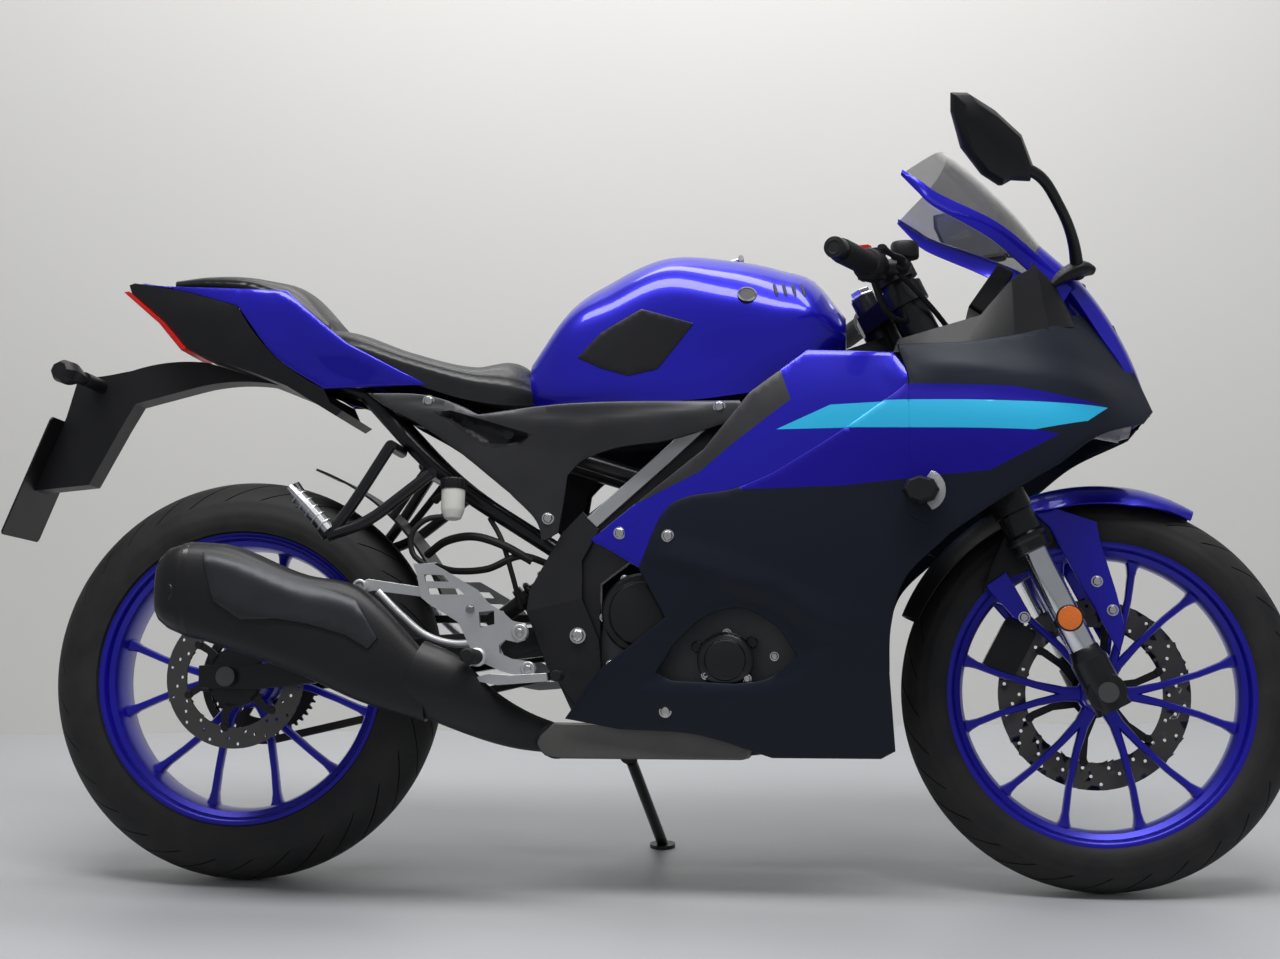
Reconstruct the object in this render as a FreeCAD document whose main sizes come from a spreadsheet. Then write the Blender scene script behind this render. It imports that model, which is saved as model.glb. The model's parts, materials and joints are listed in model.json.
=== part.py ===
import FreeCAD, Part
import math
import os
import re
import Sketcher
from FreeCAD import Placement, Rotation, Vector

# A sport bike at its real size, leaning on its side stand.
# Modelled upright first: +X forward from the rear axle, +Y to the rider's left, +Z up from the
# ground. One placement then leans the whole bike over and sets its origin.

doc = FreeCAD.newDocument("SportBike")
sheet = doc.addObject("Spreadsheet::Sheet", "Sizes")

# Driving sizes, in millimetres and degrees: name, value, what it measures
SIZES = (
    ("wheelbase", 1325, "rear axle to front axle"),
    ("overall_height", 1140, "ground to the windscreen's top edge"),
    ("lean_angle", 11.5, "lean onto the side stand, degrees"),
    ("rake_angle", 25.5, "steering axis from upright, degrees"),
    ("trail", 88, "steering axis ahead of the front contact"),
    ("rear_tyre_radius", 313.9, "140/70-17 tyre"),
    ("rear_tyre_half", 67.5, "half the rear tyre's width, its crown radius"),
    ("front_tyre_radius", 295.9, "100/80-17 tyre"),
    ("front_tyre_half", 49, "half the front tyre's width, its crown radius"),
    ("flange_radius", 229, "rim flange"),
    ("bead_radius", 216, "bead seat of a 17 inch rim"),
    ("well_radius", 203, "inner face of the rim"),
    ("rear_rim_half", 58, "half the rear rim's width"),
    ("front_rim_half", 41, "half the front rim's width"),
    ("flange_lip", 7, "thickness of a rim flange"),
    ("rear_hub_radius", 46, "rear hub"),
    ("front_hub_radius", 32, "front hub"),
    ("rear_hub_half", 62, "half the rear hub's width"),
    ("front_hub_half", 42, "half the front hub's width"),
    ("spoke_root", 9, "half a spoke's width at the hub"),
    ("spoke_tip", 1.7, "half a spoke's width at the rim, degrees"),
    ("spoke_half", 10, "half a spoke's thickness"),
    ("rear_spoke_spread", 15, "each rear spoke from its pair's middle, degrees"),
    ("front_spoke_spread", 14, "each front spoke from its pair's middle, degrees"),
    ("spoke_pairs", 6, "pairs of spokes in a wheel"),
    ("axle_radius", 7.5, "both axles"),
    ("axle_nut_radius", 15, "nut and head of an axle"),
    ("axle_nut_length", 12, "nut and head of an axle"),
    ("spacer_radius", 13, "spacers between a hub and what carries the axle"),
    ("running_gap", 0.05, "radial gap of a turning fit"),
    ("seat_gap", 0.3, "gap between pieces that sit on each other"),
    ("overrun", 1, "how far a cutting tool passes a face"),
    ("front_disc_radius", 146, "front brake disc"),
    ("front_disc_offset", 57, "front disc's middle from the wheel's middle, to the left"),
    ("front_disc_bore", 100, "inner edge of the front brake ring"),
    ("rear_disc_radius", 110, "rear brake disc"),
    ("rear_disc_offset", 76, "rear disc's middle from the wheel's middle, to the right"),
    ("rear_disc_bore", 76, "inner edge of the rear brake ring"),
    ("disc_thickness", 4.5, "both brake discs"),
    ("carrier_thickness", 5, "arms that carry a brake ring"),
    ("carrier_arm", 14, "width of a carrier arm"),
    ("carrier_arms", 6, "arms of a carrier"),
    ("sprocket_pitch_radius", 98, "rear sprocket, at its rollers"),
    ("front_sprocket_radius", 29, "front sprocket, at its rollers"),
    ("sprocket_thickness", 6, "rear sprocket"),
    ("sprocket_bore", 62, "open middle of the sprocket ring"),
    ("sprocket_teeth", 48, "teeth of the rear sprocket"),
    ("tooth_height", 6, "teeth of the rear sprocket"),
    ("chain_offset", 83.5, "chain line, to the left"),
    ("sprocket_ahead", 78, "front sprocket ahead of the swingarm pivot"),
    ("sprocket_lift", 9, "front sprocket above the swingarm pivot"),
    ("chain_gap", 2, "sprocket teeth to the rollers"),
    ("chain_roller", 4, "radius of a roller"),
    ("chain_plate_half", 6, "half the height of a link plate"),
    ("chain_plate", 2, "thickness of a link plate"),
    ("chain_half", 9, "half the chain's width"),
    ("pivot_offset", 545, "swingarm pivot ahead of the rear axle"),
    ("pivot_height", 377, "swingarm pivot above the ground"),
    ("pivot_radius", 9, "swingarm pivot shaft"),
    ("arm_offset", 105, "swingarm arms from the middle"),
    ("arm_half", 11, "half an arm's thickness"),
    ("arm_height", 46, "height of a swingarm arm"),
    ("fork_offset", 48, "fork legs ahead of the steering axis"),
    ("fork_spread", 95, "fork legs from the middle"),
    ("slider_radius", 20.5, "polished lower tubes"),
    ("fork_tube_radius", 26.5, "black upper tubes"),
    ("axle_along", 305, "front axle, up the steering axis"),
    ("tube_reach", 165, "black tubes below the lower yoke"),
    ("lower_yoke_along", 765, "lower yoke, up the steering axis"),
    ("yoke_spacing", 203, "upper yoke above the lower one, along the steering axis"),
    ("tube_rise", 24, "top of the fork tubes above the upper yoke's middle"),
    ("yoke_height", 30, "thickness of a yoke"),
    ("yoke_web", 25, "half the depth of a yoke's bridge"),
    ("stem_radius", 13, "steering stem"),
    ("head_tube_radius", 27, "head tube"),
    ("bar_radius", 11, "handlebar tube"),
    ("bar_half_span", 330, "bar ends from the middle"),
    ("bar_sweep", 80, "bar ends behind the fork legs"),
    ("bar_drop", 12, "bar ends below their clamps"),
    ("grip_radius", 17, "grip"),
    ("grip_length", 118, "grip"),
    ("bar_weight_radius", 15, "weight in the bar's end"),
    ("bar_weight_length", 26, "weight in the bar's end"),
    ("fairing_half_width", 215, "side fairing at its widest"),
    ("panel_thickness", 3.5, "moulded panels"),
    ("tank_half_width", 158, "tank cover at its widest"),
    ("seat_half_width", 128, "rider's seat at its widest"),
    ("tail_half_width", 125, "tail cowl at its widest"),
    ("cap_radius", 33, "fuel cap"),
    ("cap_height", 9, "fuel cap"),
    ("cap_gap", 1, "fuel cap to the tank round it"),
    ("screen_half_width", 148, "windscreen at its rear corners"),
    ("screen_thickness", 3, "windscreen"),
    ("lamp_radius", 33, "round headlamp"),
    ("clutch_cover_radius", 58, "round clutch cover on the right"),
    ("clutch_cover_reach", 52, "how far the clutch cover stands out"),
    ("pump_cover_radius", 40, "water pump cover on the right"),
    ("pump_cover_reach", 62, "how far the pump cover stands out"),
    ("generator_cover_radius", 62, "generator cover on the left"),
    ("generator_cover_reach", 45, "how far the generator cover stands out"),
    ("engine_left_half", 68, "crankcase's left face from the middle, beside the chain"),
    ("header_offset", 55, "exhaust header to the right of the middle"),
    ("collector_offset", 56, "collector box's middle, to the right"),
    ("collector_half", 66, "half the collector box's width"),
    ("shock_wire", 5, "radius of the shock's spring wire"),
    ("boss_radius", 8, "bosses that carry the panels"),
    ("stay_radius", 9, "cowl stay's tubes"),
    ("stay_along", 835, "cowl stay's spine, up the steering axis"),
    ("tank_tunnel_gap", 6, "tank's tunnel beside and above the frame"),
    ("bracket_offset", 158, "passenger peg brackets from the middle"),
    ("muffler_offset", 202, "muffler's middle, to the right"),
    ("muffler_half_width", 52, "half the muffler's width"),
    ("pipe_radius", 21, "exhaust pipe"),
    ("beam_offset", 118, "main frame beams from the middle"),
    ("beam_thickness", 24, "main frame beams"),
    ("subframe_tube", 13, "radius of a rear subframe tube"),
    ("fender_gap", 16, "front fender above the tyre"),
    ("fender_half", 61, "half the front fender's width"),
    ("fender_thickness", 3, "front fender"),
    ("fender_mount_along", 552, "fender's bolts to the fork, up the steering axis"),
    ("engine_half", 118, "half the crankcase's width"),
    ("plate_width", 146, "number plate"),
    ("plate_height", 204, "number plate"),
    ("plate_thickness", 3, "number plate with its backing"),
    ("plate_corner", 8, "corner radius of the number plate"),
    ("hanger_half", 24, "half the plate hanger's width"),
    ("rear_indicator_offset", 95, "inner end of a rear indicator from the middle"),
    ("clock_depth", 26, "instrument panel"),
    ("clock_width", 132, "instrument panel"),
    ("clock_height", 84, "instrument panel"),
    ("clock_corner", 7, "corner radius of the instrument panel"),
    ("clock_tilt", 35, "instrument panel from upright, degrees"),
    ("arch_start", 20, "front edge of the rear wheel arch from the top of the wheel, degrees"),
    ("arch_sweep", 48, "rear wheel arch, degrees"),
    ("arch_strut_turn", 45.9, "foot of the arch's strut, above the axle's level, degrees"),
    ("mirror_span", 377, "outer tip of a mirror from the middle"),
    ("peg_radius", 11, "rider's foot peg"),
    ("peg_length", 78, "rider's foot peg"),
    ("peg_neck", 3, "thinner neck where the foot peg meets its plate"),
    ("rearset_offset", 178, "inner face of a heel plate from the middle"),
    ("heel_plate", 7, "thickness of a heel plate"),
    ("stand_radius", 9, "side stand's leg"),
    ("stand_pin_radius", 6, "side stand's pivot pin"),
    ("stand_eye_radius", 14, "side stand's eye"),
    ("stand_eye_half", 6, "half the thickness of the side stand's eye"),
    ("stand_pivot_x", 600, "side stand's pivot ahead of the rear axle"),
    ("stand_pivot_y", 92, "side stand's pivot, to the left"),
    ("stand_pivot_z", 196, "side stand's pivot above the ground"),
    ("stand_reach", 238, "stand foot from the bike's middle, along the floor"),
    ("stand_foot_x", 640, "stand foot ahead of the rear axle"),
    ("stand_foot_radius", 21, "stand foot"),
    ("stand_foot_height", 6, "stand foot"),
)
for row, (alias, value, note) in enumerate(SIZES, 1):
    sheet.set("A%d" % row, alias)
    sheet.set("B%d" % row, str(value))
    sheet.set("C%d" % row, note)
    sheet.setAlias("B%d" % row, alias)
doc.recompute()


class Reader:
    """Gives the value of a size by its name in the sheet."""

    def __getattr__(self, name):
        return float(sheet.get(name))


size = Reader()
parts = {}


def bind(target, prop, formula):
    """Ties a property to the sheet; words in the formula are names of sizes."""
    named = re.sub(r"\b[a-z][a-z_]+\b(?!\()", lambda word: "Sizes." + word.group(), formula)
    target.setExpression(prop, named)


# How the bike stands: leaning to its left, both tyres and the stand's foot on the floor
LEAN = math.radians(size.lean_angle)
CROWN_DROP = (size.rear_tyre_half - size.front_tyre_half) * (1 - math.cos(LEAN))
PITCH = math.degrees(math.atan(CROWN_DROP / size.wheelbase))
LEANING = Rotation(Vector(0, 1, 0), -PITCH).multiply(Rotation(Vector(1, 0, 0), -size.lean_angle))
FLOOR = -size.rear_tyre_half * (1 - math.cos(LEAN))
STAND = Placement(Vector(0, 0, -FLOOR), LEANING)


UPPER_YOKE = size.lower_yoke_along + size.yoke_spacing
TUBE_START = size.lower_yoke_along - size.tube_reach
TUBE_END = UPPER_YOKE + size.tube_rise
REAR_AXLE = Vector(0, 0, size.rear_tyre_radius)
FRONT_AXLE = Vector(size.wheelbase, 0, size.front_tyre_radius)
RAKE = math.radians(size.rake_angle)
STEER_FOOT = Vector(size.wheelbase + size.trail, 0, 0)
STEER_UP = Vector(-math.sin(RAKE), 0, math.cos(RAKE))
STEER_AHEAD = Vector(math.cos(RAKE), 0, math.sin(RAKE))


def along_steering(distance, ahead=0.0, y=0.0):
    """A point up the steering axis, ahead of it and to one side."""
    return STEER_FOOT + STEER_UP * distance + STEER_AHEAD * ahead + Vector(0, y, 0)


PIVOT = Vector(size.pivot_offset, 0, size.pivot_height)
HEAD_MIDDLE = along_steering((size.lower_yoke_along + UPPER_YOKE) / 2)
HEAD_HEIGHT_SHARE = 0.68605
BODY_HEIGHT = HEAD_MIDDLE.z / HEAD_HEIGHT_SHARE


def at(x_share, z_share, y=0.0):
    """A point of the body, from shares of the wheelbase and of the height that the head sets."""
    return Vector(x_share * size.wheelbase, y, z_share * BODY_HEIGHT)


def between(ahead_share, up_share, y=0.0):
    """A point by shares of the way from the swingarm pivot to the steering head."""
    return Vector(PIVOT.x + ahead_share * (HEAD_MIDDLE.x - PIVOT.x), y,
                  PIVOT.z + up_share * (HEAD_MIDDLE.z - PIVOT.z))


def biggest(shape):
    """The largest solid of a shape, without the slivers that a cut leaves."""
    return max(shape.Solids, key=lambda solid: solid.Volume)


def keep(name, shape):
    """A sub-part whose shape is set here, placed as the bike stands."""
    feature = doc.addObject("Part::Feature", name)
    feature.Shape = shape
    feature.Placement = STAND.multiply(shape.Placement)
    parts[name] = feature
    return feature


def kept_shape(name):
    """A kept sub-part's shape before the bike leans."""
    shape = parts[name].Shape.copy()
    shape.Placement = STAND.inverse().multiply(shape.Placement)
    return shape


def keep_object(name, made, local=Placement()):
    """A sub-part that follows the sheet by itself, placed as the bike stands."""
    made.Label = name
    made.Placement = STAND.multiply(local)
    parts[name] = made
    return made


def curve(points):
    """A straight edge through two points, a smooth one through more."""
    if len(points) == 2:
        return Part.LineSegment(points[0], points[1]).toShape()
    spline = Part.BSplineCurve()
    spline.interpolate(points)
    return spline.toShape()


def side_wire(runs, y, spot=at):
    """A closed side outline: each run goes on from the last point of the run before it."""
    last = runs[-1][-1]
    edges = []
    for run in runs:
        edges.append(curve([spot(*share, y) for share in (last,) + tuple(run)]))
        last = run[-1]
    return Part.Wire(edges)


def side_prism(runs, y_from, y_to, spot=at):
    return Part.Face(side_wire(runs, y_from, spot)).extrude(Vector(0, y_to - y_from, 0))


def loft(sections, ruled=False):
    wires = [Part.makePolygon(list(points) + [points[0]]) for points in sections]
    return Part.makeLoft(wires, True, ruled)


def mirrored(shape):
    return shape.mirror(Vector(0, 0, 0), Vector(0, 1, 0))


def fused(shapes):
    return shapes[0].multiFuse(list(shapes[1:])).removeSplitter()


def rod(start, end, radius):
    step = end - start
    return Part.makeCylinder(radius, step.Length, start, step)


def bent_tube(points, radius, bend_share=0.45):
    """A tube along straight runs joined by tangent arcs."""
    edges = []
    start = points[0]
    for before, corner, after in zip(points, points[1:], points[2:]):
        back = (before - corner).normalize()
        on = (after - corner).normalize()
        reach = bend_share * min((before - corner).Length, (after - corner).Length)
        enter = corner + back * reach
        leave = corner + on * reach
        half = back.getAngle(on) / 2
        middle = (back + on).normalize()
        centre = corner + middle * (reach / math.cos(half))
        summit = centre - middle * (reach * math.tan(half))
        edges.append(Part.LineSegment(start, enter).toShape())
        edges.append(Part.Arc(enter, summit, leave).toShape())
        start = leave
    edges.append(Part.LineSegment(start, points[-1]).toShape())
    path = Part.Wire(edges)
    ring = Part.Wire(Part.makeCircle(radius, points[0], points[1] - points[0]))
    return path.makePipeShell([ring], True, True)


def whole_form(table, width):
    """A closed form, as wide as its table says, from station to station."""
    sections = []
    for (x_low, x_high), shares in zip(table["stations"], table["widths"]):
        right = []
        for z_share, width_share in zip(table["levels"], shares):
            x_share = x_low + (x_high - x_low) * z_share
            right.append(at(x_share, z_share, -width_share * width))
        left = [Vector(point.x, -point.y, point.z) for point in reversed(right)]
        sections.append(right + left)
    return loft(sections)


def right_skin(table, width, thickness, inset=0.0):
    """The right side's moulded sheet of a form, its outer face inset from the form's."""
    sections = []
    for (x_low, x_high), shares in zip(table["stations"], table["widths"]):
        outer = []
        for z_share, width_share in zip(table["levels"], shares):
            x_share = x_low + (x_high - x_low) * z_share
            outer.append(at(x_share, z_share, -width_share * width + inset))
        inner = [point + Vector(0, thickness, 0) for point in reversed(outer)]
        sections.append(outer + inner)
    return loft(sections)


def cut_out(skin, runs, width):
    """The stretch of a sheet inside a side outline."""
    return skin.common(side_prism(runs, -width - size.overrun, 0))


def crowned(rows, width):
    """A closed form from half sections: each row is its x share and its (y, z) shares."""
    sections = []
    for x_share, half in rows:
        right = [at(x_share, z_share, -y_share * width) for y_share, z_share in half]
        left = [Vector(p.x, -p.y, p.z) for p in reversed(right) if abs(p.y) > 1e-6]
        sections.append(right + left)
    return loft(sections)


SHOULDER_SHARE = (0.62, 0.25)


def crosswise_sheet(rows, width, thickness, spot=at):
    """A sheet bent over the middle: rows give its middle, its edge and its half width."""
    sections = []
    for middle, edge, width_share in rows:
        top = spot(*middle)
        rim = spot(*edge, -width_share * width)
        shoulder = top + (rim - top) * SHOULDER_SHARE[1]
        shoulder.y = rim.y * SHOULDER_SHARE[0]
        over = [rim, shoulder, top]
        over += [Vector(p.x, -p.y, p.z) for p in (shoulder, rim)]
        drop = Vector(top.x - rim.x, 0, top.z - rim.z).normalize() * thickness
        sections.append(over + [point - drop for point in reversed(over)])
    return loft(sections)


def pod(start, end, up, rows, sides=8):
    """A smooth pod along an axis: rows give how far along, half height and half thickness."""
    axis = end - start
    across = axis.cross(up).normalize()
    rise = across.cross(axis).normalize()
    sections = []
    for share, half_height, half_thickness in rows:
        centre = start + axis * share
        turns = [2 * math.pi * step / sides for step in range(sides)]
        sections.append([centre + rise * (half_height * math.cos(turn))
                         + across * (half_thickness * math.sin(turn)) for turn in turns])
    return loft(sections)


# Sketches whose corners and circles follow the sheet
def plane_of(body, role):
    return next(feature for feature in body.Origin.OriginFeatures if feature.Role == role)


def new_sketch(body, label, role):
    made = body.newObject("Sketcher::SketchObject", label)
    made.AttachmentSupport = (plane_of(body, role), [""])
    made.MapMode = "FlatFace"
    return made


def add_corners(made, corners):
    """A closed run of lines whose corners are tied to the sheet by formulas."""
    count = len(corners)
    spots = []
    for step in range(count):
        turn = 2 * math.pi * step / count
        spots.append(Vector(size.bead_radius + math.cos(turn), math.sin(turn), 0))
    first = made.GeometryCount
    for step in range(count):
        line = Part.LineSegment(spots[step], spots[(step + 1) % count])
        made.addGeometry(line, False)
    for step in range(count):
        after = first + (step + 1) % count
        made.addConstraint(Sketcher.Constraint("Coincident", first + step, 2, after, 1))
    for step, (across, up) in enumerate(corners):
        for kind, formula in (("DistanceX", across), ("DistanceY", up)):
            start = spots[step].x if kind == "DistanceX" else spots[step].y
            rule = made.addConstraint(Sketcher.Constraint(kind, -1, 1, first + step, 1, start))
            bind(made, "Constraints[%d]" % rule, formula)


def add_circle(made, radius, across="0", up="0"):
    """A circle whose radius and centre are tied to the sheet by formulas."""
    index = made.addGeometry(Part.Circle(Vector(1, 1, 0), Vector(0, 0, 1), size.axle_radius), False)
    rule = made.addConstraint(Sketcher.Constraint("Radius", index, size.axle_radius))
    bind(made, "Constraints[%d]" % rule, radius)
    for kind, formula in (("DistanceX", across), ("DistanceY", up)):
        if formula == "0":
            rule = made.addConstraint(Sketcher.Constraint(kind, -1, 1, index, 3, 0))
        else:
            rule = made.addConstraint(Sketcher.Constraint(kind, -1, 1, index, 3, 1))
            bind(made, "Constraints[%d]" % rule, formula)


def new_body(name):
    return doc.addObject("PartDesign::Body", name)


def add_pad(body, made, length, midplane=True):
    pad = body.newObject("PartDesign::Pad", made.Name + "_pad")
    pad.Profile = made
    pad.Midplane = midplane
    bind(pad, "Length", length)
    return pad


def add_turned(body, made):
    turned = body.newObject("PartDesign::Revolution", made.Name + "_turned")
    turned.Profile = made
    turned.ReferenceAxis = (made, ["V_Axis"])
    turned.Angle = 360
    return turned


def add_ring_of(body, features, count):
    pattern = body.newObject("PartDesign::PolarPattern", features[0].Name + "_ring")
    pattern.Originals = features
    pattern.Axis = (plane_of(body, "Z_Axis"), [""])
    pattern.Angle = 360
    bind(pattern, "Occurrences", count)
    body.Tip = pattern
    return pattern


# Wheels are drawn about their own Z axis, which is laid along the axle
ON_AXLE = Rotation(Vector(1, 0, 0), -90)


def make_rim(end):
    """A cast rim: hub, pairs of spokes and the well with its two flanges."""
    body = new_body(end + "_rim")
    hub = new_sketch(body, end + "_hub_profile", "XZ_Plane")
    radius, half = end + "_hub_radius", end + "_hub_half"
    bore = "axle_radius + running_gap"
    add_corners(hub, ((bore, "-" + half), (radius, "-" + half), (radius, half), (bore, half)))
    add_turned(body, hub)
    doc.recompute()
    pads = []
    for side, sign in (("left", 1), ("right", -1)):
        middle = "%d * %s_spoke_spread" % (sign, end)
        spoke = new_sketch(body, "%s_spoke_%s" % (end, side), "XY_Plane")
        inner = end + "_hub_radius - spoke_root"
        reach = "(well_radius + flange_lip)"
        corners = [(inner, "-spoke_root"), (inner, "spoke_root")]
        for edge in ("+ spoke_tip", "- spoke_tip"):
            turn = "(%s %s)" % (middle, edge)
            corners.append(("%s * cos(%s)" % (reach, turn), "%s * sin(%s)" % (reach, turn)))
        add_corners(spoke, corners)
        pads.append(add_pad(body, spoke, "2 * spoke_half"))
        doc.recompute()
    add_ring_of(body, pads, "spoke_pairs")
    doc.recompute()
    well = new_sketch(body, end + "_well_profile", "XZ_Plane")
    half = end + "_rim_half"
    corners = [("well_radius", "spoke_half + flange_lip"),
               ("bead_radius - flange_lip", half),
               ("flange_radius", half),
               ("flange_radius", half + " - flange_lip"),
               ("bead_radius", half + " - 2 * flange_lip")]
    other = [(across, "-(%s)" % up) for across, up in reversed(corners)]
    add_corners(well, corners + other)
    add_turned(body, well)
    doc.recompute()
    axle = REAR_AXLE if end == "rear" else FRONT_AXLE
    return keep_object(end + "_rim", body, Placement(axle, ON_AXLE))


def make_tyre(end):
    """A tyre: a ring of round section, open inside down to the rim's flanges."""
    ring = doc.addObject("Part::Torus", end + "_tyre_ring")
    bind(ring, "Radius1", "%s_tyre_radius - %s_tyre_half" % (end, end))
    bind(ring, "Radius2", end + "_tyre_half")
    opening = doc.addObject("Part::Cylinder", end + "_tyre_opening")
    bind(opening, "Radius", "flange_radius + seat_gap")
    bind(opening, "Height", "4 * %s_tyre_half" % end)
    bind(opening, "Placement.Base.z", "-2 * %s_tyre_half" % end)
    tyre = doc.addObject("Part::Cut", end + "_tyre")
    tyre.Base = ring
    tyre.Tool = opening
    axle = REAR_AXLE if end == "rear" else FRONT_AXLE
    return keep_object(end + "_tyre", tyre, Placement(axle, ON_AXLE))


def make_disc(end, side):
    """A brake ring on the arms of its carrier, seated on the hub's end."""
    body = new_body(end + "_disc")
    ring = new_sketch(body, end + "_disc_ring", "XY_Plane")
    add_circle(ring, end + "_disc_radius")
    add_circle(ring, end + "_disc_bore")
    add_pad(body, ring, "disc_thickness")
    doc.recompute()
    arm = new_sketch(body, end + "_disc_arm", "XY_Plane")
    inner = end + "_hub_radius - carrier_arm"
    outer = end + "_disc_bore + disc_thickness"
    add_corners(arm, ((inner, "-carrier_arm / 2"), (outer, "-carrier_arm / 2"),
                      (outer, "carrier_arm / 2"), (inner, "carrier_arm / 2")))
    pad = add_pad(body, arm, "carrier_thickness")
    doc.recompute()
    add_ring_of(body, [pad], "carrier_arms")
    doc.recompute()
    collar = new_sketch(body, end + "_disc_collar", "XY_Plane")
    add_circle(collar, end + "_hub_radius")
    add_circle(collar, "spacer_radius + seat_gap")
    pad = add_pad(body, collar, "carrier_thickness / 2", False)
    doc.recompute()
    seat = new_sketch(body, end + "_disc_seat", "XY_Plane")
    add_circle(seat, end + "_hub_radius - spoke_root")
    add_circle(seat, "spacer_radius + seat_gap")
    pad = add_pad(body, seat, "%s_disc_offset - %s_hub_half - seat_gap" % (end, end), False)
    pad.Reversed = side > 0
    doc.recompute()
    axle = REAR_AXLE if end == "rear" else FRONT_AXLE
    offset = size.front_disc_offset if end == "front" else size.rear_disc_offset
    spot = axle + Vector(0, side * offset, 0)
    return keep_object(end + "_disc", body, Placement(spot, ON_AXLE))


for end, side in (("rear", -1), ("front", 1)):
    make_rim(end)
    make_tyre(end)
    make_disc(end, side)


def make_sprocket():
    """The rear sprocket: a toothed ring with a carrier collar."""
    root = size.sprocket_pitch_radius - size.chain_roller - size.chain_gap - size.tooth_height
    ring = Part.makeCylinder(root, size.sprocket_thickness)
    teeth = []
    count = int(size.sprocket_teeth)
    pitch = 2 * math.pi * root / count
    for step in range(count):
        turn = 360 * step / count
        corners = ((root - size.overrun, -pitch / 3), (root + size.tooth_height, -pitch / 8),
                   (root + size.tooth_height, pitch / 8), (root - size.overrun, pitch / 3))
        face = Part.Face(Part.makePolygon([Vector(x, y, 0) for x, y in corners + corners[:1]]))
        tooth = face.extrude(Vector(0, 0, size.sprocket_thickness))
        tooth.rotate(Vector(0, 0, 0), Vector(0, 0, 1), turn)
        teeth.append(tooth)
    bore = Part.makeCylinder(size.sprocket_bore, size.sprocket_thickness)
    collar_reach = size.chain_offset - size.rear_hub_half
    made = ring.cut(bore).multiFuse(teeth)
    arms = []
    for step in range(int(size.carrier_arms)):
        arm = Part.makeBox(size.sprocket_bore - size.rear_hub_radius + 3 * size.overrun,
                           size.carrier_arm, size.sprocket_thickness,
                           Vector(size.rear_hub_radius - 2 * size.overrun, -size.carrier_arm / 2, 0))
        arm.rotate(Vector(0, 0, 0), Vector(0, 0, 1), 360 * step / size.carrier_arms)
        arms.append(arm)
    hub = Part.makeCylinder(size.rear_hub_radius, size.sprocket_thickness)
    made = made.multiFuse(arms + [hub])
    inner = size.axle_radius + size.carrier_arm
    made = made.cut(Part.makeCylinder(inner, size.sprocket_thickness)).removeSplitter()
    made.translate(Vector(0, 0, -size.sprocket_thickness / 2))
    carrier_end = collar_reach - size.seat_gap
    carrier = Part.makeCylinder(size.rear_hub_radius - size.spoke_root, carrier_end)
    carrier = carrier.cut(Part.makeCylinder(inner, carrier_end))
    carrier.translate(Vector(0, 0, -carrier_end))
    made = made.fuse(carrier).removeSplitter()
    made.Placement = Placement(REAR_AXLE + Vector(0, size.chain_offset, 0), ON_AXLE)
    keep("rear_sprocket", made)


make_sprocket()

# Axles, each with its head and nut outside what it carries and its spacers at the hub
REAR_AXLE_HALF = size.arm_offset + size.arm_half + size.seat_gap
CLAMP_RADIUS = size.slider_radius + size.flange_lip
CLAMP_FACE = size.fork_spread - CLAMP_RADIUS - size.seat_gap


def make_axle(centre, half, head, spacers):
    """A shaft with a nut at each end; a spacer is given by its two distances to the left."""
    shaft = rod(centre - Vector(0, half + head / 2, 0), centre + Vector(0, half + head / 2, 0),
                size.axle_radius)
    pieces = [shaft]
    for side in (-1, 1):
        face = centre + Vector(0, side * (half + size.seat_gap), 0)
        pieces.append(rod(face, face + Vector(0, side * head, 0), size.axle_nut_radius))
    for start, end in spacers:
        pieces.append(rod(centre + Vector(0, start, 0), centre + Vector(0, end, 0),
                          size.spacer_radius))
    return fused(pieces)


DISC_FACE = size.rear_disc_offset + size.carrier_thickness / 2 + size.seat_gap
SPROCKET_FACE = size.chain_offset + size.sprocket_thickness / 2 + size.seat_gap
ARM_FACE = size.arm_offset - size.arm_half
keep("rear_axle", make_axle(REAR_AXLE, REAR_AXLE_HALF, size.axle_nut_length,
                            ((-ARM_FACE, -DISC_FACE), (SPROCKET_FACE, ARM_FACE))))

# Fork: polished lower tubes with axle clamps, black upper tubes, two yokes and the stem
def make_slider(side):
    y = side * size.fork_spread
    low = along_steering(size.axle_along, size.fork_offset, y)
    high = along_steering(TUBE_START, size.fork_offset, y)
    tube = rod(low, high, size.slider_radius)
    clamp = rod(low - STEER_UP * CLAMP_RADIUS, low + STEER_UP * (2 * CLAMP_RADIUS), CLAMP_RADIUS)
    bore = rod(low - Vector(0, 2 * CLAMP_RADIUS, 0), low + Vector(0, 2 * CLAMP_RADIUS, 0),
               size.axle_radius + size.running_gap)
    return fused([tube, clamp]).cut(bore)


keep("fork_sliders", Part.makeCompound([make_slider(-1), make_slider(1)]))


def make_fork_tube(side):
    y = side * size.fork_spread
    low = along_steering(TUBE_START, size.fork_offset, y)
    high = along_steering(TUBE_END, size.fork_offset, y)
    collar = rod(low, low + STEER_UP * size.yoke_height, size.fork_tube_radius + size.fender_thickness)
    return fused([rod(low, high, size.fork_tube_radius), collar])


keep("fork_tubes", Part.makeCompound([make_fork_tube(-1), make_fork_tube(1)]))


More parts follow.
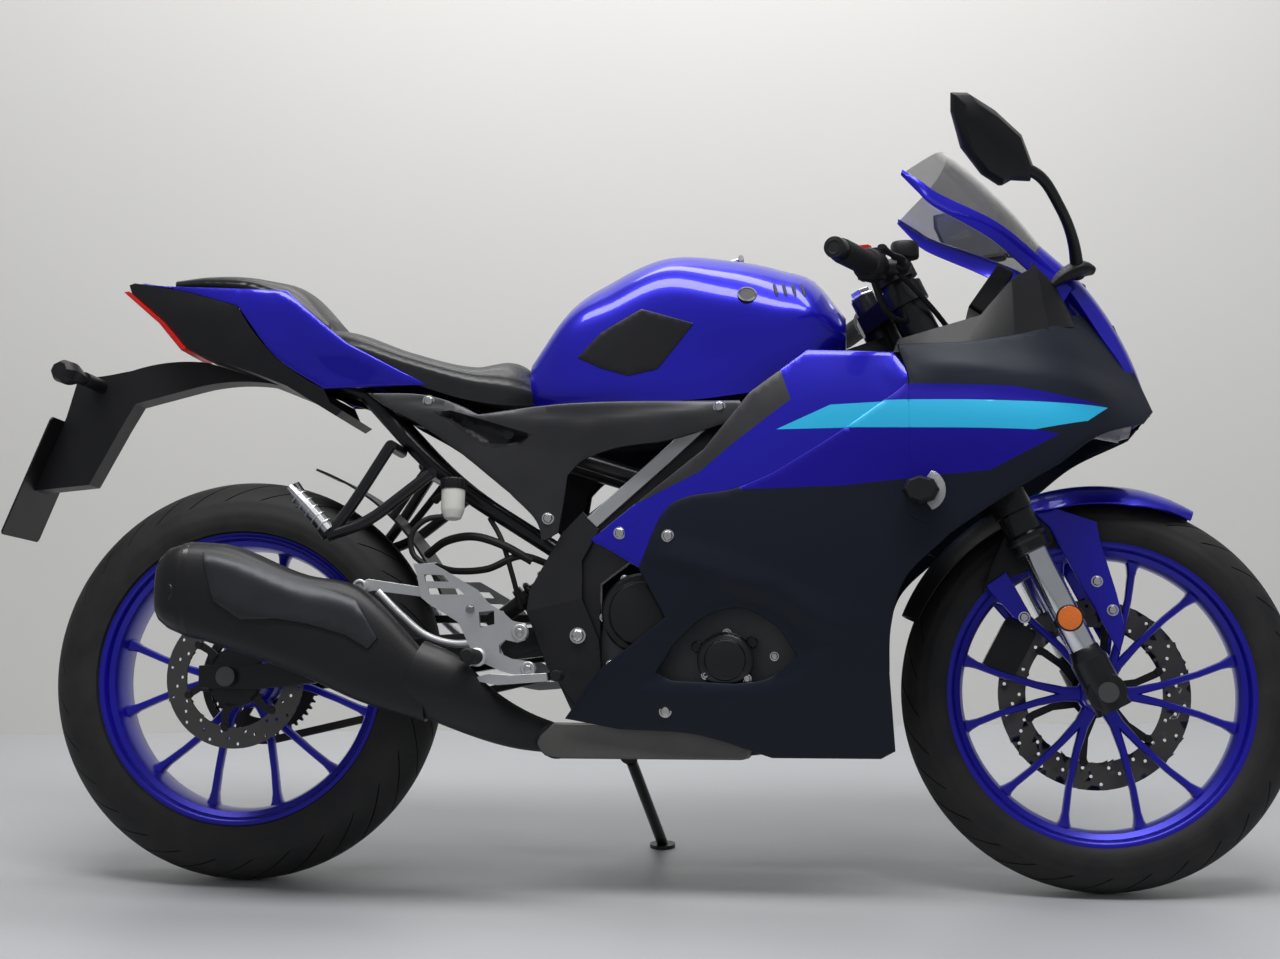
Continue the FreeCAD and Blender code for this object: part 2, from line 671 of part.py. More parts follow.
def make_yokes():
    """Both yokes clamp the fork tubes and are joined by the stem."""
    pieces = [rod(along_steering(size.lower_yoke_along), along_steering(TUBE_END),
                  size.stem_radius)]
    for start in (size.lower_yoke_along - size.yoke_height, UPPER_YOKE - size.yoke_height / 2):
        eyes = []
        for side in (-1, 1):
            y = side * size.fork_spread
            eyes.append(rod(along_steering(start, size.fork_offset, y),
                            along_steering(start + size.yoke_height, size.fork_offset, y),
                            size.fork_tube_radius + size.flange_lip))
        corners = []
        for ahead, y in ((-size.yoke_web, -size.yoke_web), (size.fork_offset - size.yoke_web,
                         -size.fork_spread), (size.fork_offset + size.yoke_web, -size.fork_spread),
                         (size.fork_offset + size.yoke_web, size.fork_spread),
                         (size.fork_offset - size.yoke_web, size.fork_spread),
                         (-size.yoke_web, size.yoke_web)):
            corners.append(along_steering(start, ahead, y))
        web = Part.Face(Part.makePolygon(corners + corners[:1])).extrude(STEER_UP * size.yoke_height)
        pieces += eyes + [web]
    top = along_steering(UPPER_YOKE + size.yoke_height / 2)
    pieces.append(rod(top, top + STEER_UP * size.yoke_height, size.stem_radius + size.flange_lip))
    made = fused(pieces)
    for side in (-1, 1):
        y = side * size.fork_spread
        made = made.cut(rod(along_steering(TUBE_START, size.fork_offset, y),
                            along_steering(TUBE_END + size.yoke_height, size.fork_offset, y),
                            size.fork_tube_radius))
    return made


keep("yokes", make_yokes())
FRONT_HUB_FACE = size.front_hub_half + size.seat_gap
FRONT_CARRIER_FACE = size.front_disc_offset + size.carrier_thickness / 2 + size.seat_gap
front_axle = make_axle(FRONT_AXLE, size.fork_spread + CLAMP_RADIUS, size.axle_nut_length,
                       ((-CLAMP_FACE, -FRONT_HUB_FACE), (FRONT_CARRIER_FACE, CLAMP_FACE)))
keep("front_axle", biggest(front_axle.cut(kept_shape("fork_sliders"))))


def bar_line(side):
    """The handlebar's clamp, grip start and end on one side."""
    clamp = along_steering(TUBE_END + size.bar_radius, size.fork_offset, side * size.fork_spread)
    end = Vector(clamp.x - size.bar_sweep, side * size.bar_half_span, clamp.z - size.bar_drop)
    return clamp, end


def make_handlebar(side):
    clamp, end = bar_line(side)
    step = (end - clamp).normalize()
    start = clamp + step * size.grip_radius
    tube = rod(start, end, size.bar_radius)
    ring = rod(clamp - STEER_UP * size.bar_radius, clamp + STEER_UP * size.bar_radius,
               size.fork_tube_radius + size.flange_lip)
    grip = rod(end - step * size.grip_length, end, size.grip_radius)
    weight = rod(end, end + step * size.bar_weight_length, size.bar_weight_radius)
    return fused([tube, ring, grip, weight])


keep("handlebars", Part.makeCompound([make_handlebar(-1), make_handlebar(1)]))


def make_control(side):
    """A switch block round the bar with its lever ahead of the grip."""
    clamp, end = bar_line(side)
    step = (end - clamp).normalize()
    inner = end - step * (size.grip_length + size.seat_gap)
    block = rod(inner, inner - step * (2 * size.grip_radius), size.grip_radius + size.flange_lip)
    block = block.cut(rod(clamp, end, size.bar_radius))
    ahead = Vector(-step.y * side, step.x * side, 0).normalize()
    pivot = inner - step * size.grip_radius + ahead * (size.grip_radius + size.stem_radius)
    knuckle = end - step * (size.grip_length - size.grip_radius) + ahead * (3 * size.stem_radius)
    tip = end + ahead * (4 * size.stem_radius)
    lever = bent_tube([pivot - ahead * size.stem_radius, pivot + (knuckle - pivot) * 0.5, knuckle, tip],
                      size.bar_radius / 2)
    return fused([block, lever])


keep("hand_controls", Part.makeCompound([make_control(-1), make_control(1)]))


def make_front_fender():
    """A blade over the tyre with two legs a side down to the fork."""
    inner = size.front_tyre_radius + size.fender_gap
    half, skin = size.fender_half, size.fender_thickness
    crown = ((-half, inner - half / 2), (-half * 0.7, inner - half / 8), (0, inner),
             (half * 0.7, inner - half / 8), (half, inner - half / 2))
    over = [Vector(0, y, z + skin) for y, z in crown]
    over[0].y -= skin
    over[-1].y += skin
    under = [Vector(0, y, z) for y, z in reversed(crown)]
    face = Part.Face(Part.makePolygon(over + under + over[:1]))
    face.rotate(Vector(0, 0, 0), Vector(0, 1, 0), -FENDER_BACK)
    blade = face.revolve(Vector(0, 0, 0), Vector(0, 1, 0), FENDER_BACK + FENDER_FRONT)
    blade.translate(FRONT_AXLE)
    pieces = [blade]
    for runs in FENDER_LEG_SHARES:
        for side in (-1, 1):
            y = side * half
            leg = side_prism(runs, y, y + side * skin)
            pieces.append(leg)
    spot = along_steering(size.fender_mount_along, size.fork_offset)
    for side in (-1, 1):
        start = Vector(spot.x, side * half, spot.z)
        end = Vector(spot.x, side * (size.fork_spread - size.slider_radius / 2), spot.z)
        pieces.append(rod(start, end, size.boss_radius))
    return biggest(fused(pieces).cut(kept_shape("fork_sliders")))


FENDER_BACK = 57
FENDER_FRONT = 28
FENDER_LEG_SHARES = (
    (((0.905, 0.478), (0.960, 0.505), (1.000, 0.500)), ((1.010, 0.430), (1.028, 0.345)),
     ((1.022, 0.316),), ((0.985, 0.395), (0.950, 0.445)), ((0.915, 0.380), (0.880, 0.345)),
     ((0.865, 0.352),), ((0.882, 0.420), (0.885, 0.465))),
)
keep("front_fender", make_front_fender())


def make_caliper(axle, offset, radius, turn, side):
    """A caliper that straddles a disc with a slot between its halves."""
    length, depth, width = 3.4 * size.stem_radius * 2, size.stem_radius * 4, size.stem_radius * 3
    box = Part.makeBox(length, width, depth, Vector(-length / 2, -width / 2, 0))
    box = box.makeFillet(size.seat_gap + size.flange_lip, [e for e in box.Edges if e.Length < depth])
    slot = Part.makeBox(length + 2, size.disc_thickness + 2, depth * 0.7,
                        Vector(-length / 2 - 1, -size.disc_thickness / 2 - 1, -1))
    made = box.cut(slot)
    made.rotate(Vector(0, 0, 0), Vector(0, 1, 0), turn)
    lift = Vector(math.sin(math.radians(turn)), 0, math.cos(math.radians(turn))) * radius
    made.translate(axle + Vector(0, side * offset, 0) + lift)
    return made


keep("front_caliper", make_caliper(FRONT_AXLE, size.front_disc_offset,
                                   size.front_disc_radius - 2 * size.stem_radius, -62, 1))

# Side stand: where it turns and where its foot meets the floor
STAND_PIVOT = Vector(size.stand_pivot_x, size.stand_pivot_y, size.stand_pivot_z)
FLOOR_UP = STAND.Rotation.inverted().multVec(Vector(0, 0, 1))


def on_floor(x, reach, height):
    """A point of the upright frame that lies over a spot of the floor once the bike leans."""
    spot = Vector(x, reach, height)
    return STAND.inverse().multVec(spot)


STAND_FOOT = on_floor(size.stand_foot_x, size.stand_reach, size.stand_foot_height)
STAND_DOWN = (STAND_FOOT - STAND_PIVOT).normalize()
STAND_FOLDED = Vector(-1, 0.16, -0.02).normalize()
STAND_AXIS = STAND_DOWN.cross(STAND_FOLDED).normalize()


# Forms of the side covers and the fairing: half widths at stations along the bike and up it
COVER_TABLE = {
    "stations": ((0.14, 0.14), (0.26, 0.26), (0.40, 0.40), (0.62, 0.62)),
    "levels": (0.44, 0.56, 0.63, 0.67),
    "widths": ((0.60, 0.60, 0.585, 0.56), (0.60, 0.625, 0.62, 0.60), (0.615, 0.67, 0.69, 0.66),
               (0.72, 0.80, 0.80, 0.74)),
}
FAIRING_TABLE = {
    "stations": ((0.38, 0.38), (0.53, 0.53), (0.66, 0.66), (0.78, 0.78), (0.961, 0.832),
                 (1.144, 0.886), (1.310, 0.923)),
    "levels": (0.165, 0.27, 0.38, 0.50, 0.62, 0.70, 0.77),
    "widths": ((0.56, 0.70, 0.77, 0.80, 0.77, 0.70, 0.63), (0.58, 0.79, 0.88, 0.91, 0.86, 0.77, 0.67),
               (0.60, 0.83, 0.93, 0.97, 0.94, 0.84, 0.72), (0.58, 0.81, 0.93, 0.99, 1.00, 0.88, 0.74),
               (0.51, 0.77, 0.88, 0.98, 1.00, 0.87, 0.68), (0.37, 0.56, 0.70, 0.78, 0.80, 0.65, 0.44),
               (0.05, 0.14, 0.23, 0.29, 0.28, 0.19, 0.12)),
}


def inside_of(table, inset):
    """The space between the middle plane and a panel's inner face."""
    sections = []
    for (x_low, x_high), shares in zip(table["stations"], table["widths"]):
        outer, inner = [], []
        for z_share, width_share in zip(table["levels"], shares):
            x_share = x_low + (x_high - x_low) * z_share
            outer.append(at(x_share, z_share, -width_share * size.fairing_half_width + inset))
            inner.append(at(x_share, z_share))
        sections.append(outer + inner[::-1])
    return loft(sections)


BEHIND_OUTER = inside_of(FAIRING_TABLE, size.panel_thickness + size.seat_gap)
BEHIND_MIDDLE = inside_of(FAIRING_TABLE, 2 * (size.panel_thickness + size.seat_gap))
BEHIND_COVER = inside_of(COVER_TABLE, size.panel_thickness + size.seat_gap)


def bosses(spots, start, radius, space):
    """Round bosses from a distance off the middle out to a panel's inner face, both sides."""
    made = []
    for spot in spots:
        reach = Vector(0, -size.fairing_half_width, 0)
        foot = Vector(spot.x, -start, spot.z)
        boss = biggest(rod(foot, foot + reach, radius).common(space))
        made += [boss, mirrored(boss)]
    return made


# Main frame: two beams from the head tube to the swingarm pivot
BEAM_LOW_SHARES = ((0.612, 0.758), (0.398, 0.533), (0.158, 0.279), (0.067, 0.195), (0.067, -0.086),
                   (0.050, -0.284), (-0.016, -0.284), (-0.160, 0.086), (0.024, 0.452), (0.301, 0.716),
                   (0.612, 1.000))
BEAM_SHOULDER_SHARE = 0.45
FRAME_BRACE_SHARES = (0.014, -0.242)
SHOCK_MOUNT_SHARES = (0.100, 0.440)
PANEL_BOSS_SHARES = ((0.232, 0.452),)
COVER_BOSS_SHARES = ((0.420, 0.800),)
STAND_STRUT_SHARES = (0.020, -0.240)


def make_main_frame():
    """Beams that close from the engine's width to the head tube, seen from above."""
    low = along_steering(size.lower_yoke_along + size.seat_gap)
    high = along_steering(UPPER_YOKE - size.yoke_height / 2 - size.seat_gap)
    head = rod(low, high, size.head_tube_radius)
    corners = [along_steering(size.lower_yoke_along + size.yoke_height)]
    corners += [between(*share) for share in BEAM_LOW_SHARES]
    corners.append(along_steering(UPPER_YOKE - size.yoke_height))
    corners = [Vector(corner.x, -size.beam_offset - size.overrun, corner.z) for corner in corners]
    outline = Part.Face(Part.makePolygon(corners + corners[:1]))
    outline = outline.extrude(Vector(0, size.beam_offset + size.overrun, 0))
    shoulder = between(BEAM_SHOULDER_SHARE, 0).x
    plan = ((PIVOT.x - size.beam_offset, size.beam_offset), (shoulder, size.beam_offset),
            (HEAD_MIDDLE.x - size.head_tube_radius, size.head_tube_radius),
            (HEAD_MIDDLE.x + size.beam_offset, size.head_tube_radius))
    outer = [Vector(x, -y, 0) for x, y in plan]
    inner = [Vector(x, min(-y + size.beam_thickness, -size.seat_gap), 0) for x, y in reversed(plan)]
    sheet = Part.Face(Part.makePolygon(outer + inner + outer[:1]))
    beam = sheet.extrude(Vector(0, 0, BODY_HEIGHT)).common(outline)
    reach = Vector(0, size.beam_offset + size.flange_lip, 0)
    shaft = rod(PIVOT - reach, PIVOT + reach, size.pivot_radius)
    pieces = [beam, mirrored(beam), head, shaft]
    inside = Vector(0, size.beam_offset - size.overrun, 0)
    for shares in (FRAME_BRACE_SHARES, SHOCK_MOUNT_SHARES):
        spot = between(*shares)
        pieces.append(rod(spot - inside, spot + inside, size.bar_radius))
    inner = size.beam_offset - size.beam_thickness / 2
    pieces += bosses([between(*share) for share in PANEL_BOSS_SHARES], inner, size.boss_radius,
                     BEHIND_MIDDLE)
    pieces += bosses([between(*share) for share in COVER_BOSS_SHARES], inner, size.boss_radius,
                     BEHIND_COVER)
    plate = size.stand_eye_half + size.seat_gap
    near = STAND_PIVOT + STAND_AXIS * plate
    far = near + STAND_AXIS * size.stand_eye_half
    lug = rod(near, far, size.stand_eye_radius - size.stand_pin_radius / 2)
    pin = rod(far, STAND_PIVOT - STAND_AXIS * plate, size.stand_pin_radius)
    foot = between(*STAND_STRUT_SHARES, size.beam_offset - size.beam_thickness / 2)
    strut = rod((near + far) * 0.5, foot, size.stand_pin_radius)
    pieces += [lug, pin, strut]
    bore = rod(low - STEER_UP, high + STEER_UP, size.stem_radius + size.running_gap)
    return fused(pieces).cut(bore)


keep("main_frame", make_main_frame())


RAIL_BOSS_SHARES = ((0.205, 0.643), (0.330, 0.600))
SUBFRAME_HALF = size.beam_offset - size.beam_thickness - size.subframe_tube - size.seat_gap


def make_subframe():
    """Two rails under the seat and two stays below them, joined across the tail."""
    pieces = []
    for side in (-1, 1):
        y = side * SUBFRAME_HALF
        rail = bent_tube([between(0.240, 0.580, y), at(0.33, 0.60, y), at(0.15, 0.665, y * 0.85),
                          at(-0.02, 0.735, y * 0.55)], size.subframe_tube)
        stay = bent_tube([between(0.020, 0.250, y), at(0.243, 0.548, y), at(0.15, 0.665, y * 0.85)],
                         size.subframe_tube)
        pieces += [rail, stay]
    pieces += bosses([at(*share) for share in RAIL_BOSS_SHARES], SUBFRAME_HALF * 0.85,
                     size.boss_radius, BEHIND_COVER)
    for x_share, z_share, share in ((-0.01, 0.731, 0.55), (0.15, 0.665, 0.85)):
        y = SUBFRAME_HALF * share
        pieces.append(rod(at(x_share, z_share, -y), at(x_share, z_share, y), size.subframe_tube * 0.8))
    return fused(pieces)


keep("rear_subframe", make_subframe())


def make_swingarm():
    """Two tapered arms on the pivot with plates for the axle and a bridge ahead of the tyre."""
    eye = size.arm_height / 2
    inside = size.beam_offset - size.beam_thickness - size.seat_gap
    pieces = []
    for side in (-1, 1):
        front_y = side * (inside - size.arm_half)
        bend = size.rear_tyre_radius + size.fender_gap
        line = (PIVOT - REAR_AXLE) * (1 / size.pivot_offset)
        stations = ((PIVOT, front_y, eye), (REAR_AXLE + line * (bend + 2 * size.arm_height), front_y, eye),
                    (REAR_AXLE + line * bend, side * size.arm_offset, eye * 1.15),
                    (REAR_AXLE + Vector(size.arm_height, 0, 0), side * size.arm_offset, eye * 0.8),
                    (REAR_AXLE - Vector(size.arm_height, 0, 0), side * size.arm_offset, eye * 0.75))
        sections = []
        for spot, y, half_height in stations:
            centre = Vector(spot.x, y, spot.z)
            sections.append([centre + Vector(0, across, up) for across, up in
                             ((-size.arm_half, -half_height), (size.arm_half, -half_height),
                              (size.arm_half, half_height), (-size.arm_half, half_height))])
        pieces.append(loft(sections, True))
    bridge = Part.makeBox(size.arm_height, 2 * inside, size.arm_height, Vector(BRIDGE_X, -inside, BRIDGE_LOW))
    tube = rod(PIVOT - Vector(0, inside, 0), PIVOT + Vector(0, inside, 0), eye)
    made = fused(pieces + [bridge, tube])
    reach = Vector(0, 2 * size.arm_offset, 0)
    made = made.cut(rod(PIVOT - reach, PIVOT + reach, size.pivot_radius + size.running_gap))
    return made.cut(rod(REAR_AXLE - reach, REAR_AXLE + reach, size.axle_radius + size.running_gap))


BRIDGE_X = size.rear_tyre_radius + size.fender_gap + size.arm_height
BRIDGE_LOW = size.pivot_height - size.arm_height / 2 - size.flange_lip
keep("swingarm", make_swingarm())
rear_caliper = make_caliper(REAR_AXLE, size.rear_disc_offset,
                            size.rear_disc_radius - 2 * size.stem_radius, 52, -1)
keep("rear_caliper", biggest(rear_caliper.cut(kept_shape("swingarm"))))


def make_shock():
    """The rear shock with its spring, between the swingarm's bridge and the frame."""
    low = Vector(BRIDGE_X + size.arm_height / 2, 0, BRIDGE_LOW + size.arm_height + size.seat_gap)
    mount = between(*SHOCK_MOUNT_SHARES)
    step = (mount - low).normalize()
    high = mount - step * (size.bar_radius + size.seat_gap)
    foot = low + Vector(0, 0, size.stem_radius)
    eye = rod(foot - Vector(0, size.fork_tube_radius, 0), foot + Vector(0, size.fork_tube_radius, 0),
              size.stem_radius)
    body = rod(foot, high, size.stem_radius)
    coil_radius = size.stem_radius + size.shock_wire - size.overrun
    coils = []
    for turn in range(SHOCK_TURNS):
        centre = foot + (high - foot) * (0.30 + 0.50 * turn / (SHOCK_TURNS - 1))
        coils.append(Part.makeTorus(coil_radius, size.shock_wire, centre, step))
    caps = [rod(foot + (high - foot) * share, foot + (high - foot) * (share + 0.06),
                coil_radius + size.shock_wire) for share in (0.20, 0.85)]
    return fused([body, eye] + caps + coils)


SHOCK_TURNS = 5
keep("rear_shock", make_shock())


CHAIN_FRONT = PIVOT + Vector(size.sprocket_ahead, 0, size.sprocket_lift)


def make_chain():
    """A loop of link plates on each side of its rollers, round both sprockets."""
    front = Vector(CHAIN_FRONT.x, size.chain_offset, CHAIN_FRONT.z)
    rear = REAR_AXLE + Vector(0, size.chain_offset, 0)
    line = rear - front
    big, small = size.sprocket_pitch_radius, size.front_sprocket_radius
    tilt = math.asin((big - small) / line.Length)
    heading = math.atan2(front.z - rear.z, front.x - rear.x)

    def loop(grow):
        points = []
        for sign in (1, -1):
            turn = heading + sign * (math.pi / 2 - tilt)
            normal = Vector(math.cos(turn), 0, math.sin(turn))
            points.append((rear + normal * (big + grow), front + normal * (small + grow)))
        (up_rear, up_front), (low_rear, low_front) = points
        back = rear - Vector(math.cos(heading), 0, math.sin(heading)) * (big + grow)
        fore = front + Vector(math.cos(heading), 0, math.sin(heading)) * (small + grow)
        return Part.Wire([Part.LineSegment(up_rear, up_front).toShape(),
                          Part.Arc(up_front, fore, low_front).toShape(),
                          Part.LineSegment(low_front, low_rear).toShape(),
                          Part.Arc(low_rear, back, up_rear).toShape()])

    def slab(grow, half):
        face = Part.Face(loop(grow))
        face.translate(Vector(0, -half, 0))
        return face.extrude(Vector(0, 2 * half, 0))

    gap = size.chain_half - 2 * size.chain_plate
    band = slab(size.chain_plate_half, size.chain_half)
    band = band.cut(slab(-size.chain_plate_half, size.chain_half + size.overrun))
    over = slab(size.chain_plate_half + size.overrun, gap).cut(slab(size.chain_roller, gap))
    return band.cut(over).cut(slab(-size.chain_roller, gap))


keep("chain", make_chain())


# Engine: crankcase and inclined cylinder as one heavy block, its covers, radiator and exhaust
CRANKCASE_SHARES = (((0.0661, -0.002),), ((0.0661, -0.1933),), ((0.1571, -0.2778),), ((0.5051, -0.2975),),
                    ((0.6657, -0.199), (0.6871, -0.002), (0.6122, 0.1528)), ((0.5051, 0.195),), ((0.1839, 0.2232),),
                    ((0.0768, 0.1106),))
CYLINDER_SHARES = (((0.3579, 0.1669),), ((0.572, 0.1247),), ((0.7326, 0.4483),), ((0.6791, 0.6875),),
                   ((0.4783, 0.6875),))
CYLINDER_WIDTH_SHARE = 0.7


def make_engine():
    """Crankcase, narrower beside the chain, with its cylinder and the drive sprocket."""
    half = size.engine_half - size.beam_thickness - size.seat_gap
    case = side_prism(CRANKCASE_SHARES, -half, size.engine_left_half, between)
    cylinder_half = size.engine_left_half * CYLINDER_WIDTH_SHARE
    cylinder = side_prism(CYLINDER_SHARES, -cylinder_half, cylinder_half, between)
    spot = Vector(CHAIN_FRONT.x, size.engine_left_half - size.overrun, CHAIN_FRONT.z)
    middle = Vector(CHAIN_FRONT.x, size.chain_offset, CHAIN_FRONT.z)
    reach = Vector(0, size.sprocket_thickness / 2, 0)
    shaft = rod(spot, middle, size.spacer_radius)
    drive = rod(middle - reach, middle + reach,
                size.front_sprocket_radius - size.chain_roller - size.seat_gap)
    return fused([case, cylinder, shaft, drive])


keep("engine", make_engine())


ENGINE_BOSS_SHARE = (0.2695, -0.2524)
COVER_SPOT_SHARES = ((0.2053, 0.0796), (0.4516, -0.0836), (0.398, -0.0723))


def make_engine_covers():
    """Round clutch and water pump covers on the right, generator cover on the left."""
    right = -(size.engine_half - size.beam_thickness)
    left = size.engine_left_half + size.seat_gap
    rows = ((size.clutch_cover_radius, size.clutch_cover_reach, right),
            (size.pump_cover_radius, size.pump_cover_reach, right),
            (size.generator_cover_radius, size.generator_cover_reach, left))
    made = []
    for shares, (radius, reach, face) in zip(COVER_SPOT_SHARES, rows):
        foot = between(*shares, face)
        step = Vector(0, math.copysign(reach, face), 0)
        base = rod(foot, foot + step * 0.7, radius)
        dome = Part.makeCone(radius, radius * 0.82, reach * 0.3, foot + step * 0.7, step)
        made.append(fused([base, dome]))
    boss = between(*ENGINE_BOSS_SHARE)
    made += bosses([boss], size.engine_half - size.beam_thickness, size.boss_radius, BEHIND_OUTER)
    return Part.makeCompound(made)


keep("engine_covers", make_engine_covers())


RADIATOR_SHARES = (((0.7728, 0.7579),), ((0.8317, 0.786),), ((0.9334, 0.2091),), ((0.8745, 0.1809),))
RADIATOR_BOSS_SHARE = (0.8531, 0.6031)
RADIATOR_TOP_SHARE = (0.7889, 0.7016)


def make_radiator():
    """The radiator core with its side tanks, upright behind the front wheel."""
    half = size.fork_spread + size.fork_tube_radius
    core = side_prism(RADIATOR_SHARES, -half, half, between)
    pieces = [core] + bosses([between(*RADIATOR_BOSS_SHARE)], size.fork_spread, size.boss_radius, BEHIND_OUTER)
    for side in (-1, 1):
        foot = between(*RADIATOR_TOP_SHARE, side * size.head_tube_radius * 2)
        pieces.append(rod(foot, foot + Vector(0, 0, size.boss_radius * 8), size.boss_radius))
    return biggest(fused(pieces).cut(kept_shape("main_frame")))


keep("radiator", make_radiator())


HEADER_SHARES = ((0.685, 0.452), (0.702, 0.424), (0.702, 0.340), (0.679, 0.235), (0.640, 0.198),
                 (0.600, 0.193))
COLLECTOR_SHARES = (((0.366, 0.190), (0.375, 0.175), (0.395, 0.171)), ((0.600, 0.171),),
                    ((0.618, 0.200),), ((0.600, 0.215),), ((0.385, 0.216),))
LINK_SHARES = ((0.392, 0.194, 0.30), (0.350, 0.200, 0.55), (0.305, 0.232, 0.88), (0.276, 0.257, 1.0))


def make_exhaust():
    """The header, the collector box under the engine and the pipe to the muffler."""
    run = [at(x_share, z_share, -size.header_offset) for x_share, z_share in HEADER_SHARES]
    corner, far = between(*CYLINDER_SHARES[1][0]), between(*CYLINDER_SHARES[2][0])
    face = (far - corner).normalize()
    ahead = Vector(face.z, 0, -face.x)
    port = corner + face * ((far - corner).Length * 0.62) - Vector(0, size.header_offset * 0.55, 0)
    start = [port + ahead * size.seat_gap, port + ahead * (2 * size.pipe_radius)]
    header = bent_tube(start + run[2:], size.pipe_radius)
    middle = -size.collector_offset
    box = side_prism(COLLECTOR_SHARES, middle - size.collector_half, middle + size.collector_half)
    link = [at(x_share, z_share, -size.muffler_offset * share) for x_share, z_share, share in LINK_SHARES]
    front = MUFFLER_SHARES[-1]
    link.append(Vector(front[0] * size.wheelbase + size.seat_gap, link[-1].y, link[-1].z))
    return fused([header, box, bent_tube(link, size.pipe_radius)])


MUFFLER_SHARES = ((-0.064, 0.350, 0.424, 0.70), (-0.045, 0.336, 0.440, 0.92), (0.004, 0.318, 0.446, 1.0),
                  (0.110, 0.276, 0.404, 0.98), (0.175, 0.244, 0.385, 0.80), (0.250, 0.218, 0.300, 0.50))
keep("exhaust_pipe", make_exhaust())


def make_muffler():
    """A flat-sided muffler that grows towards its rear cap."""
    sections = []
    for x_share, low, high, width_share in MUFFLER_SHARES:
        centre_y = -size.muffler_offset
        w = width_share * size.muffler_half_width
        rise = high - low
        ring = ((0.45, 0.0), (0.85, 0.12), (1.0, 0.45), (0.9, 0.8), (0.5, 1.0))
        right = [at(x_share, low + rise * z_share, centre_y - w * y_share) for y_share, z_share in ring]
        left = [Vector(p.x, 2 * centre_y - p.y, p.z) for p in reversed(right)]
        sections.append(right + left)
    return loft(sections)


keep("muffler", make_muffler())

# Tank cover, fuel cap and seats
TANK_ROWS = (
    (0.349, ((0.54, 0.640), (0.60, 0.667), (0.50, 0.700), (0.25, 0.711), (0.0, 0.714))),
    (0.386, ((0.73, 0.640), (0.76, 0.671), (0.66, 0.745), (0.38, 0.772), (0.0, 0.779))),
    (0.445, ((0.85, 0.640), (0.87, 0.675), (0.77, 0.772), (0.47, 0.816), (0.0, 0.829))),
    (0.506, ((0.92, 0.640), (0.92, 0.680), (0.85, 0.794), (0.54, 0.844), (0.0, 0.855))),
    (0.574, ((0.95, 0.645), (0.96, 0.693), (0.95, 0.781), (0.60, 0.838), (0.0, 0.853))),
    (0.642, ((0.95, 0.662), (1.00, 0.711), (0.98, 0.768), (0.63, 0.820), (0.0, 0.838))),
    (0.683, ((0.92, 0.693), (0.95, 0.728), (0.92, 0.763), (0.60, 0.803), (0.0, 0.820))),
    (0.717, ((0.63, 0.712), (0.70, 0.724), (0.66, 0.741), (0.44, 0.759), (0.0, 0.772))),
)
TUNNEL_START_SHARE = (0.05, 0.60)
TUNNEL_SHARES = ((0.301, 0.716), (0.612, 1.000))


CAP_SPOT = at(0.560, 0.8455)
CAP_TILT = 3
CAP_LIFT = Vector(math.sin(math.radians(CAP_TILT)), 0, math.cos(math.radians(CAP_TILT)))
CAP_HINGE = CAP_SPOT + Vector(size.cap_radius + size.cap_height, 0, 0) + CAP_LIFT * (2 * size.cap_height)


def make_tank():
    """The tank with its covers in one, hollow where the frame's beams pass under it."""
    made = crowned(TANK_ROWS, size.tank_half_width)
    lift = Vector(0, 0, size.tank_tunnel_gap)
    top = [between(*share) + lift for share in TUNNEL_SHARES]
    head = along_steering(UPPER_YOKE - size.yoke_height) + lift
    rear = between(*TUNNEL_START_SHARE)
    corners = [rear, Vector(rear.x, 0, top[0].z)] + top
    corners += [head, Vector(head.x + size.beam_offset, 0, head.z), Vector(head.x + size.beam_offset, 0, rear.z)]
    half = size.beam_offset + size.tank_tunnel_gap
    corners = [Vector(corner.x, -half, corner.z) for corner in corners]
    tunnel = Part.Face(Part.makePolygon(corners + corners[:1])).extrude(Vector(0, 2 * half, 0))
    pocket = rod(CAP_SPOT, CAP_SPOT + CAP_LIFT * size.tank_half_width, size.cap_radius + size.cap_gap)
    return biggest(made.cut(tunnel).cut(pocket))


keep("tank_cover", make_tank())


def make_cap():
    """The fuel cap, a chamfered disc with the round lug that it turns on."""
    foot = CAP_SPOT + CAP_LIFT * size.seat_gap
    rim = size.cap_height / 3
    disc = rod(foot, foot + CAP_LIFT * (size.cap_height - rim), size.cap_radius)
    top = Part.makeCone(size.cap_radius, size.cap_radius - rim, rim,
                        foot + CAP_LIFT * (size.cap_height - rim), CAP_LIFT)
    half = Vector(0, size.cap_height, 0)
    lug = rod(CAP_HINGE - half, CAP_HINGE + half, size.cap_height / 2)
    strap = rod(foot + CAP_LIFT * (size.cap_height - rim), CAP_HINGE, size.cap_height / 3)
    return fused([disc, top, lug, strap])


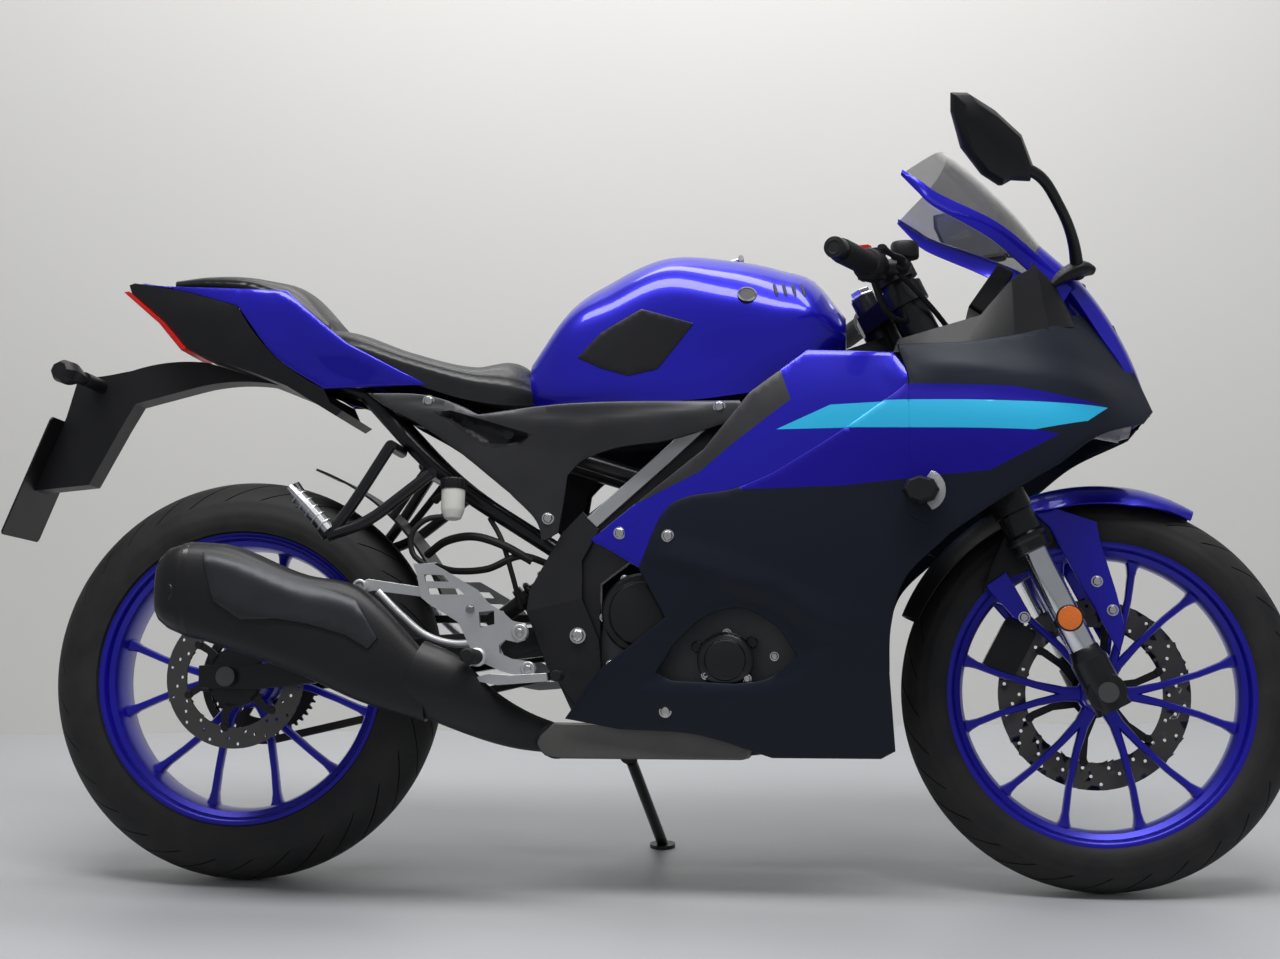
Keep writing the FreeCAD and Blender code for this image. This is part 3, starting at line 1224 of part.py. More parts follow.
keep("fuel_cap", make_cap())
SEAT_ROWS = (
    (0.095, ((0.62, 0.722), (0.66, 0.745), (0.50, 0.760), (0.0, 0.764))),
    (0.135, ((0.80, 0.700), (0.84, 0.735), (0.62, 0.752), (0.0, 0.757))),
    (0.207, ((0.92, 0.675), (0.98, 0.705), (0.75, 0.722), (0.0, 0.727))),
    (0.284, ((0.96, 0.648), (1.00, 0.680), (0.76, 0.700), (0.0, 0.706))),
    (0.335, ((0.86, 0.642), (0.90, 0.672), (0.66, 0.702), (0.0, 0.708))),
    (0.3665, ((0.60, 0.648), (0.60, 0.662), (0.42, 0.676), (0.0, 0.680))),
)
PILLION_ROWS = (
    (-0.098, ((0.36, 0.825), (0.38, 0.834), (0.28, 0.839), (0.0, 0.842))),
    (-0.050, ((0.50, 0.818), (0.54, 0.832), (0.42, 0.842), (0.0, 0.847))),
    (0.020, ((0.62, 0.800), (0.66, 0.818), (0.52, 0.834), (0.0, 0.840))),
    (0.070, ((0.66, 0.765), (0.70, 0.785), (0.54, 0.812), (0.0, 0.820))),
    (0.105, ((0.64, 0.748), (0.66, 0.758), (0.50, 0.770), (0.0, 0.775))),
)
pillion = crowned(PILLION_ROWS, size.seat_half_width)
keep("passenger_seat", pillion)


# Tail: blue cowls at the sides, black shell behind and below, lamp at the tip
TAIL_TABLE = {
    "stations": ((-0.165, -0.165), (-0.060, -0.060), (0.050, 0.050), (0.140, 0.140), (0.240, 0.240)),
    "levels": (0.62, 0.68, 0.74, 0.79, 0.85),
    "widths": ((0.16, 0.20, 0.26, 0.32, 0.34), (0.40, 0.50, 0.60, 0.66, 0.60),
               (0.62, 0.74, 0.84, 0.84, 0.66), (0.78, 0.88, 0.95, 0.86, 0.60),
               (0.92, 1.00, 1.00, 0.82, 0.60)),
}
TAIL_BLUE_SHARES = (((-0.150, 0.835),), ((-0.110, 0.828), (0.054, 0.810)), ((0.097, 0.765), (0.134, 0.730)),
                    ((0.233, 0.670),), ((0.102, 0.670),), ((0.045, 0.713), (-0.008, 0.790)),
                    ((-0.075, 0.815),))
TAIL_BLACK_SHARES = (((-0.158, 0.833),), ((-0.150, 0.835),), ((-0.075, 0.815),),
                     ((-0.008, 0.790),), ((0.045, 0.713), (0.102, 0.670)), ((0.117, 0.633),),
                     ((0.056, 0.676), (0.002, 0.701)), ((-0.059, 0.725),), ((-0.077, 0.738),),
                     ((-0.106, 0.776), (-0.154, 0.820)))
TAIL_FLOOR_SHARES = (((0.117, 0.633),), ((0.125, 0.640),), ((0.056, 0.684), (0.002, 0.709)),
                     ((-0.059, 0.733),), ((-0.072, 0.742),), ((-0.100, 0.780), (-0.146, 0.822)),
                     ((-0.154, 0.820),), ((-0.106, 0.776), (-0.077, 0.738)), ((-0.059, 0.725),),
                     ((0.002, 0.701), (0.056, 0.676)))
TAIL_LAMP_SHARES = (((-0.158, 0.824),), ((-0.106, 0.774),), ((-0.077, 0.736),), ((-0.084, 0.734),),
                    ((-0.114, 0.774),), ((-0.166, 0.824),))


def make_tail():
    skin = right_skin(TAIL_TABLE, size.tail_half_width, size.panel_thickness)
    reach = size.tail_half_width
    blue = cut_out(skin, TAIL_BLUE_SHARES, reach)
    keep("tail_cowl_right", blue)
    keep("tail_cowl_left", mirrored(blue))
    black = cut_out(skin, TAIL_BLACK_SHARES, reach)
    form = whole_form(TAIL_TABLE, size.tail_half_width)
    under = form.common(side_prism(TAIL_FLOOR_SHARES, -reach, reach))
    keep("tail_shell", fused([under, black, mirrored(black)]))
    lamp = form.common(side_prism(TAIL_LAMP_SHARES, -reach, reach))
    keep("tail_lamp", lamp.cut(under))
    seat = crowned(SEAT_ROWS, size.seat_half_width).cut(kept_shape("tank_cover")).cut(pillion)
    keep("rider_seat", biggest(seat.cut(blue).cut(mirrored(blue))))


make_tail()

# Plate hanger with its arm, the plate and all four indicators
PLATE_TOP = at(-0.240, 0.640)
PLATE_TILT = 22.0
PLATE_UP = Vector(math.sin(math.radians(PLATE_TILT)), 0, math.cos(math.radians(PLATE_TILT)))
PLATE_BACK = Vector(-PLATE_UP.z, 0, PLATE_UP.x)
HANGER_SEAT = PLATE_TOP + PLATE_UP * size.plate_corner - PLATE_BACK * size.seat_gap
HANGER_FOOT = PLATE_TOP - PLATE_UP * (size.plate_height * 0.6) - PLATE_BACK * size.seat_gap


def side_share(point):
    return point.x / size.wheelbase, point.z / BODY_HEIGHT


HANGER_SHARES = (((-0.060, 0.722),), ((-0.117, 0.722), (-0.156, 0.712)), ((-0.185, 0.706),),
                 ((-0.225, 0.700),), (side_share(HANGER_SEAT),), (side_share(HANGER_FOOT),),
                 ((-0.205, 0.548),), ((-0.168, 0.628),), ((-0.150, 0.664),),
                 ((-0.078, 0.685),), ((0.010, 0.692), (0.045, 0.684)), ((0.002, 0.700),))


INDICATOR_SHARE = (-0.195, 0.690)


def make_plate_hanger():
    arm = side_prism(HANGER_SHARES, -size.hanger_half, size.hanger_half)
    reach = size.rear_indicator_offset
    cross = rod(at(*INDICATOR_SHARE, -reach), at(*INDICATOR_SHARE, reach), size.bar_radius)
    return biggest(fused([arm, cross]).cut(kept_shape("tail_shell")))


keep("plate_hanger", make_plate_hanger())


def make_plate():
    body = new_body("number_plate")
    outline = new_sketch(body, "plate_outline", "XY_Plane")
    half, tall = "plate_width / 2", "plate_height"
    add_corners(outline, (("-" + half, "0"), (half, "0"), (half, "-" + tall), ("-" + half, "-" + tall)))
    pad = add_pad(body, outline, "plate_thickness", False)
    doc.recompute()
    edges = ["Edge%d" % number for number, edge in enumerate(pad.Shape.Edges, 1)
             if abs(edge.BoundBox.ZLength - size.plate_thickness) < size.seat_gap]
    rounded = body.newObject("PartDesign::Fillet", "plate_corners")
    rounded.Base = (pad, edges)
    bind(rounded, "Radius", "plate_corner")
    body.Tip = rounded
    doc.recompute()
    return body


def place_plate(body):
    """Lays the plate across the bike, its foot further back than its top."""
    across, up, out = Vector(0, -1, 0), PLATE_UP, PLATE_BACK
    frame = FreeCAD.Matrix(across.x, up.x, out.x, PLATE_TOP.x, across.y, up.y, out.y, PLATE_TOP.y,
                           across.z, up.z, out.z, PLATE_TOP.z, 0, 0, 0, 1)
    return Placement(frame)


plate_body = make_plate()
keep_object("number_plate", plate_body, place_plate(plate_body))


def make_indicators():
    """Rear indicators on the plate hanger's cross rod, front ones on the side fairings."""
    made = []
    hanger = kept_shape("plate_hanger")
    for side in (-1, 1):
        foot = at(*INDICATOR_SHARE, side * size.rear_indicator_offset)
        tip = foot + Vector(-18, side * 62, 4)
        made.append(pod(foot + Vector(0, side * size.seat_gap, 0), tip, Vector(0, 0, 1),
                        ((0, 8, 8), (0.25, 12, 13), (0.6, 19, 22), (1, 13, 15))))
        made[-1] = biggest(made[-1].cut(hanger))
        foot = at(0.800, 0.510, side * 205)
        front = pod(foot, foot + Vector(-6, side * 51, 0), Vector(0, 0, 1),
                    ((0, 11, 13), (0.3, 17, 22), (0.7, 21, 27), (1, 16, 20)))
        for panel_name in ("side_fairing", "belly_fairing"):
            panel = kept_shape(panel_name + ("_right" if side < 0 else "_left"))
            front = biggest(front.cut(panel))
        made.append(front)
    return Part.makeCompound(made)


# Side covers below the seat
SIDE_COVER_SHARES = (((0.158, 0.661),), ((0.238, 0.654), (0.275, 0.639), (0.294, 0.627)),
                     ((0.370, 0.637), (0.598, 0.638)), ((0.602, 0.630),), ((0.598, 0.614), (0.578, 0.605)),
                     ((0.522, 0.587), (0.445, 0.574), (0.415, 0.560), (0.400, 0.542)),
                     ((0.396, 0.511), (0.389, 0.467)), ((0.370, 0.454),), ((0.366, 0.475), (0.332, 0.520)),
                     ((0.256, 0.590), (0.219, 0.618)), ((0.181, 0.642),))
side_cover = cut_out(right_skin(COVER_TABLE, size.fairing_half_width, size.panel_thickness),
                     SIDE_COVER_SHARES, size.fairing_half_width)
keep("side_cover_right", side_cover)
keep("side_cover_left", mirrored(side_cover))

# Fairing skin: half widths at the stations along the bike and the levels up it
UPPER_SHARES = (((0.774, 0.706),), ((0.869, 0.711), (0.942, 0.735), (0.981, 0.763)), ((1.026, 0.753),),
                ((1.064, 0.630),), ((1.050, 0.610),), ((0.988, 0.581), (0.951, 0.548)),
                ((0.883, 0.500), (0.827, 0.456)), ((0.786, 0.480),), ((0.786, 0.656),), ((0.784, 0.668),))
BELLY_SHARES = (((0.786, 0.4795),), ((0.827, 0.4555),), ((0.778, 0.397), (0.764, 0.340), (0.762, 0.280)),
                ((0.768, 0.183),), ((0.752, 0.173),), ((0.632, 0.173),), ((0.550, 0.202), (0.460, 0.209)),
                ((0.399, 0.222),), ((0.440, 0.285),), ((0.515, 0.352),), ((0.485, 0.416),),
                ((0.523, 0.499), (0.598, 0.519), (0.636, 0.537)), ((0.708, 0.588), (0.774, 0.642)),
                ((0.786, 0.6555),))
WINDOW_SHARES = (((0.504, 0.282),), ((0.525, 0.319),), ((0.561, 0.354), (0.601, 0.364), (0.641, 0.340)),
                 ((0.661, 0.303),), ((0.629, 0.275), (0.593, 0.268)), ((0.521, 0.272),))
MIDDLE_SHARES = (((0.610, 0.646),), ((0.674, 0.702),), ((0.770, 0.696),), ((0.792, 0.660),),
                 ((0.782, 0.640),), ((0.715, 0.580), (0.640, 0.528)), ((0.530, 0.490),), ((0.490, 0.413),),
                 ((0.453, 0.439),), ((0.429, 0.453),), ((0.491, 0.509),), ((0.558, 0.570),))


def make_fairing():
    """Outer side panels with the blue middle panel seated behind them."""
    reach = size.fairing_half_width
    outer = right_skin(FAIRING_TABLE, reach, size.panel_thickness)
    upper = cut_out(outer, UPPER_SHARES, reach)
    belly = cut_out(outer, BELLY_SHARES, reach)
    belly = belly.cut(side_prism(WINDOW_SHARES, -reach - size.overrun, 0))
    inset = size.panel_thickness + size.seat_gap
    inner = right_skin(FAIRING_TABLE, reach, size.panel_thickness, inset)
    middle = cut_out(inner, MIDDLE_SHARES, reach)
    for name, shape in (("side_fairing", upper), ("belly_fairing", belly), ("middle_panel", middle)):
        keep(name + "_right", shape)
        keep(name + "_left", mirrored(shape))


make_fairing()
keep("indicators", make_indicators())

# Nose, windscreen, headlamp and cockpit
NOSE_ROWS = (
    ((0.944, 0.868), (0.934, 0.845), 0.50),
    ((0.991, 0.816), (0.974, 0.794), 0.46),
    ((1.029, 0.751), (1.008, 0.733), 0.42),
    ((1.052, 0.690), (1.036, 0.680), 0.40),
    ((1.066, 0.632), (1.052, 0.622), 0.34),
)
nose = crosswise_sheet(NOSE_ROWS, size.screen_half_width, size.panel_thickness)
for panel_name in ("side_fairing_right", "side_fairing_left"):
    nose = biggest(nose.cut(kept_shape(panel_name)))
keep("nose_cowl", nose)
SCREEN_FOOT_SHARE = 0.838
SCREEN_SHARES = (
    ((0.839, 0.98765), (0.783, 0.64815), 1.00),
    ((0.875, 0.75926), (0.825, 0.45062), 0.95),
    ((0.910, 0.48765), (0.890, 0.23457), 0.80),
    ((0.9485, 0.14815), (0.938, 0.0), 0.50),
)


def screen_spot(x_share, rise_share, y=0.0):
    """A point between the foot of the windscreen and the overall height."""
    foot = SCREEN_FOOT_SHARE * BODY_HEIGHT
    return Vector(x_share * size.wheelbase, y, foot + rise_share * (size.overall_height - foot))


screen = crosswise_sheet(SCREEN_SHARES, size.screen_half_width, size.screen_thickness, screen_spot)
keep("windscreen", biggest(screen.cut(nose)))


LAMP_SPOT = at(1.035, 0.625)
LAMP_AXIS = Vector(1, 0, -0.2).normalize()


def make_headlamp():
    """A round projector under the nose in its dark housing."""
    radius = size.lamp_radius
    housing = rod(LAMP_SPOT - LAMP_AXIS * (3 * radius), LAMP_SPOT, radius)
    lens = Part.makeCone(radius * 0.9, radius * 0.7, radius * 0.4, LAMP_SPOT, LAMP_AXIS)
    return fused([housing, lens])


keep("headlamp", make_headlamp())


TRIM_ROWS = (
    ((0.770, 0.694, 0.89), (0.776, 0.716, 0.76)),
    ((0.850, 0.700, 0.87), (0.868, 0.748, 0.72)),
    ((0.905, 0.716, 0.74), (0.905, 0.800, 0.62)),
    ((0.945, 0.729, 0.61), (0.934, 0.822, 0.50)),
)


def make_cockpit():
    """Dark trim each side of the clocks, from the fairing's top edge up to the windscreen."""
    sections = []
    for low, high in TRIM_ROWS:
        outer = [at(x_share, z_share, -share * size.fairing_half_width) for x_share, z_share, share in
                 (low, high)]
        inner = [point + Vector(0, size.panel_thickness, 0) for point in reversed(outer)]
        sections.append(outer + inner)
    right = loft(sections, True)
    right = biggest(right.cut(kept_shape("side_fairing_right")).cut(kept_shape("belly_fairing_right")))
    right = biggest(right.cut(kept_shape("nose_cowl")).cut(kept_shape("middle_panel_right")))
    return Part.makeCompound([right, mirrored(right)])


keep("cockpit_trim", make_cockpit())


CLOCK_SHARE = (0.885, 0.800)


def make_instruments():
    depth, width, height = size.clock_depth, size.clock_width, size.clock_height
    box = Part.makeBox(depth, width, height, Vector(-depth / 2, -width / 2, -height / 2))
    corners = [edge for edge in box.Edges if abs(edge.Length - depth) < size.running_gap]
    box = box.makeFillet(size.clock_corner, corners)
    box.rotate(Vector(0, 0, 0), Vector(0, 1, 0), size.clock_tilt)
    box.translate(at(*CLOCK_SHARE))
    return box


keep("instrument_panel", make_instruments())


STAY_BAR_SHARE = (0.9157, 0.7056)
CLOCK_STEM_SHARE = 0.8


def make_cowl_stay():
    """The stay from the steering head that carries the nose, clocks, lamp and fairing."""
    start = along_steering(size.stay_along, size.head_tube_radius + size.seat_gap)
    end = at(*STAY_BAR_SHARE)
    spine = rod(start, end, size.stay_radius)
    bar = bosses([end], -size.stay_radius, size.stay_radius, BEHIND_OUTER)
    clocks = rod(end, at(*CLOCK_SHARE), size.stay_radius * CLOCK_STEM_SHARE)
    lamp = rod(end, LAMP_SPOT - LAMP_AXIS * (size.lamp_radius * 2), size.stay_radius)
    made = fused([spine, clocks, lamp] + bar)
    for name in ("instrument_panel", "headlamp", "cockpit_trim", "main_frame"):
        made = made.cut(kept_shape(name))
    return biggest(made)


keep("cowl_stay", make_cowl_stay())


MIRROR_ROWS = ((0, 10, 6), (0.12, 26, 14), (0.45, 40, 20), (0.8, 32, 16), (1, 14, 6))
MIRROR_BASE_ROWS = ((0, 8, 8), (0.5, 22, 14), (1, 8, 8))


def make_mirror(side):
    """A swept head on a stalk whose foot is on the nose."""
    span = size.mirror_span
    inner = at(0.917, 0.918, side * span * 0.69)
    outer = at(0.834, 0.996, side * (span - size.bar_radius / 2))
    head = pod(inner, outer, Vector(1, 0, 1), MIRROR_ROWS)
    stalk = bent_tube([at(0.980, 0.820, side * span * 0.18), at(0.962, 0.872, side * span * 0.45),
                       inner + (outer - inner) * 0.15], size.stay_radius)
    base = pod(at(0.955, 0.800, side * span * 0.20), at(1.000, 0.828, side * span * 0.165),
               Vector(0, 0, 1), MIRROR_BASE_ROWS)
    made = fused([head, stalk, base])
    for name in ("nose_cowl", "windscreen", "cockpit_trim"):
        made = made.cut(kept_shape(name))
    return biggest(made)


keep("mirrors", Part.makeCompound([make_mirror(-1), make_mirror(1)]))

# Foot controls
HEEL_PLATE_SHARES = (((0.222, 0.418),), ((0.266, 0.417),), ((0.311, 0.386),), ((0.357, 0.345),),
                     ((0.372, 0.318),), ((0.372, 0.280),), ((0.345, 0.272),), ((0.318, 0.295),),
                     ((0.262, 0.350),), ((0.222, 0.360),), ((0.214, 0.375),))
HEEL_SLOT_SHARES = (((0.246, 0.372),), ((0.300, 0.374),), ((0.275, 0.402),), ((0.250, 0.404),))
LOWER_SLOT_SHARES = (((0.320, 0.345),), ((0.338, 0.330),), ((0.338, 0.345),), ((0.325, 0.358),))
PEDAL_SHARES = (((0.330, 0.292),), ((0.345, 0.292),), ((0.400, 0.285),), ((0.409, 0.276),),
                ((0.400, 0.268),), ((0.345, 0.270),), ((0.330, 0.276),))


PEG_SHARE = (0.305, 0.300)
PEG_NECK_SHARE = 0.8


def make_rearset(side):
    """Heel plate with its slots, peg, pedal and the arm to the frame."""
    start = side * size.rearset_offset
    end = start + side * size.heel_plate
    plate = side_prism(HEEL_PLATE_SHARES, start, end)
    for slot in (HEEL_SLOT_SHARES, LOWER_SLOT_SHARES):
        plate = plate.cut(side_prism(slot, start - side * size.overrun, end + side * size.overrun))
    pedal = side_prism(PEDAL_SHARES, end, end + side * size.heel_plate)
    peg_foot = at(*PEG_SHARE, end)
    shoulder = peg_foot + Vector(0, side * size.peg_neck, 0)
    neck = rod(peg_foot - Vector(0, side * size.overrun, 0), shoulder, size.peg_radius * PEG_NECK_SHARE)
    peg = rod(shoulder, peg_foot + Vector(0, side * size.peg_length, 0), size.peg_radius)
    rubber = at(0.398, 0.276, end)
    toe = rod(rubber, rubber + Vector(0, side * size.peg_length / 2, 0), size.peg_radius * 0.8)
    bosses = []
    for x_share, z_share in ((0.368, 0.312), (0.352, 0.290)):
        foot = at(x_share, z_share, side * (size.beam_offset))
        bosses.append(rod(foot, at(x_share, z_share, start), size.bar_radius))
    return fused([plate, pedal, neck, peg, toe] + bosses)


keep("rearset_right", make_rearset(-1))
keep("rearset_left", make_rearset(1))


def make_passenger_brackets():
    """Passenger peg brackets: two arms that meet at a folded peg."""
    made = []
    for side in (-1, 1):
        y = side * size.bracket_offset
        inner = side * SUBFRAME_HALF
        foot = at(0.124, 0.462, y)
        arms = [bent_tube([at(0.195, 0.583, y), at(0.150, 0.500, y), foot], size.bar_radius * 0.8),
                bent_tube([at(0.243, 0.545, y), at(0.170, 0.480, y), foot], size.bar_radius * 0.8)]
        legs = [rod(at(0.195, 0.583, y), at(0.195, 0.583, inner), size.bar_radius * 0.8),
                rod(at(0.243, 0.545, y), at(0.243, 0.545, inner), size.bar_radius * 0.8)]
        peg = rod(foot, at(0.082, 0.530, y), size.peg_radius * 0.9)
        made.append(biggest(fused(arms + legs + [peg]).cut(kept_shape("rear_subframe"))))
    return Part.makeCompound(made)


keep("passenger_brackets", make_passenger_brackets())


ARCH_HANG_SHARE = (0.232, 0.572)


def make_wheel_arch():
    """The rear wheel's inner fender under the seat."""
    inner = size.rear_tyre_radius + 2 * size.fender_gap
    outer = inner + size.panel_thickness
    half = size.rear_tyre_half + size.panel_thickness
    corners = [Vector(0, y, z) for y, z in ((-half, inner), (half, inner), (half, outer), (-half, outer))]
    face = Part.Face(Part.makePolygon(corners + corners[:1]))
    face.rotate(Vector(0, 0, 0), Vector(0, 1, 0), size.arch_start)
    made = face.revolve(Vector(0, 0, 0), Vector(0, 1, 0), size.arch_sweep)
    made.translate(REAR_AXLE)
    pieces = [made]
    turn = math.radians(size.arch_strut_turn)
    reach = (inner + outer) / 2
    for side in (-1, 1):
        foot = REAR_AXLE + Vector(reach * math.cos(turn), side * size.rear_tyre_half, reach * math.sin(turn))
        pieces.append(rod(foot, at(*ARCH_HANG_SHARE, side * SUBFRAME_HALF), size.stand_pin_radius))
    return biggest(fused(pieces).cut(kept_shape("rear_subframe")))


keep("rear_wheel_arch", make_wheel_arch())

# The side stand's leg with its eye and foot
def make_side_stand():
    eye = rod(STAND_PIVOT - STAND_AXIS * size.stand_eye_half, STAND_PIVOT + STAND_AXIS * size.stand_eye_half,
              size.stand_eye_radius)
    leg = rod(STAND_PIVOT + STAND_DOWN * (size.stand_eye_radius - size.overrun), STAND_FOOT,
              size.stand_radius)
    foot = rod(STAND_FOOT - FLOOR_UP * size.stand_foot_height, STAND_FOOT, size.stand_foot_radius)
    made = fused([eye, leg, foot])
    reach = STAND_AXIS * (2 * size.stand_eye_half)
    return made.cut(rod(STAND_PIVOT - reach, STAND_PIVOT + reach, size.stand_pin_radius + size.running_gap))


keep("side_stand", make_side_stand())


def set_origin():
    """Moves the whole bike so that its origin is at its box's bottom centre."""
    doc.recompute()
    whole = FreeCAD.BoundBox()
    for made in parts.values():
        whole.add(made.Shape.optimalBoundingBox(False, False))
    shift = Vector(-whole.Center.x, -whole.Center.y, 0)
    for made in parts.values():
        made.Placement = Placement(shift, Rotation()).multiply(made.Placement)
    return shift


ORIGIN_SHIFT = set_origin()


def write_parts():
    """Checks every object, then writes each sub-part to its own file."""
    doc.recompute()
    for made in doc.Objects:
        if "Invalid" in made.State or "Error" in made.State:
            raise RuntimeError("%s failed: %s" % (made.Label, made.getStatusString()))
    for name, made in parts.items():
        if made.Shape.isNull() or not made.Shape.isValid():
            raise RuntimeError("%s is not a valid shape" % name)
    os.makedirs("parts", exist_ok=True)
    for name, made in parts.items():
        made.Shape.exportStep("parts/%s.step" % name)
        box = made.Shape.BoundBox
        print("%-22s solids %2d volume %9.0f  x %6.0f %6.0f  y %5.0f %5.0f  z %5.0f %5.0f" % (
            name, len(made.Shape.Solids), made.Shape.Volume, box.XMin, box.XMax, box.YMin, box.YMax,
            box.ZMin, box.ZMax))


write_parts()
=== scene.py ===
# %% [markdown]
# A packed sport bike comes in as plain solids that are true in size. This file dresses it: the
# panels get their curves and paint, the wheels their spokes and tread, the seats their vinyl.
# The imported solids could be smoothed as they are, but a panel drawn again over the same outline
# keeps crisp edges, so most visible pieces are built here and stand where their solid stands.

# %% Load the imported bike
import json
import math
import bpy
import numpy as np
from mathutils import Matrix, Vector, geometry


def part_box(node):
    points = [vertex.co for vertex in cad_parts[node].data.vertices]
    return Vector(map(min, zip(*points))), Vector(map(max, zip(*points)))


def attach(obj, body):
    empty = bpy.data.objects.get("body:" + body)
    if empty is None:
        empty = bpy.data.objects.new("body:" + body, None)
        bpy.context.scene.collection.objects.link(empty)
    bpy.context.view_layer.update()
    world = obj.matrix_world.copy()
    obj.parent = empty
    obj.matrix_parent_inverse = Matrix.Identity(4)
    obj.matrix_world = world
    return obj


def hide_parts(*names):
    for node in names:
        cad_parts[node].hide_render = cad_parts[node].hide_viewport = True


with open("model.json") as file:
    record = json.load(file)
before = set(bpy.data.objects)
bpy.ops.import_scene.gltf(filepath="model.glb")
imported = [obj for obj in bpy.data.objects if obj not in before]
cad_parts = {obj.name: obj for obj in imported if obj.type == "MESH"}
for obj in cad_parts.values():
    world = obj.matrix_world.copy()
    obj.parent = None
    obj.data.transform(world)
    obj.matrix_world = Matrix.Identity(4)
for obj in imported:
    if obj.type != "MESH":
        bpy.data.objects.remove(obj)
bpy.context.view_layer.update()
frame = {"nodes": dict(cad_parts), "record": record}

# %% [markdown]
# The bike is easiest to draw upright, in millimetres: x forward from the rear axle, y to the
# rider's left and z up from the ground. In the frame it leans on its side stand. One matrix takes
# drawn points there. It could be typed as numbers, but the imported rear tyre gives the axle's place.

# %% From the upright drawing to the leaning bike
WHEELBASE, HEIGHT, TRAIL = 1325.0, 1140.0, 88.0
REAR_TYRE, FRONT_TYRE = 313.9, 295.9
LEAN, RAKE = math.radians(11.5), math.radians(25.5)
# A leaning bike rolls onto the round of its tyres, which tips it forwards or back by a hair
TIP = math.radians(-0.016)
REAR_AXLE = np.array((0.0, 0.0, REAR_TYRE))
FRONT_AXLE = np.array((WHEELBASE, 0.0, FRONT_TYRE))
lowest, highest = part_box("rear_tyre")
STAND = (Matrix.Translation((lowest + highest) / 2) @ Matrix.Rotation(TIP, 4, "Y")
         @ Matrix.Rotation(-LEAN, 4, "X") @ Matrix.Scale(0.001, 4) @ Matrix.Translation(-Vector(REAR_AXLE)))
STEER_UP = np.array((-math.sin(RAKE), 0.0, math.cos(RAKE)))
STEER_AHEAD = np.array((math.cos(RAKE), 0.0, math.sin(RAKE)))


def placed(points):
    """Drawn points in millimetres, as metres in the leaning frame."""
    turn = np.array(STAND)
    return np.asarray(points, float) @ turn[:3, :3].T + turn[:3, 3]


def at(x_share, z_share, y=0.0):
    """A drawn point by its shares of the wheelbase and of the height."""
    return np.array((x_share * WHEELBASE, y, z_share * HEIGHT))


def up_fork(distance, ahead=0.0, y=0.0):
    """A drawn point up the steering axis, which meets the ground a trail ahead of the wheel."""
    return np.array((WHEELBASE + TRAIL, y, 0.0)) + STEER_UP * distance + STEER_AHEAD * ahead


print("rear axle in the frame:", placed(REAR_AXLE).round(4))

# %% [markdown]
# A finish is a small network of shader nodes. It could be drawn by hand in the shader editor, but
# that is slow to repeat for some thirty finishes, so a socket is wrapped in a class that knows
# plus, minus and times: a mask then reads as ordinary maths, and each sign adds a Math node.

# %% A socket that does maths
class Value:
    """A shader socket that takes part in Python sums."""

    def __init__(self, finish, socket):
        self.finish, self.socket = finish, socket

    def maths(self, operation, first, second):
        return self.finish.node("ShaderNodeMath", {"operation": operation}, {0: first, 1: second})

    def __add__(self, other):
        return self.maths("ADD", self, other)

    def __radd__(self, other):
        return self.maths("ADD", other, self)

    def __sub__(self, other):
        return self.maths("SUBTRACT", self, other)

    def __rsub__(self, other):
        return self.maths("SUBTRACT", other, self)

    def __mul__(self, other):
        return self.maths("MULTIPLY", self, other)

    def over(self, low, high):
        """How far the value is from low to high, held between 0 and 1."""
        return self.finish.node("ShaderNodeMapRange", {"clamp": True},
                                {"Value": self, "From Min": low, "From Max": high})


print("a socket can now be added, subtracted, multiplied and stretched")

# %% [markdown]
# Every finish starts from the same Principled shader and looks up its noise by the place on the
# object, in metres. Texture pictures would need each piece unwrapped first; noise made from the
# place needs nothing, and it never repeats or shows a seam.

# %% A finish
class Finish:
    """A material round one Principled shader, with a few words to draw its nodes."""

    def __init__(self, name):
        self.material = bpy.data.materials.new(name)
        self.material.use_nodes = True
        self.tree = self.material.node_tree
        self.tree.nodes.clear()
        self.shader = self.tree.nodes.new("ShaderNodeBsdfPrincipled")
        output = self.tree.nodes.new("ShaderNodeOutputMaterial")
        self.tree.links.new(self.shader.outputs[0], output.inputs[0])
        self.place = self.node("ShaderNodeTexCoord", output="Object")

    def feed(self, socket, value):
        if isinstance(value, Value):
            self.tree.links.new(value.socket, socket)
        else:
            socket.default_value = value

    def node(self, kind, settings=(), inputs=(), output=0):
        """Any node: its settings first, then the values or links of its sockets."""
        made = self.tree.nodes.new(kind)
        for name, value in dict(settings).items():
            setattr(made, name, value)
        for name, value in dict(inputs).items():
            self.feed(made.inputs[name], value)
        return Value(self, made.outputs[output])

    def set(self, **sockets):
        for name, value in sockets.items():
            self.feed(self.shader.inputs[name.replace("_", " ")], value)
        return self

    def noise(self, scale, detail=3.0, stretch=(1, 1, 1)):
        """Soft noise, its cells 1 / scale metres wide, stretched where a number is below 1."""
        place = self.node("ShaderNodeVectorMath", {"operation": "MULTIPLY"},
                          {0: self.place, 1: stretch})
        return self.node("ShaderNodeTexNoise", (), {"Vector": place, "Scale": scale, "Detail": detail})

    def cells(self, scale):
        """Small round cells, as a height that grows from the middle of each."""
        return self.node("ShaderNodeTexVoronoi", (), {"Vector": self.place, "Scale": scale}, "Distance")

    def blend(self, mask, first, second):
        """A colour from first to second as the mask goes from 0 to 1."""
        return self.node("ShaderNodeMix", {"data_type": "RGBA"}, {0: mask, 6: first, 7: second}, 2)

    def raised(self, height, strength=0.2, depth=0.001):
        """Lets a height change how light falls, without moving the surface."""
        bump = self.node("ShaderNodeBump", (), {"Height": height, "Strength": strength,
                                                "Distance": depth})
        return self.set(Normal=bump)


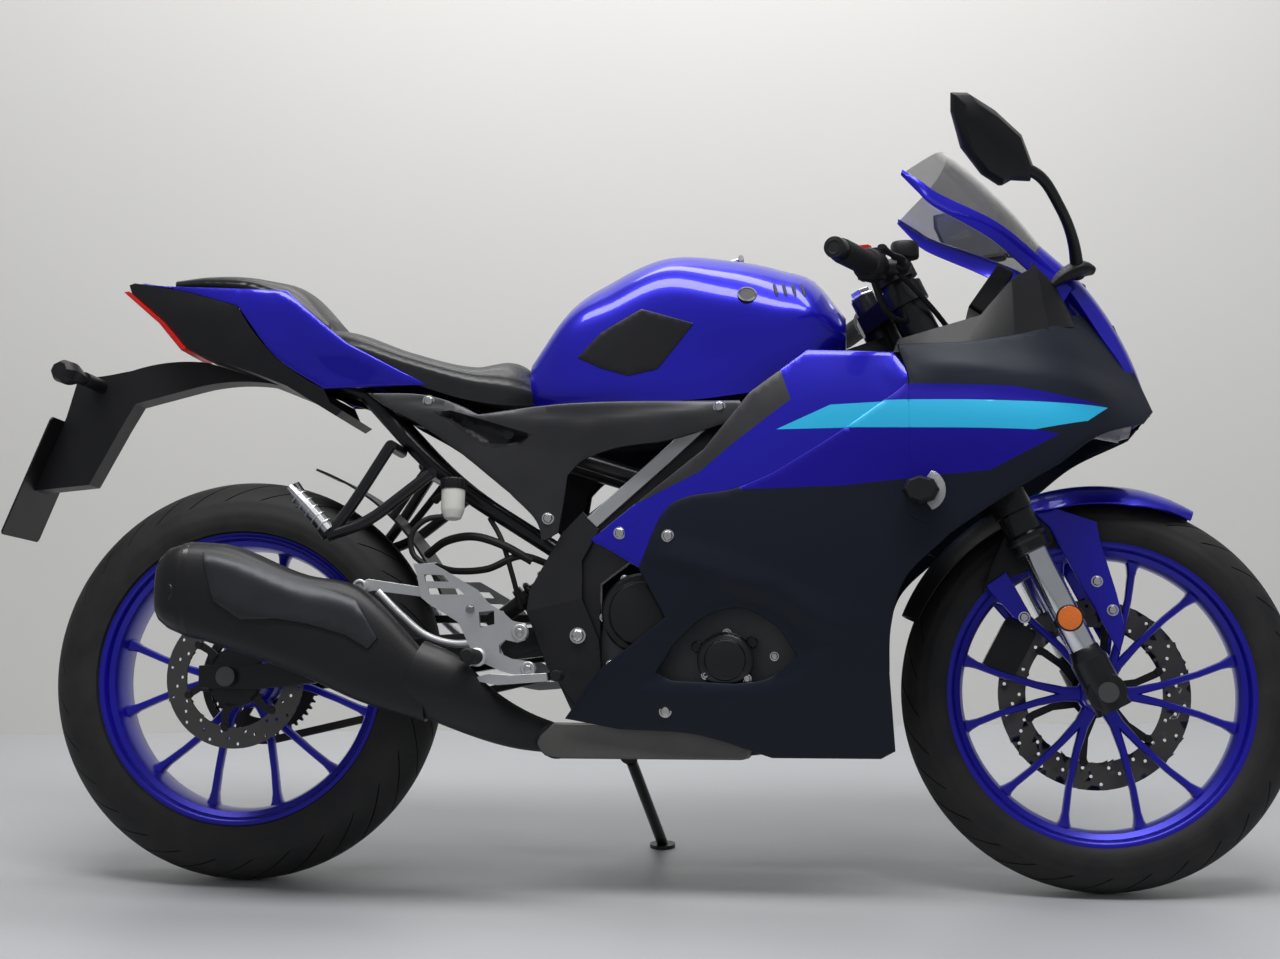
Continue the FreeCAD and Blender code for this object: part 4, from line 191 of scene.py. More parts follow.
def tint(colour, by=1.0):
    """A colour as the four numbers that a socket takes, darker or lighter by a factor."""
    return tuple(min(1.0, part * by) for part in colour) + (1.0,)


finishes = {}
print("finishes start empty:", len(finishes))

# %% [markdown]
# The paint is a metallic coat under clear lacquer. A mirror-like metal would be too chrome, a
# plain plastic too dull, so the base is partly metallic with tiny bright flakes, and the coat on
# top gives the sharp highlight. Satin and matt paints are the same recipe with less lacquer.

# %% Paints
def paint(name, colour, metallic, rough, coat, flake=0.25, shine=0.5):
    """Sprayed paint: flakes in the colour, faint ripples in the coat."""
    made = Finish(name)
    flakes = made.noise(1400, 2).over(0.45, 0.75)
    drift = made.noise(3.5, 2)
    base = made.blend(drift, tint(colour, 0.86), tint(colour, 1.12))
    lit = made.blend(flakes * flake, base, tint([part * 1.9 + 0.004 for part in colour]))
    haze = made.noise(9, 4)
    made.set(Base_Color=lit, Metallic=metallic, Roughness=rough + haze * 0.05, Specular_IOR_Level=shine)
    made.set(Coat_Weight=coat, Coat_Roughness=0.04 if coat > 0.5 else 0.3)
    made.raised(made.noise(160, 2), 0.05, 0.0006)
    finishes[name] = made.material


paint("gloss_blue", (0.010, 0.006, 0.42), 0.50, 0.26, 0.55, 0.25, 0.3)
paint("rim_blue", (0.008, 0.005, 0.36), 0.50, 0.28, 0.5, 0.25, 0.3)
paint("matte_navy", (0.006, 0.009, 0.018), 0.20, 0.46, 0.03, 0.12, 0.25)
paint("stripe_blue", (0.010, 0.004, 0.30), 0.40, 0.40, 0.08, 0.15, 0.25)
paint("stripe_cyan", (0.016, 0.46, 0.78), 0.15, 0.38, 0.2, 0.1)
print("paints:", sorted(finishes))

# %% [markdown]
# Moulded plastic, rubber and vinyl are never quite smooth. Their grain could be modelled, but it
# is finer than a millimetre, so a bump from fine noise or small cells does it, and slow noise
# varies the shine as handling and dust do.

# %% Plastics, rubber and vinyl
def plastic(name, colour, rough, grain=900, depth=0.3, metallic=0.0):
    """Moulded plastic with a fine grain and uneven shine."""
    made = Finish(name)
    dust = made.noise(14, 5)
    made.set(Base_Color=made.blend(dust, tint(colour, 0.82), tint(colour, 1.25)), Metallic=metallic)
    made.set(Roughness=rough - 0.07 + dust * 0.14, Specular_IOR_Level=0.32)
    made.raised(made.noise(grain, 3), depth, 0.0004)
    finishes[name] = made.material


plastic("black_plastic", (0.007, 0.007, 0.008), 0.44)
plastic("satin_grey", (0.046, 0.046, 0.050), 0.34, 1100, 0.2, 0.6)
plastic("shield_grey", (0.034, 0.035, 0.039), 0.36, 1100, 0.2, 0.5)
plastic("rubber", (0.006, 0.006, 0.006), 0.6, 500, 0.4)
plastic("plate_dark", (0.009, 0.009, 0.011), 0.30, 500, 0.1)
plastic("white_cup", (0.62, 0.62, 0.58), 0.32, 500, 0.1)
plastic("switch_red", (0.45, 0.012, 0.01), 0.35, 500, 0.1)

tyre = Finish("tyre_rubber")
scuff = tyre.noise(22, 5)
tyre.set(Base_Color=tyre.blend(scuff.over(0.35, 0.8), tint((0.008, 0.008, 0.009)),
                               tint((0.022, 0.021, 0.020))), Roughness=0.55 + scuff * 0.25,
         Specular_IOR_Level=0.4)
tyre.raised(tyre.noise(700, 3) + tyre.noise(60, 3) * 0.5, 0.25, 0.0006)
finishes["tyre_rubber"] = tyre.material

vinyl = Finish("seat_vinyl")
pores = vinyl.cells(950)
worn = vinyl.noise(11, 4)
vinyl.set(Base_Color=vinyl.blend(worn, tint((0.007, 0.007, 0.008)), tint((0.016, 0.016, 0.017))))
vinyl.set(Roughness=0.36 + worn * 0.2 - pores * 0.08, Coat_Weight=0.08)
vinyl.raised(pores + vinyl.noise(300, 3) * 0.6, 0.35, 0.0005)
finishes["seat_vinyl"] = vinyl.material
print("with plastics, rubber and vinyl:", len(finishes))

# %% [markdown]
# Bare metals differ by how they were made: castings are pebbled, brushed plates have fine lines,
# fork tubes are ground along their length and a used brake disc is polished in circles. Each gets
# its own noise, and the metallic socket does the rest.

# %% Metals
def metal(name, colour, rough, grain, stretch=(1, 1, 1), depth=0.2, coat=0.0, metallic=1.0):
    """Bare or painted metal; the stretch turns round grains into lines."""
    made = Finish(name)
    lines = made.noise(grain, 4, stretch)
    stain = made.noise(18, 4)
    made.set(Base_Color=made.blend(stain, tint(colour, 0.78), tint(colour, 1.15)), Metallic=metallic)
    made.set(Roughness=rough - 0.08 + lines * 0.12 + stain * 0.08, Coat_Weight=coat)
    made.raised(lines, depth, 0.0004)
    finishes[name] = made.material


metal("black_metal", (0.007, 0.007, 0.008), 0.33, 380, metallic=0.3, coat=0.2)
metal("pipe_grey", (0.009, 0.009, 0.010), 0.42, 260, depth=0.35, metallic=0.3)
metal("collector_grey", (0.13, 0.125, 0.12), 0.55, 120, depth=0.4, metallic=0.7)
metal("frame_silver", (0.55, 0.56, 0.57), 0.38, 300, metallic=0.85)
metal("frame_dark", (0.014, 0.014, 0.015), 0.38, 300, metallic=0.4, coat=0.1)
metal("cast_alloy", (0.13, 0.13, 0.135), 0.42, 220, depth=0.45)
metal("brushed_alloy", (0.58, 0.58, 0.59), 0.36, 900, (1, 1, 0.05), 0.15, metallic=0.8)
metal("polished_tube", (0.72, 0.73, 0.75), 0.12, 1500, (1, 1, 0.02), 0.05)
metal("bright_bolt", (0.70, 0.70, 0.70), 0.22, 900, depth=0.1)
metal("disc_steel", (0.13, 0.125, 0.12), 0.36, 1300, (1, 0.05, 1), 0.15)
metal("dark_steel", (0.055, 0.052, 0.050), 0.40, 500, depth=0.3)
print("with metals:", len(finishes))

# %% [markdown]
# The windscreen is a thin smoked sheet. Real refraction is slow and hardly shows in a sheet this
# thin, so see-through is done with alpha, and a strong coat keeps the reflections. Lamp lenses
# are the same, with small cells pressed into their backs. The red and amber lenses also shine
# faintly in their own colour, which is painted light.

# %% Glass and lenses
def clear(name, colour, alpha, rough=0.06, cells=0, painted_glow=0.0, coat=1.0):
    """Glass or a lens; cells is the scale of the pattern in it, and a lens can be given a faint painted light
    that shines in its own colour.
    """
    made = Finish(name)
    smear = made.noise(12, 3)
    made.set(Base_Color=made.blend(smear, tint(colour, 0.9), tint(colour, 1.1)), Coat_Weight=coat)
    made.set(Roughness=rough + smear * 0.05, Alpha=alpha + smear * 0.05, Coat_Roughness=0.03)
    if cells:
        made.raised(made.cells(cells), 0.5, 0.0012)
    # Painted light: the lens shines faintly in its own colour.
    if painted_glow:
        made.set(Emission_Color=tint(colour), Emission_Strength=painted_glow)
    finishes[name] = made.material


clear("smoked_glass", (0.05, 0.05, 0.055), 0.42)
clear("clear_lens", (0.5, 0.5, 0.5), 0.45, cells=260)
# The red and amber lenses shine faintly by painted light.
clear("red_lens", (0.42, 0.006, 0.005), 0.97, 0.34, 240, 0.25, 0.15)
clear("amber_lens", (0.75, 0.16, 0.01), 0.98, 0.16, 330, 0.06)
clear("display_glass", (0.004, 0.005, 0.006), 0.98, 0.05)
clear("mirror_glass", (0.6, 0.62, 0.64), 0.97, 0.02)
finishes["mirror_glass"].node_tree.nodes["Principled BSDF"].inputs["Metallic"].default_value = 1.0
print("finishes:", len(finishes))

# %% [markdown]
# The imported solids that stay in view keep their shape. They only need soft edges and a finish.
# Their meshes must not be touched, so the edges are rounded by modifiers: one welds the corners
# and shades gentle curves smooth, and a bevel catches the light along the sharp edges.

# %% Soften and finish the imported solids
def softener():
    """A modifier group that welds a mesh and shades it smooth up to thirty degrees."""
    group = bpy.data.node_groups.new("soften", "GeometryNodeTree")
    group.interface.new_socket("Geometry", in_out="INPUT", socket_type="NodeSocketGeometry")
    group.interface.new_socket("Geometry", in_out="OUTPUT", socket_type="NodeSocketGeometry")
    make = group.nodes.new
    start, end = make("NodeGroupInput"), make("NodeGroupOutput")
    weld, angle = make("GeometryNodeMergeByDistance"), make("GeometryNodeInputMeshEdgeAngle")
    test = make("FunctionNodeCompare")
    faces, edges = make("GeometryNodeSetShadeSmooth"), make("GeometryNodeSetShadeSmooth")
    weld.inputs["Distance"].default_value = 0.00001
    test.operation = "GREATER_THAN"
    test.inputs[1].default_value = math.radians(30)
    edges.domain = "EDGE"
    edges.inputs["Shade Smooth"].default_value = False
    for source, target in ((start.outputs[0], weld.inputs[0]), (weld.outputs[0], faces.inputs[0]),
                           (faces.outputs[0], edges.inputs[0]), (angle.outputs[0], test.inputs[0]),
                           (test.outputs[0], edges.inputs["Selection"]), (edges.outputs[0], end.inputs[0])):
        group.links.new(source, target)
    return group


SOFTEN = softener()
SOLID_EDGE = 0.6
slot_of = {row["node"]: row["material_slot"] for row in frame["record"]["subparts"]}


def round_edges(made, edge, angle):
    """A bevel, in millimetres, along the edges that turn by more than an angle."""
    bevel = made.modifiers.new("edge", "BEVEL")
    bevel.width, bevel.segments, bevel.limit_method = edge / 1000, 2, "ANGLE"
    bevel.angle_limit, bevel.harden_normals = math.radians(angle), True


def soften(node, finish=None):
    """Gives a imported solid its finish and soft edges."""
    shown = frame["nodes"][node]
    material = finishes[finish or slot_of[node]]
    for spot in shown.material_slots:
        spot.material = material
    made = shown.modifiers.new("soften", "NODES")
    made.node_group = SOFTEN
    round_edges(shown, SOLID_EDGE, 40)


DRESSED = {"main_frame": "frame_dark", "indicators": "black_plastic", "fork_sliders": "black_metal"}
for node in frame["nodes"]:
    soften(node, DRESSED.get(node))
print("softened:", len(slot_of))

# %% [markdown]
# New pieces are drawn as arrays of points and faces. They could be built from Blender's own
# primitives with operators, but an array can be measured and bent before it becomes a mesh. One
# function turns it into an object, gives it its finish and lets it ride on its body. Walls and
# soft edges are modifiers, so they stay easy to change.


def piece(name, points, faces, body, finish, spots=None, sharp=35, thick=0.0, edge=0.0):
    """An object from drawn points; finish is one name or several, spots says which face has which."""
    mesh = bpy.data.meshes.new(name)
    mesh.from_pydata(placed(points).tolist(), [], [list(map(int, face)) for face in faces])
    mesh.validate()
    made = bpy.data.objects.new(name, mesh)
    bpy.context.scene.collection.objects.link(made)
    names = (finish,) if isinstance(finish, str) else finish
    for entry in names:
        mesh.materials.append(finishes[entry])
    if spots is not None and len(spots) == len(mesh.polygons):
        mesh.polygons.foreach_set("material_index", np.asarray(spots, int))
    mesh.polygons.foreach_set("use_smooth", [True] * len(mesh.polygons))
    mesh.set_sharp_from_angle(angle=math.radians(sharp))
    if thick:
        wall = made.modifiers.new("wall", "SOLIDIFY")
        wall.thickness, wall.offset = thick / 1000, -1
    if edge:
        round_edges(made, edge, sharp)
    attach(made, body)
    return made


# %% [markdown]
# Smooth curves run through a few given points. A Blender curve object would do the same, but here
# many values change along one curve at once, such as a width, a height and a depth, and a formula
# that takes any number of them gives all in one go. Grids of such points are meshed with four-sided
# faces.

# %% Smooth curves and grids
def hermite(t, span, start, end, leaving, arriving):
    """A smooth way from start to end at a share t of it, with a slope at each end."""
    return ((1 + 2 * t) * (1 - t) ** 2 * start + t * (1 - t) ** 2 * span * leaving
            + t * t * (3 - 2 * t) * end - t * t * (1 - t) * span * arriving)


def slopes(xs, ys):
    """The slope at each given point of a smooth curve through them all."""
    steps = np.diff(xs)
    rises = np.diff(ys, axis=0) / steps.reshape((-1,) + (1,) * (ys.ndim - 1))
    inner = [(rises[i - 1] * steps[i] + rises[i] * steps[i - 1]) / (steps[i] + steps[i - 1])
             for i in range(1, len(xs) - 1)]
    return np.array([rises[0]] + inner + [rises[-1]])


def smooth(xs, ys, x):
    """Values at x on the smooth curve through the points (xs, ys)."""
    xs, ys, x = np.asarray(xs, float), np.asarray(ys, float), np.asarray(x, float)
    tangents = slopes(xs, ys)
    spot = np.clip(np.searchsorted(xs, x) - 1, 0, len(xs) - 2)
    span = xs[spot + 1] - xs[spot]
    t = np.clip((x - xs[spot]) / span, 0, 1)
    if ys.ndim > 1:
        t, span = t[..., None], span[..., None]
    return hermite(t, span, ys[spot], ys[spot + 1], tangents[spot], tangents[spot + 1])


def lengths_to(stops):
    """How far along the line through the stops each of them is."""
    return np.concatenate(((0,), np.cumsum(np.linalg.norm(np.diff(stops, axis=0), axis=1))))


def path_through(stops, gap):
    """Points about gap apart on a smooth path through the stops."""
    stops = np.asarray(stops, float)
    lengths = lengths_to(stops)
    count = max(2, int(round(lengths[-1] / gap)) + 1)
    along = np.linspace(0, lengths[-1], count)
    along = np.unique(np.concatenate((along, lengths)).round(4))
    keep = np.ones(len(along), bool)
    for spot in range(1, len(along) - 1):
        near = along[spot] - along[:spot][keep[:spot]][-1] < gap * 0.35
        if near and not np.any(np.isclose(along[spot], lengths, atol=1e-3)):
            keep[spot] = False
    return smooth(lengths, stops, along[keep])


def grid_faces(rows, columns, close_rows=False, close_columns=False):
    """Four-sided faces over a grid of points that is stored row by row."""
    faces = []
    for row in range(rows if close_rows else rows - 1):
        for column in range(columns if close_columns else columns - 1):
            right, up = (column + 1) % columns, (row + 1) % rows
            faces.append((row * columns + column, row * columns + right, up * columns + right,
                          up * columns + column))
    return faces


def end_faces(rows, columns):
    """The two faces that close the first and the last row of a grid."""
    last = (rows - 1) * columns
    return [list(range(columns))[::-1], list(range(last, last + columns))]


print("halfway up a smooth curve:", smooth((0, 1, 2), (0, 1, 0), (0.5, 1.5)))

# %% [markdown]
# Turned shapes, tubes and lofts cover most hard parts. A turned shape could be Blender's Screw
# modifier and a tube a bevelled curve; as arrays they share one function to join several into a
# single object, which keeps a cluster of bolts or a pair of levers together.

# %% Turned, swept and joined shapes
def across(direction):
    """Two directions square to the given one."""
    direction = np.asarray(direction, float) / np.linalg.norm(direction)
    helper = np.array((0, 0, 1.0)) if abs(direction[2]) < 0.9 else np.array((1.0, 0, 0))
    first = np.cross(helper, direction)
    first /= np.linalg.norm(first)
    return direction, first, np.cross(direction, first)


def loft(rings):
    """A closed body through rings that all have the same number of points."""
    rows, columns = len(rings), len(rings[0])
    return np.vstack(rings), grid_faces(rows, columns, close_columns=True) + end_faces(rows, columns)


def turned(profile, foot, direction, count=32, flutes=None):
    """A shape turned about an axis; the profile is (radius, along) from one end to the other."""
    axis, first, second = across(direction)
    turns = np.linspace(0, 2 * math.pi, count, endpoint=False)
    rim = np.outer(np.cos(turns), first) + np.outer(np.sin(turns), second)
    if flutes is not None:
        rim = rim * flutes(turns)[:, None]
    return loft([np.asarray(foot) + axis * along + rim * radius for radius, along in profile])


def tube(stops, radius, count=10, gap=8.0, flat=1.0):
    """A tube along a smooth path; radius is one number or one for each stop."""
    stops = np.asarray(stops, float)
    radii = np.full(len(stops), float(radius)) if np.isscalar(radius) else np.asarray(radius, float)
    lengths = lengths_to(stops)
    steps = np.linspace(0, lengths[-1], max(3, int(lengths[-1] / gap) + 1))
    rows = smooth(lengths, np.column_stack((stops, radii)), steps)
    line, radii = rows[:, :3], rows[:, 3]
    ways = np.gradient(line, axis=0)
    ways /= np.linalg.norm(ways, axis=1)[:, None]
    _, first, _ = across(ways[0])
    turns = np.linspace(0, 2 * math.pi, count, endpoint=False)
    rings = []
    for spot, way, reach in zip(line, ways, radii):
        first = first - way * np.dot(first, way)
        first /= np.linalg.norm(first)
        second = np.cross(way, first)
        around = np.outer(np.cos(turns), first) + flat * np.outer(np.sin(turns), second)
        rings.append(spot + reach * around)
    return loft(rings)


def block(corners, body_height):
    """A prism: flat corner points pushed along a vector."""
    corners = np.asarray(corners, float)
    return loft([corners, corners + np.asarray(body_height, float)])


def group(name, parts, body, finish, **looks):
    """One object made of several (points, faces)."""
    points, faces = [], []
    start = 0
    for some, loops in parts:
        points.append(np.asarray(some, float))
        faces += [[index + start for index in loop] for loop in loops]
        start += len(some)
    return piece(name, np.vstack(points), faces, body, finish, **looks)


def mirrored(part):
    """The same part on the bike's other side."""
    points, faces = part
    return np.asarray(points) * (1, -1, 1), [list(loop)[::-1] for loop in faces]


def both(parts):
    """The parts, and then the same parts on the bike's other side."""
    return parts + [mirrored(part) for part in parts]


print("a unit block has", len(block([(0, 0, 0), (1, 0, 0), (1, 1, 0), (0, 1, 0)], (0, 0, 1))[1]), "faces")

# %% [markdown]
# The bike's panels are known best by their outline in the side view, as in a workshop drawing. An
# outline is a few runs of points: each run is smooth, and two runs meet in a corner. Bezier handles
# could draw it too, but points through which the line really goes are easier to read off.

# %% Outlines in the side view
def trace(runs, gap=7.0):
    """A closed side outline: each run goes on smoothly from the last point of the one before."""
    last, outline = runs[-1][-1], []
    for run in runs:
        stops = np.array((last,) + tuple(run)) * (WHEELBASE, HEIGHT)
        outline.append(path_through(stops, gap)[:-1])
        last = run[-1]
    return np.vstack(outline)


def inside(points, loop):
    """Which points lie inside a closed outline."""
    x, z = points[:, 0][:, None], points[:, 1][:, None]
    ax, az = loop[:, 0], loop[:, 1]
    bx, bz = np.roll(ax, -1), np.roll(az, -1)
    rise = np.where(bz == az, 1e-9, bz - az)
    crossed = ((az > z) != (bz > z)) & (x < (bx - ax) * (z - az) / rise + ax)
    return crossed.sum(axis=1) % 2 == 1


def distance(points, line, closed=True):
    """How far points are from a line of segments, and on which side of it."""
    start = line if closed else line[:-1]
    step = (np.roll(line, -1, axis=0) if closed else line[1:]) - start
    best, side = np.full(len(points), 1e9), np.zeros(len(points))
    for foot, way in zip(start, step):
        away = points - foot
        length = max(way @ way, 1e-9)
        t = np.clip(away @ way / length, 0, 1)
        gap = np.linalg.norm(away - t[:, None] * way, axis=1)
        near = gap < best
        best[near] = gap[near]
        side[near] = np.sign(way[0] * away[near, 1] - way[1] * away[near, 0])
    return best, side


def shrunk(loop, by):
    """An outline moved inwards."""
    area = np.sum(loop[:, 0] * np.roll(loop[:, 1], -1) - np.roll(loop[:, 0], -1) * loop[:, 1])
    ways = np.roll(loop, -1, axis=0) - loop
    ways /= np.maximum(np.linalg.norm(ways, axis=1), 1e-9)[:, None]
    normals = np.column_stack((-ways[:, 1], ways[:, 0])) * np.sign(area)
    mean = normals + np.roll(normals, 1, axis=0)
    mean /= np.maximum(np.sum(mean * mean, axis=1), 0.6)[:, None] / 2
    return loop + mean * by


print("outline tools ready")

# %% [markdown]
# The inside of an outline is filled with an even net of triangles. One large face would be
# simpler, but it can't be bent to a form. The net keeps given lines as edges, so paint can change
# exactly along a line and a hole gets a clean border.

# %% Fill an outline
def net(loops, spacing, roll, zones=()):
    """Triangles inside the first outline and outside the others, with lines kept as edges."""
    points, edges = [], []

    def add_loop(loop):
        start, count = len(points), len(loop)
        points.extend(loop)
        edges.extend((start + i, start + (i + 1) % count) for i in range(count))

    for number, loop in enumerate(loops):
        add_loop(loop)
        for share in (0.3, 1.0):
            moved = shrunk(loop, roll * share if number == 0 else -roll * share)
            points.extend(moved)
    for line in zones:
        add_loop(line)
    low, high = loops[0].min(axis=0), loops[0].max(axis=0)
    xs = np.arange(low[0], high[0], spacing)
    zs = np.arange(low[1], high[1], spacing)
    grid = np.array([(x + (spacing / 2 if row % 2 else 0), z) for row, z in enumerate(zs) for x in xs])
    keep = inside(grid, loops[0]) & (distance(grid, loops[0])[0] > roll + spacing * 0.5)
    for loop in loops[1:]:
        keep &= ~inside(grid, loop) & (distance(grid, loop)[0] > roll + spacing * 0.5)
    for line in zones:
        keep &= distance(grid, line)[0] > spacing * 0.3
    points.extend(grid[keep])
    made = geometry.delaunay_2d_cdt([Vector(point) for point in points], edges, [], 0, 1e-3)
    flat = np.array([tuple(point) for point in made[0]])
    triangles = np.array([face for face in made[2] if len(face) == 3])
    middles = flat[triangles].mean(axis=1)
    keep = inside(middles, loops[0])
    for loop in loops[1:]:
        keep &= ~inside(middles, loop)
    reach = np.min([distance(flat, loop)[0] for loop in loops], axis=0)
    return flat, triangles[keep], middles[keep], reach


square = np.array([(0, 0), (40, 0), (40, 40), (0, 40)], float)
print("a square of 40 mm is filled with", len(net([square], 9.0, 2.5)[1]), "triangles")

# %% [markdown]
# How far a panel stands from the middle of the bike comes from a form: a small table of widths,
# smooth along the bike and up it. Creases and hollows are added on top. A sculpted surface would
# look as good, but both sides would have to be carved alike, and no size could be read from it.

# %% Forms, creases and hollows
class Form:
    """Half widths of the bike, in shares, at stations along it and levels up it."""

    def __init__(self, half, stations, levels, widths, features=()):
        self.half, self.levels, self.widths = half, np.array(levels) * HEIGHT, np.array(widths)
        self.stations = np.array([pair if isinstance(pair, tuple) else (pair, pair) for pair in stations])
        self.features = list(features)

    def with_features(self, features):
        """The same form with other creases and hollows."""
        made = Form(self.half, (), self.levels / HEIGHT, self.widths, features)
        made.stations = self.stations
        return made

    def __call__(self, flat):
        """The depth at points of the side view; a station may lean, so it moves with height."""
        x, z = flat[:, 0], flat[:, 1]
        share = z / HEIGHT
        spots = (self.stations[:, :1] + np.diff(self.stations, axis=1) * share) * WHEELBASE
        depths = np.array([smooth(self.levels, row, z) for row in self.widths])
        slope = np.zeros_like(depths)
        steps, rises = np.diff(spots, axis=0), np.diff(depths, axis=0)
        tilt = rises / steps
        slope[0], slope[-1] = tilt[0], tilt[-1]
        slope[1:-1] = (tilt[:-1] * steps[1:] + tilt[1:] * steps[:-1]) / (steps[1:] + steps[:-1])
        row = np.clip((spots <= x).sum(axis=0) - 1, 0, len(spots) - 2)
        column = np.arange(len(x))
        span = steps[row, column]
        t = np.clip((x - spots[row, column]) / span, 0, 1)
        y = self.half * hermite(t, span, depths[row, column], depths[row + 1, column], slope[row, column],
                                slope[row + 1, column])
        for feature in self.features:
            y = y + feature(flat)
        return y


def crease(stops, height, above, below):
    """A crisp fold that stands out along a line and fades away on both sides of it."""
    line = np.array(stops) * (WHEELBASE, HEIGHT)

    def lift(flat):
        gap, side = distance(flat, line, closed=False)
        reach = np.where(side > 0, above, below)
        ends = np.minimum(np.linalg.norm(flat - line[0], axis=1), np.linalg.norm(flat - line[-1], axis=1))
        return height * np.maximum(0, 1 - gap / reach) * np.clip(ends / 60 + 0.15, 0, 1)
    return lift


def hollow(runs, depth, slope):
    """A pressed-in area: its floor lies deeper, with a slanted border."""
    loop = trace(runs)

    def sink(flat):
        gap, _ = distance(flat, loop)
        return -depth * np.clip(gap / slope, 0, 1) * inside(flat, loop)
    return sink


print("form tools ready")

# %% [markdown]
# A moulded panel is the filled outline, bent to its form, with the last millimetres rolled
# inwards as a moulded edge does. A bevel on the edge would round it too, but a rolled edge also
# turns away from the eye, so the gap between two panels looks deep and dark.

# %% A moulded panel
def panel(name, runs, form, body, finish, side=-1, holes=(), zones=(), inset=0.0, spacing=9.0, roll=2.5,
          thick=3.5, flush=()):
    """A moulded panel; each zone is an outline inside which the next finish is used.

    Its edge rolls inwards, but not along the flush line, where the next panel goes on."""
    loops = [trace(runs)] + [trace(hole) for hole in holes]
    areas = [trace(zone) for zone in zones]
    flat, triangles, middles, reach = net(loops, spacing, roll, areas)
    if flush:
        near = distance(flat, np.array(flush) * (WHEELBASE, HEIGHT), closed=False)[0] < 2 * roll
        reach = np.where(near & (reach < roll), roll, reach)
    bent = np.minimum(reach, roll)
    y = form(flat) - inset - (roll - np.sqrt(np.maximum(roll ** 2 - (roll - bent) ** 2, 0)))
    points = np.column_stack((flat[:, 0], side * y, flat[:, 1]))
    spots = np.zeros(len(triangles), int)
    for number, area in enumerate(areas, 1):
        spots[inside(middles, area)] = number
    if side > 0:
        triangles = triangles[:, ::-1]
    return piece(name, points, triangles, body, finish, spots, sharp=40, thick=thick)


print("panel tools ready")

# %% [markdown]
# The camera looks at the bike's right side from a little above the tank, turned slightly, with a
# long lens. It could be placed by eye, but its place was worked out from the wheels: a wheel seen
# at an angle is an ellipse, and two ellipses fix where the camera stood. A small shift of the lens,
# in shares of the picture, sets the bike where it stands in the frame.

# %% Camera
CAMERA_SPOT = (0.3567, -3.2208, 0.8568)
YAW, PITCH, ROLL = math.radians(6.9326), math.radians(-3.6354), math.radians(0.968)
camera_data = bpy.data.cameras.new("camera")
camera = bpy.data.objects.new("camera", camera_data)
bpy.context.scene.collection.objects.link(camera)
camera.matrix_world = (Matrix.Translation(CAMERA_SPOT) @ Matrix.Rotation(YAW, 4, "Z")
                       @ Matrix.Rotation(PITCH, 4, "X") @ Matrix.Rotation(ROLL, 4, "Y")
                       @ Matrix.Rotation(math.radians(90), 4, "X"))
camera_data.sensor_width, camera_data.lens = 36, 56.442
camera_data.shift_x, camera_data.shift_y = 0.01915, -0.01822
camera_data.clip_end = 50
bpy.context.scene.camera = camera
bpy.context.scene.view_settings.view_transform = "Standard"
print("camera at", tuple(round(value, 3) for value in camera.location))

# %% [markdown]
# The room is a floor and one painted wall, set at a slight slant behind the bike. A closed room
# would be truer, but its walls would hide the bike from other sides. For the same reason the paint
# can be seen through from its back.

# %% Room
def room_finish(name, colour, rough, grain, depth):
    """Paint on a wall or a floor that can't be seen from its back, so it hides nothing."""
    made = Finish(name)
    made.set(Alpha=1 - made.node("ShaderNodeNewGeometry", output="Backfacing"))
    cloud = made.noise(0.7, 4)
    made.set(Base_Color=made.blend(cloud, tint(colour, 0.95), tint(colour, 1.05)), Roughness=rough)
    made.raised(made.noise(grain, 4), depth, 0.0008)
    finishes[name] = made.material


room_finish("wall_paint", (0.70, 0.69, 0.665), 0.85, 60, 0.1)
room_finish("floor_paint", (0.43, 0.44, 0.455), 0.42, 30, 0.12)


def stage_sheet(name, corners, finish):
    """A flat sheet of the room, cut into a grid."""
    a, b, c, d = (np.array(corner, float) for corner in corners)
    rows, cuts = [], 24
    for u in np.linspace(0, 1, cuts):
        for v in np.linspace(0, 1, cuts):
            rows.append((a * (1 - v) + b * v) * (1 - u) + (d * (1 - v) + c * v) * u)
    mesh = bpy.data.meshes.new(name)
    mesh.from_pydata([tuple(row) for row in rows], [], grid_faces(cuts, cuts))
    made = bpy.data.objects.new(name, mesh)
    bpy.context.scene.collection.objects.link(made)
    mesh.materials.append(finishes[finish])


ROOM_HALF, ROOM_FRONT, WALL_Y, WALL_TOP = 6.0, -7.0, 1.026, 4.5
SLANT = 0.0896
left, right = (-ROOM_HALF, WALL_Y - ROOM_HALF * SLANT), (ROOM_HALF, WALL_Y + ROOM_HALF * SLANT)
stage_sheet("floor", ((-ROOM_HALF, ROOM_FRONT, 0), (ROOM_HALF, ROOM_FRONT, 0), right + (0,), left + (0,)),
            "floor_paint")
stage_sheet("wall", (left + (0,), right + (0,), right + (WALL_TOP,), left + (WALL_TOP,)), "wall_paint")
print("the wall stands at", WALL_Y, "m and is", WALL_TOP, "m high")

# %% [markdown]
# Two long soft lamps overhead draw the bright lines along the tank and the panels, as the strip
# lamps of a showroom do. Point lamps would only leave dots. Two weak ones in front lift the dark
# side, and they are hidden from mirror-like parts, where they would show as white squares.

# %% Lamps
def softbox(name, spot, aim, size, power):
    """A large soft lamp that looks at a spot."""
    data = bpy.data.lights.new(name, "AREA")
    data.shape, data.size, data.size_y = "RECTANGLE", size[0], size[1]
    data.energy = power
    made = bpy.data.objects.new(name, data)
    bpy.context.scene.collection.objects.link(made)
    made.location = spot
    made.rotation_euler = (Vector(aim) - Vector(spot)).to_track_quat("-Z", "Y").to_euler()
    return made


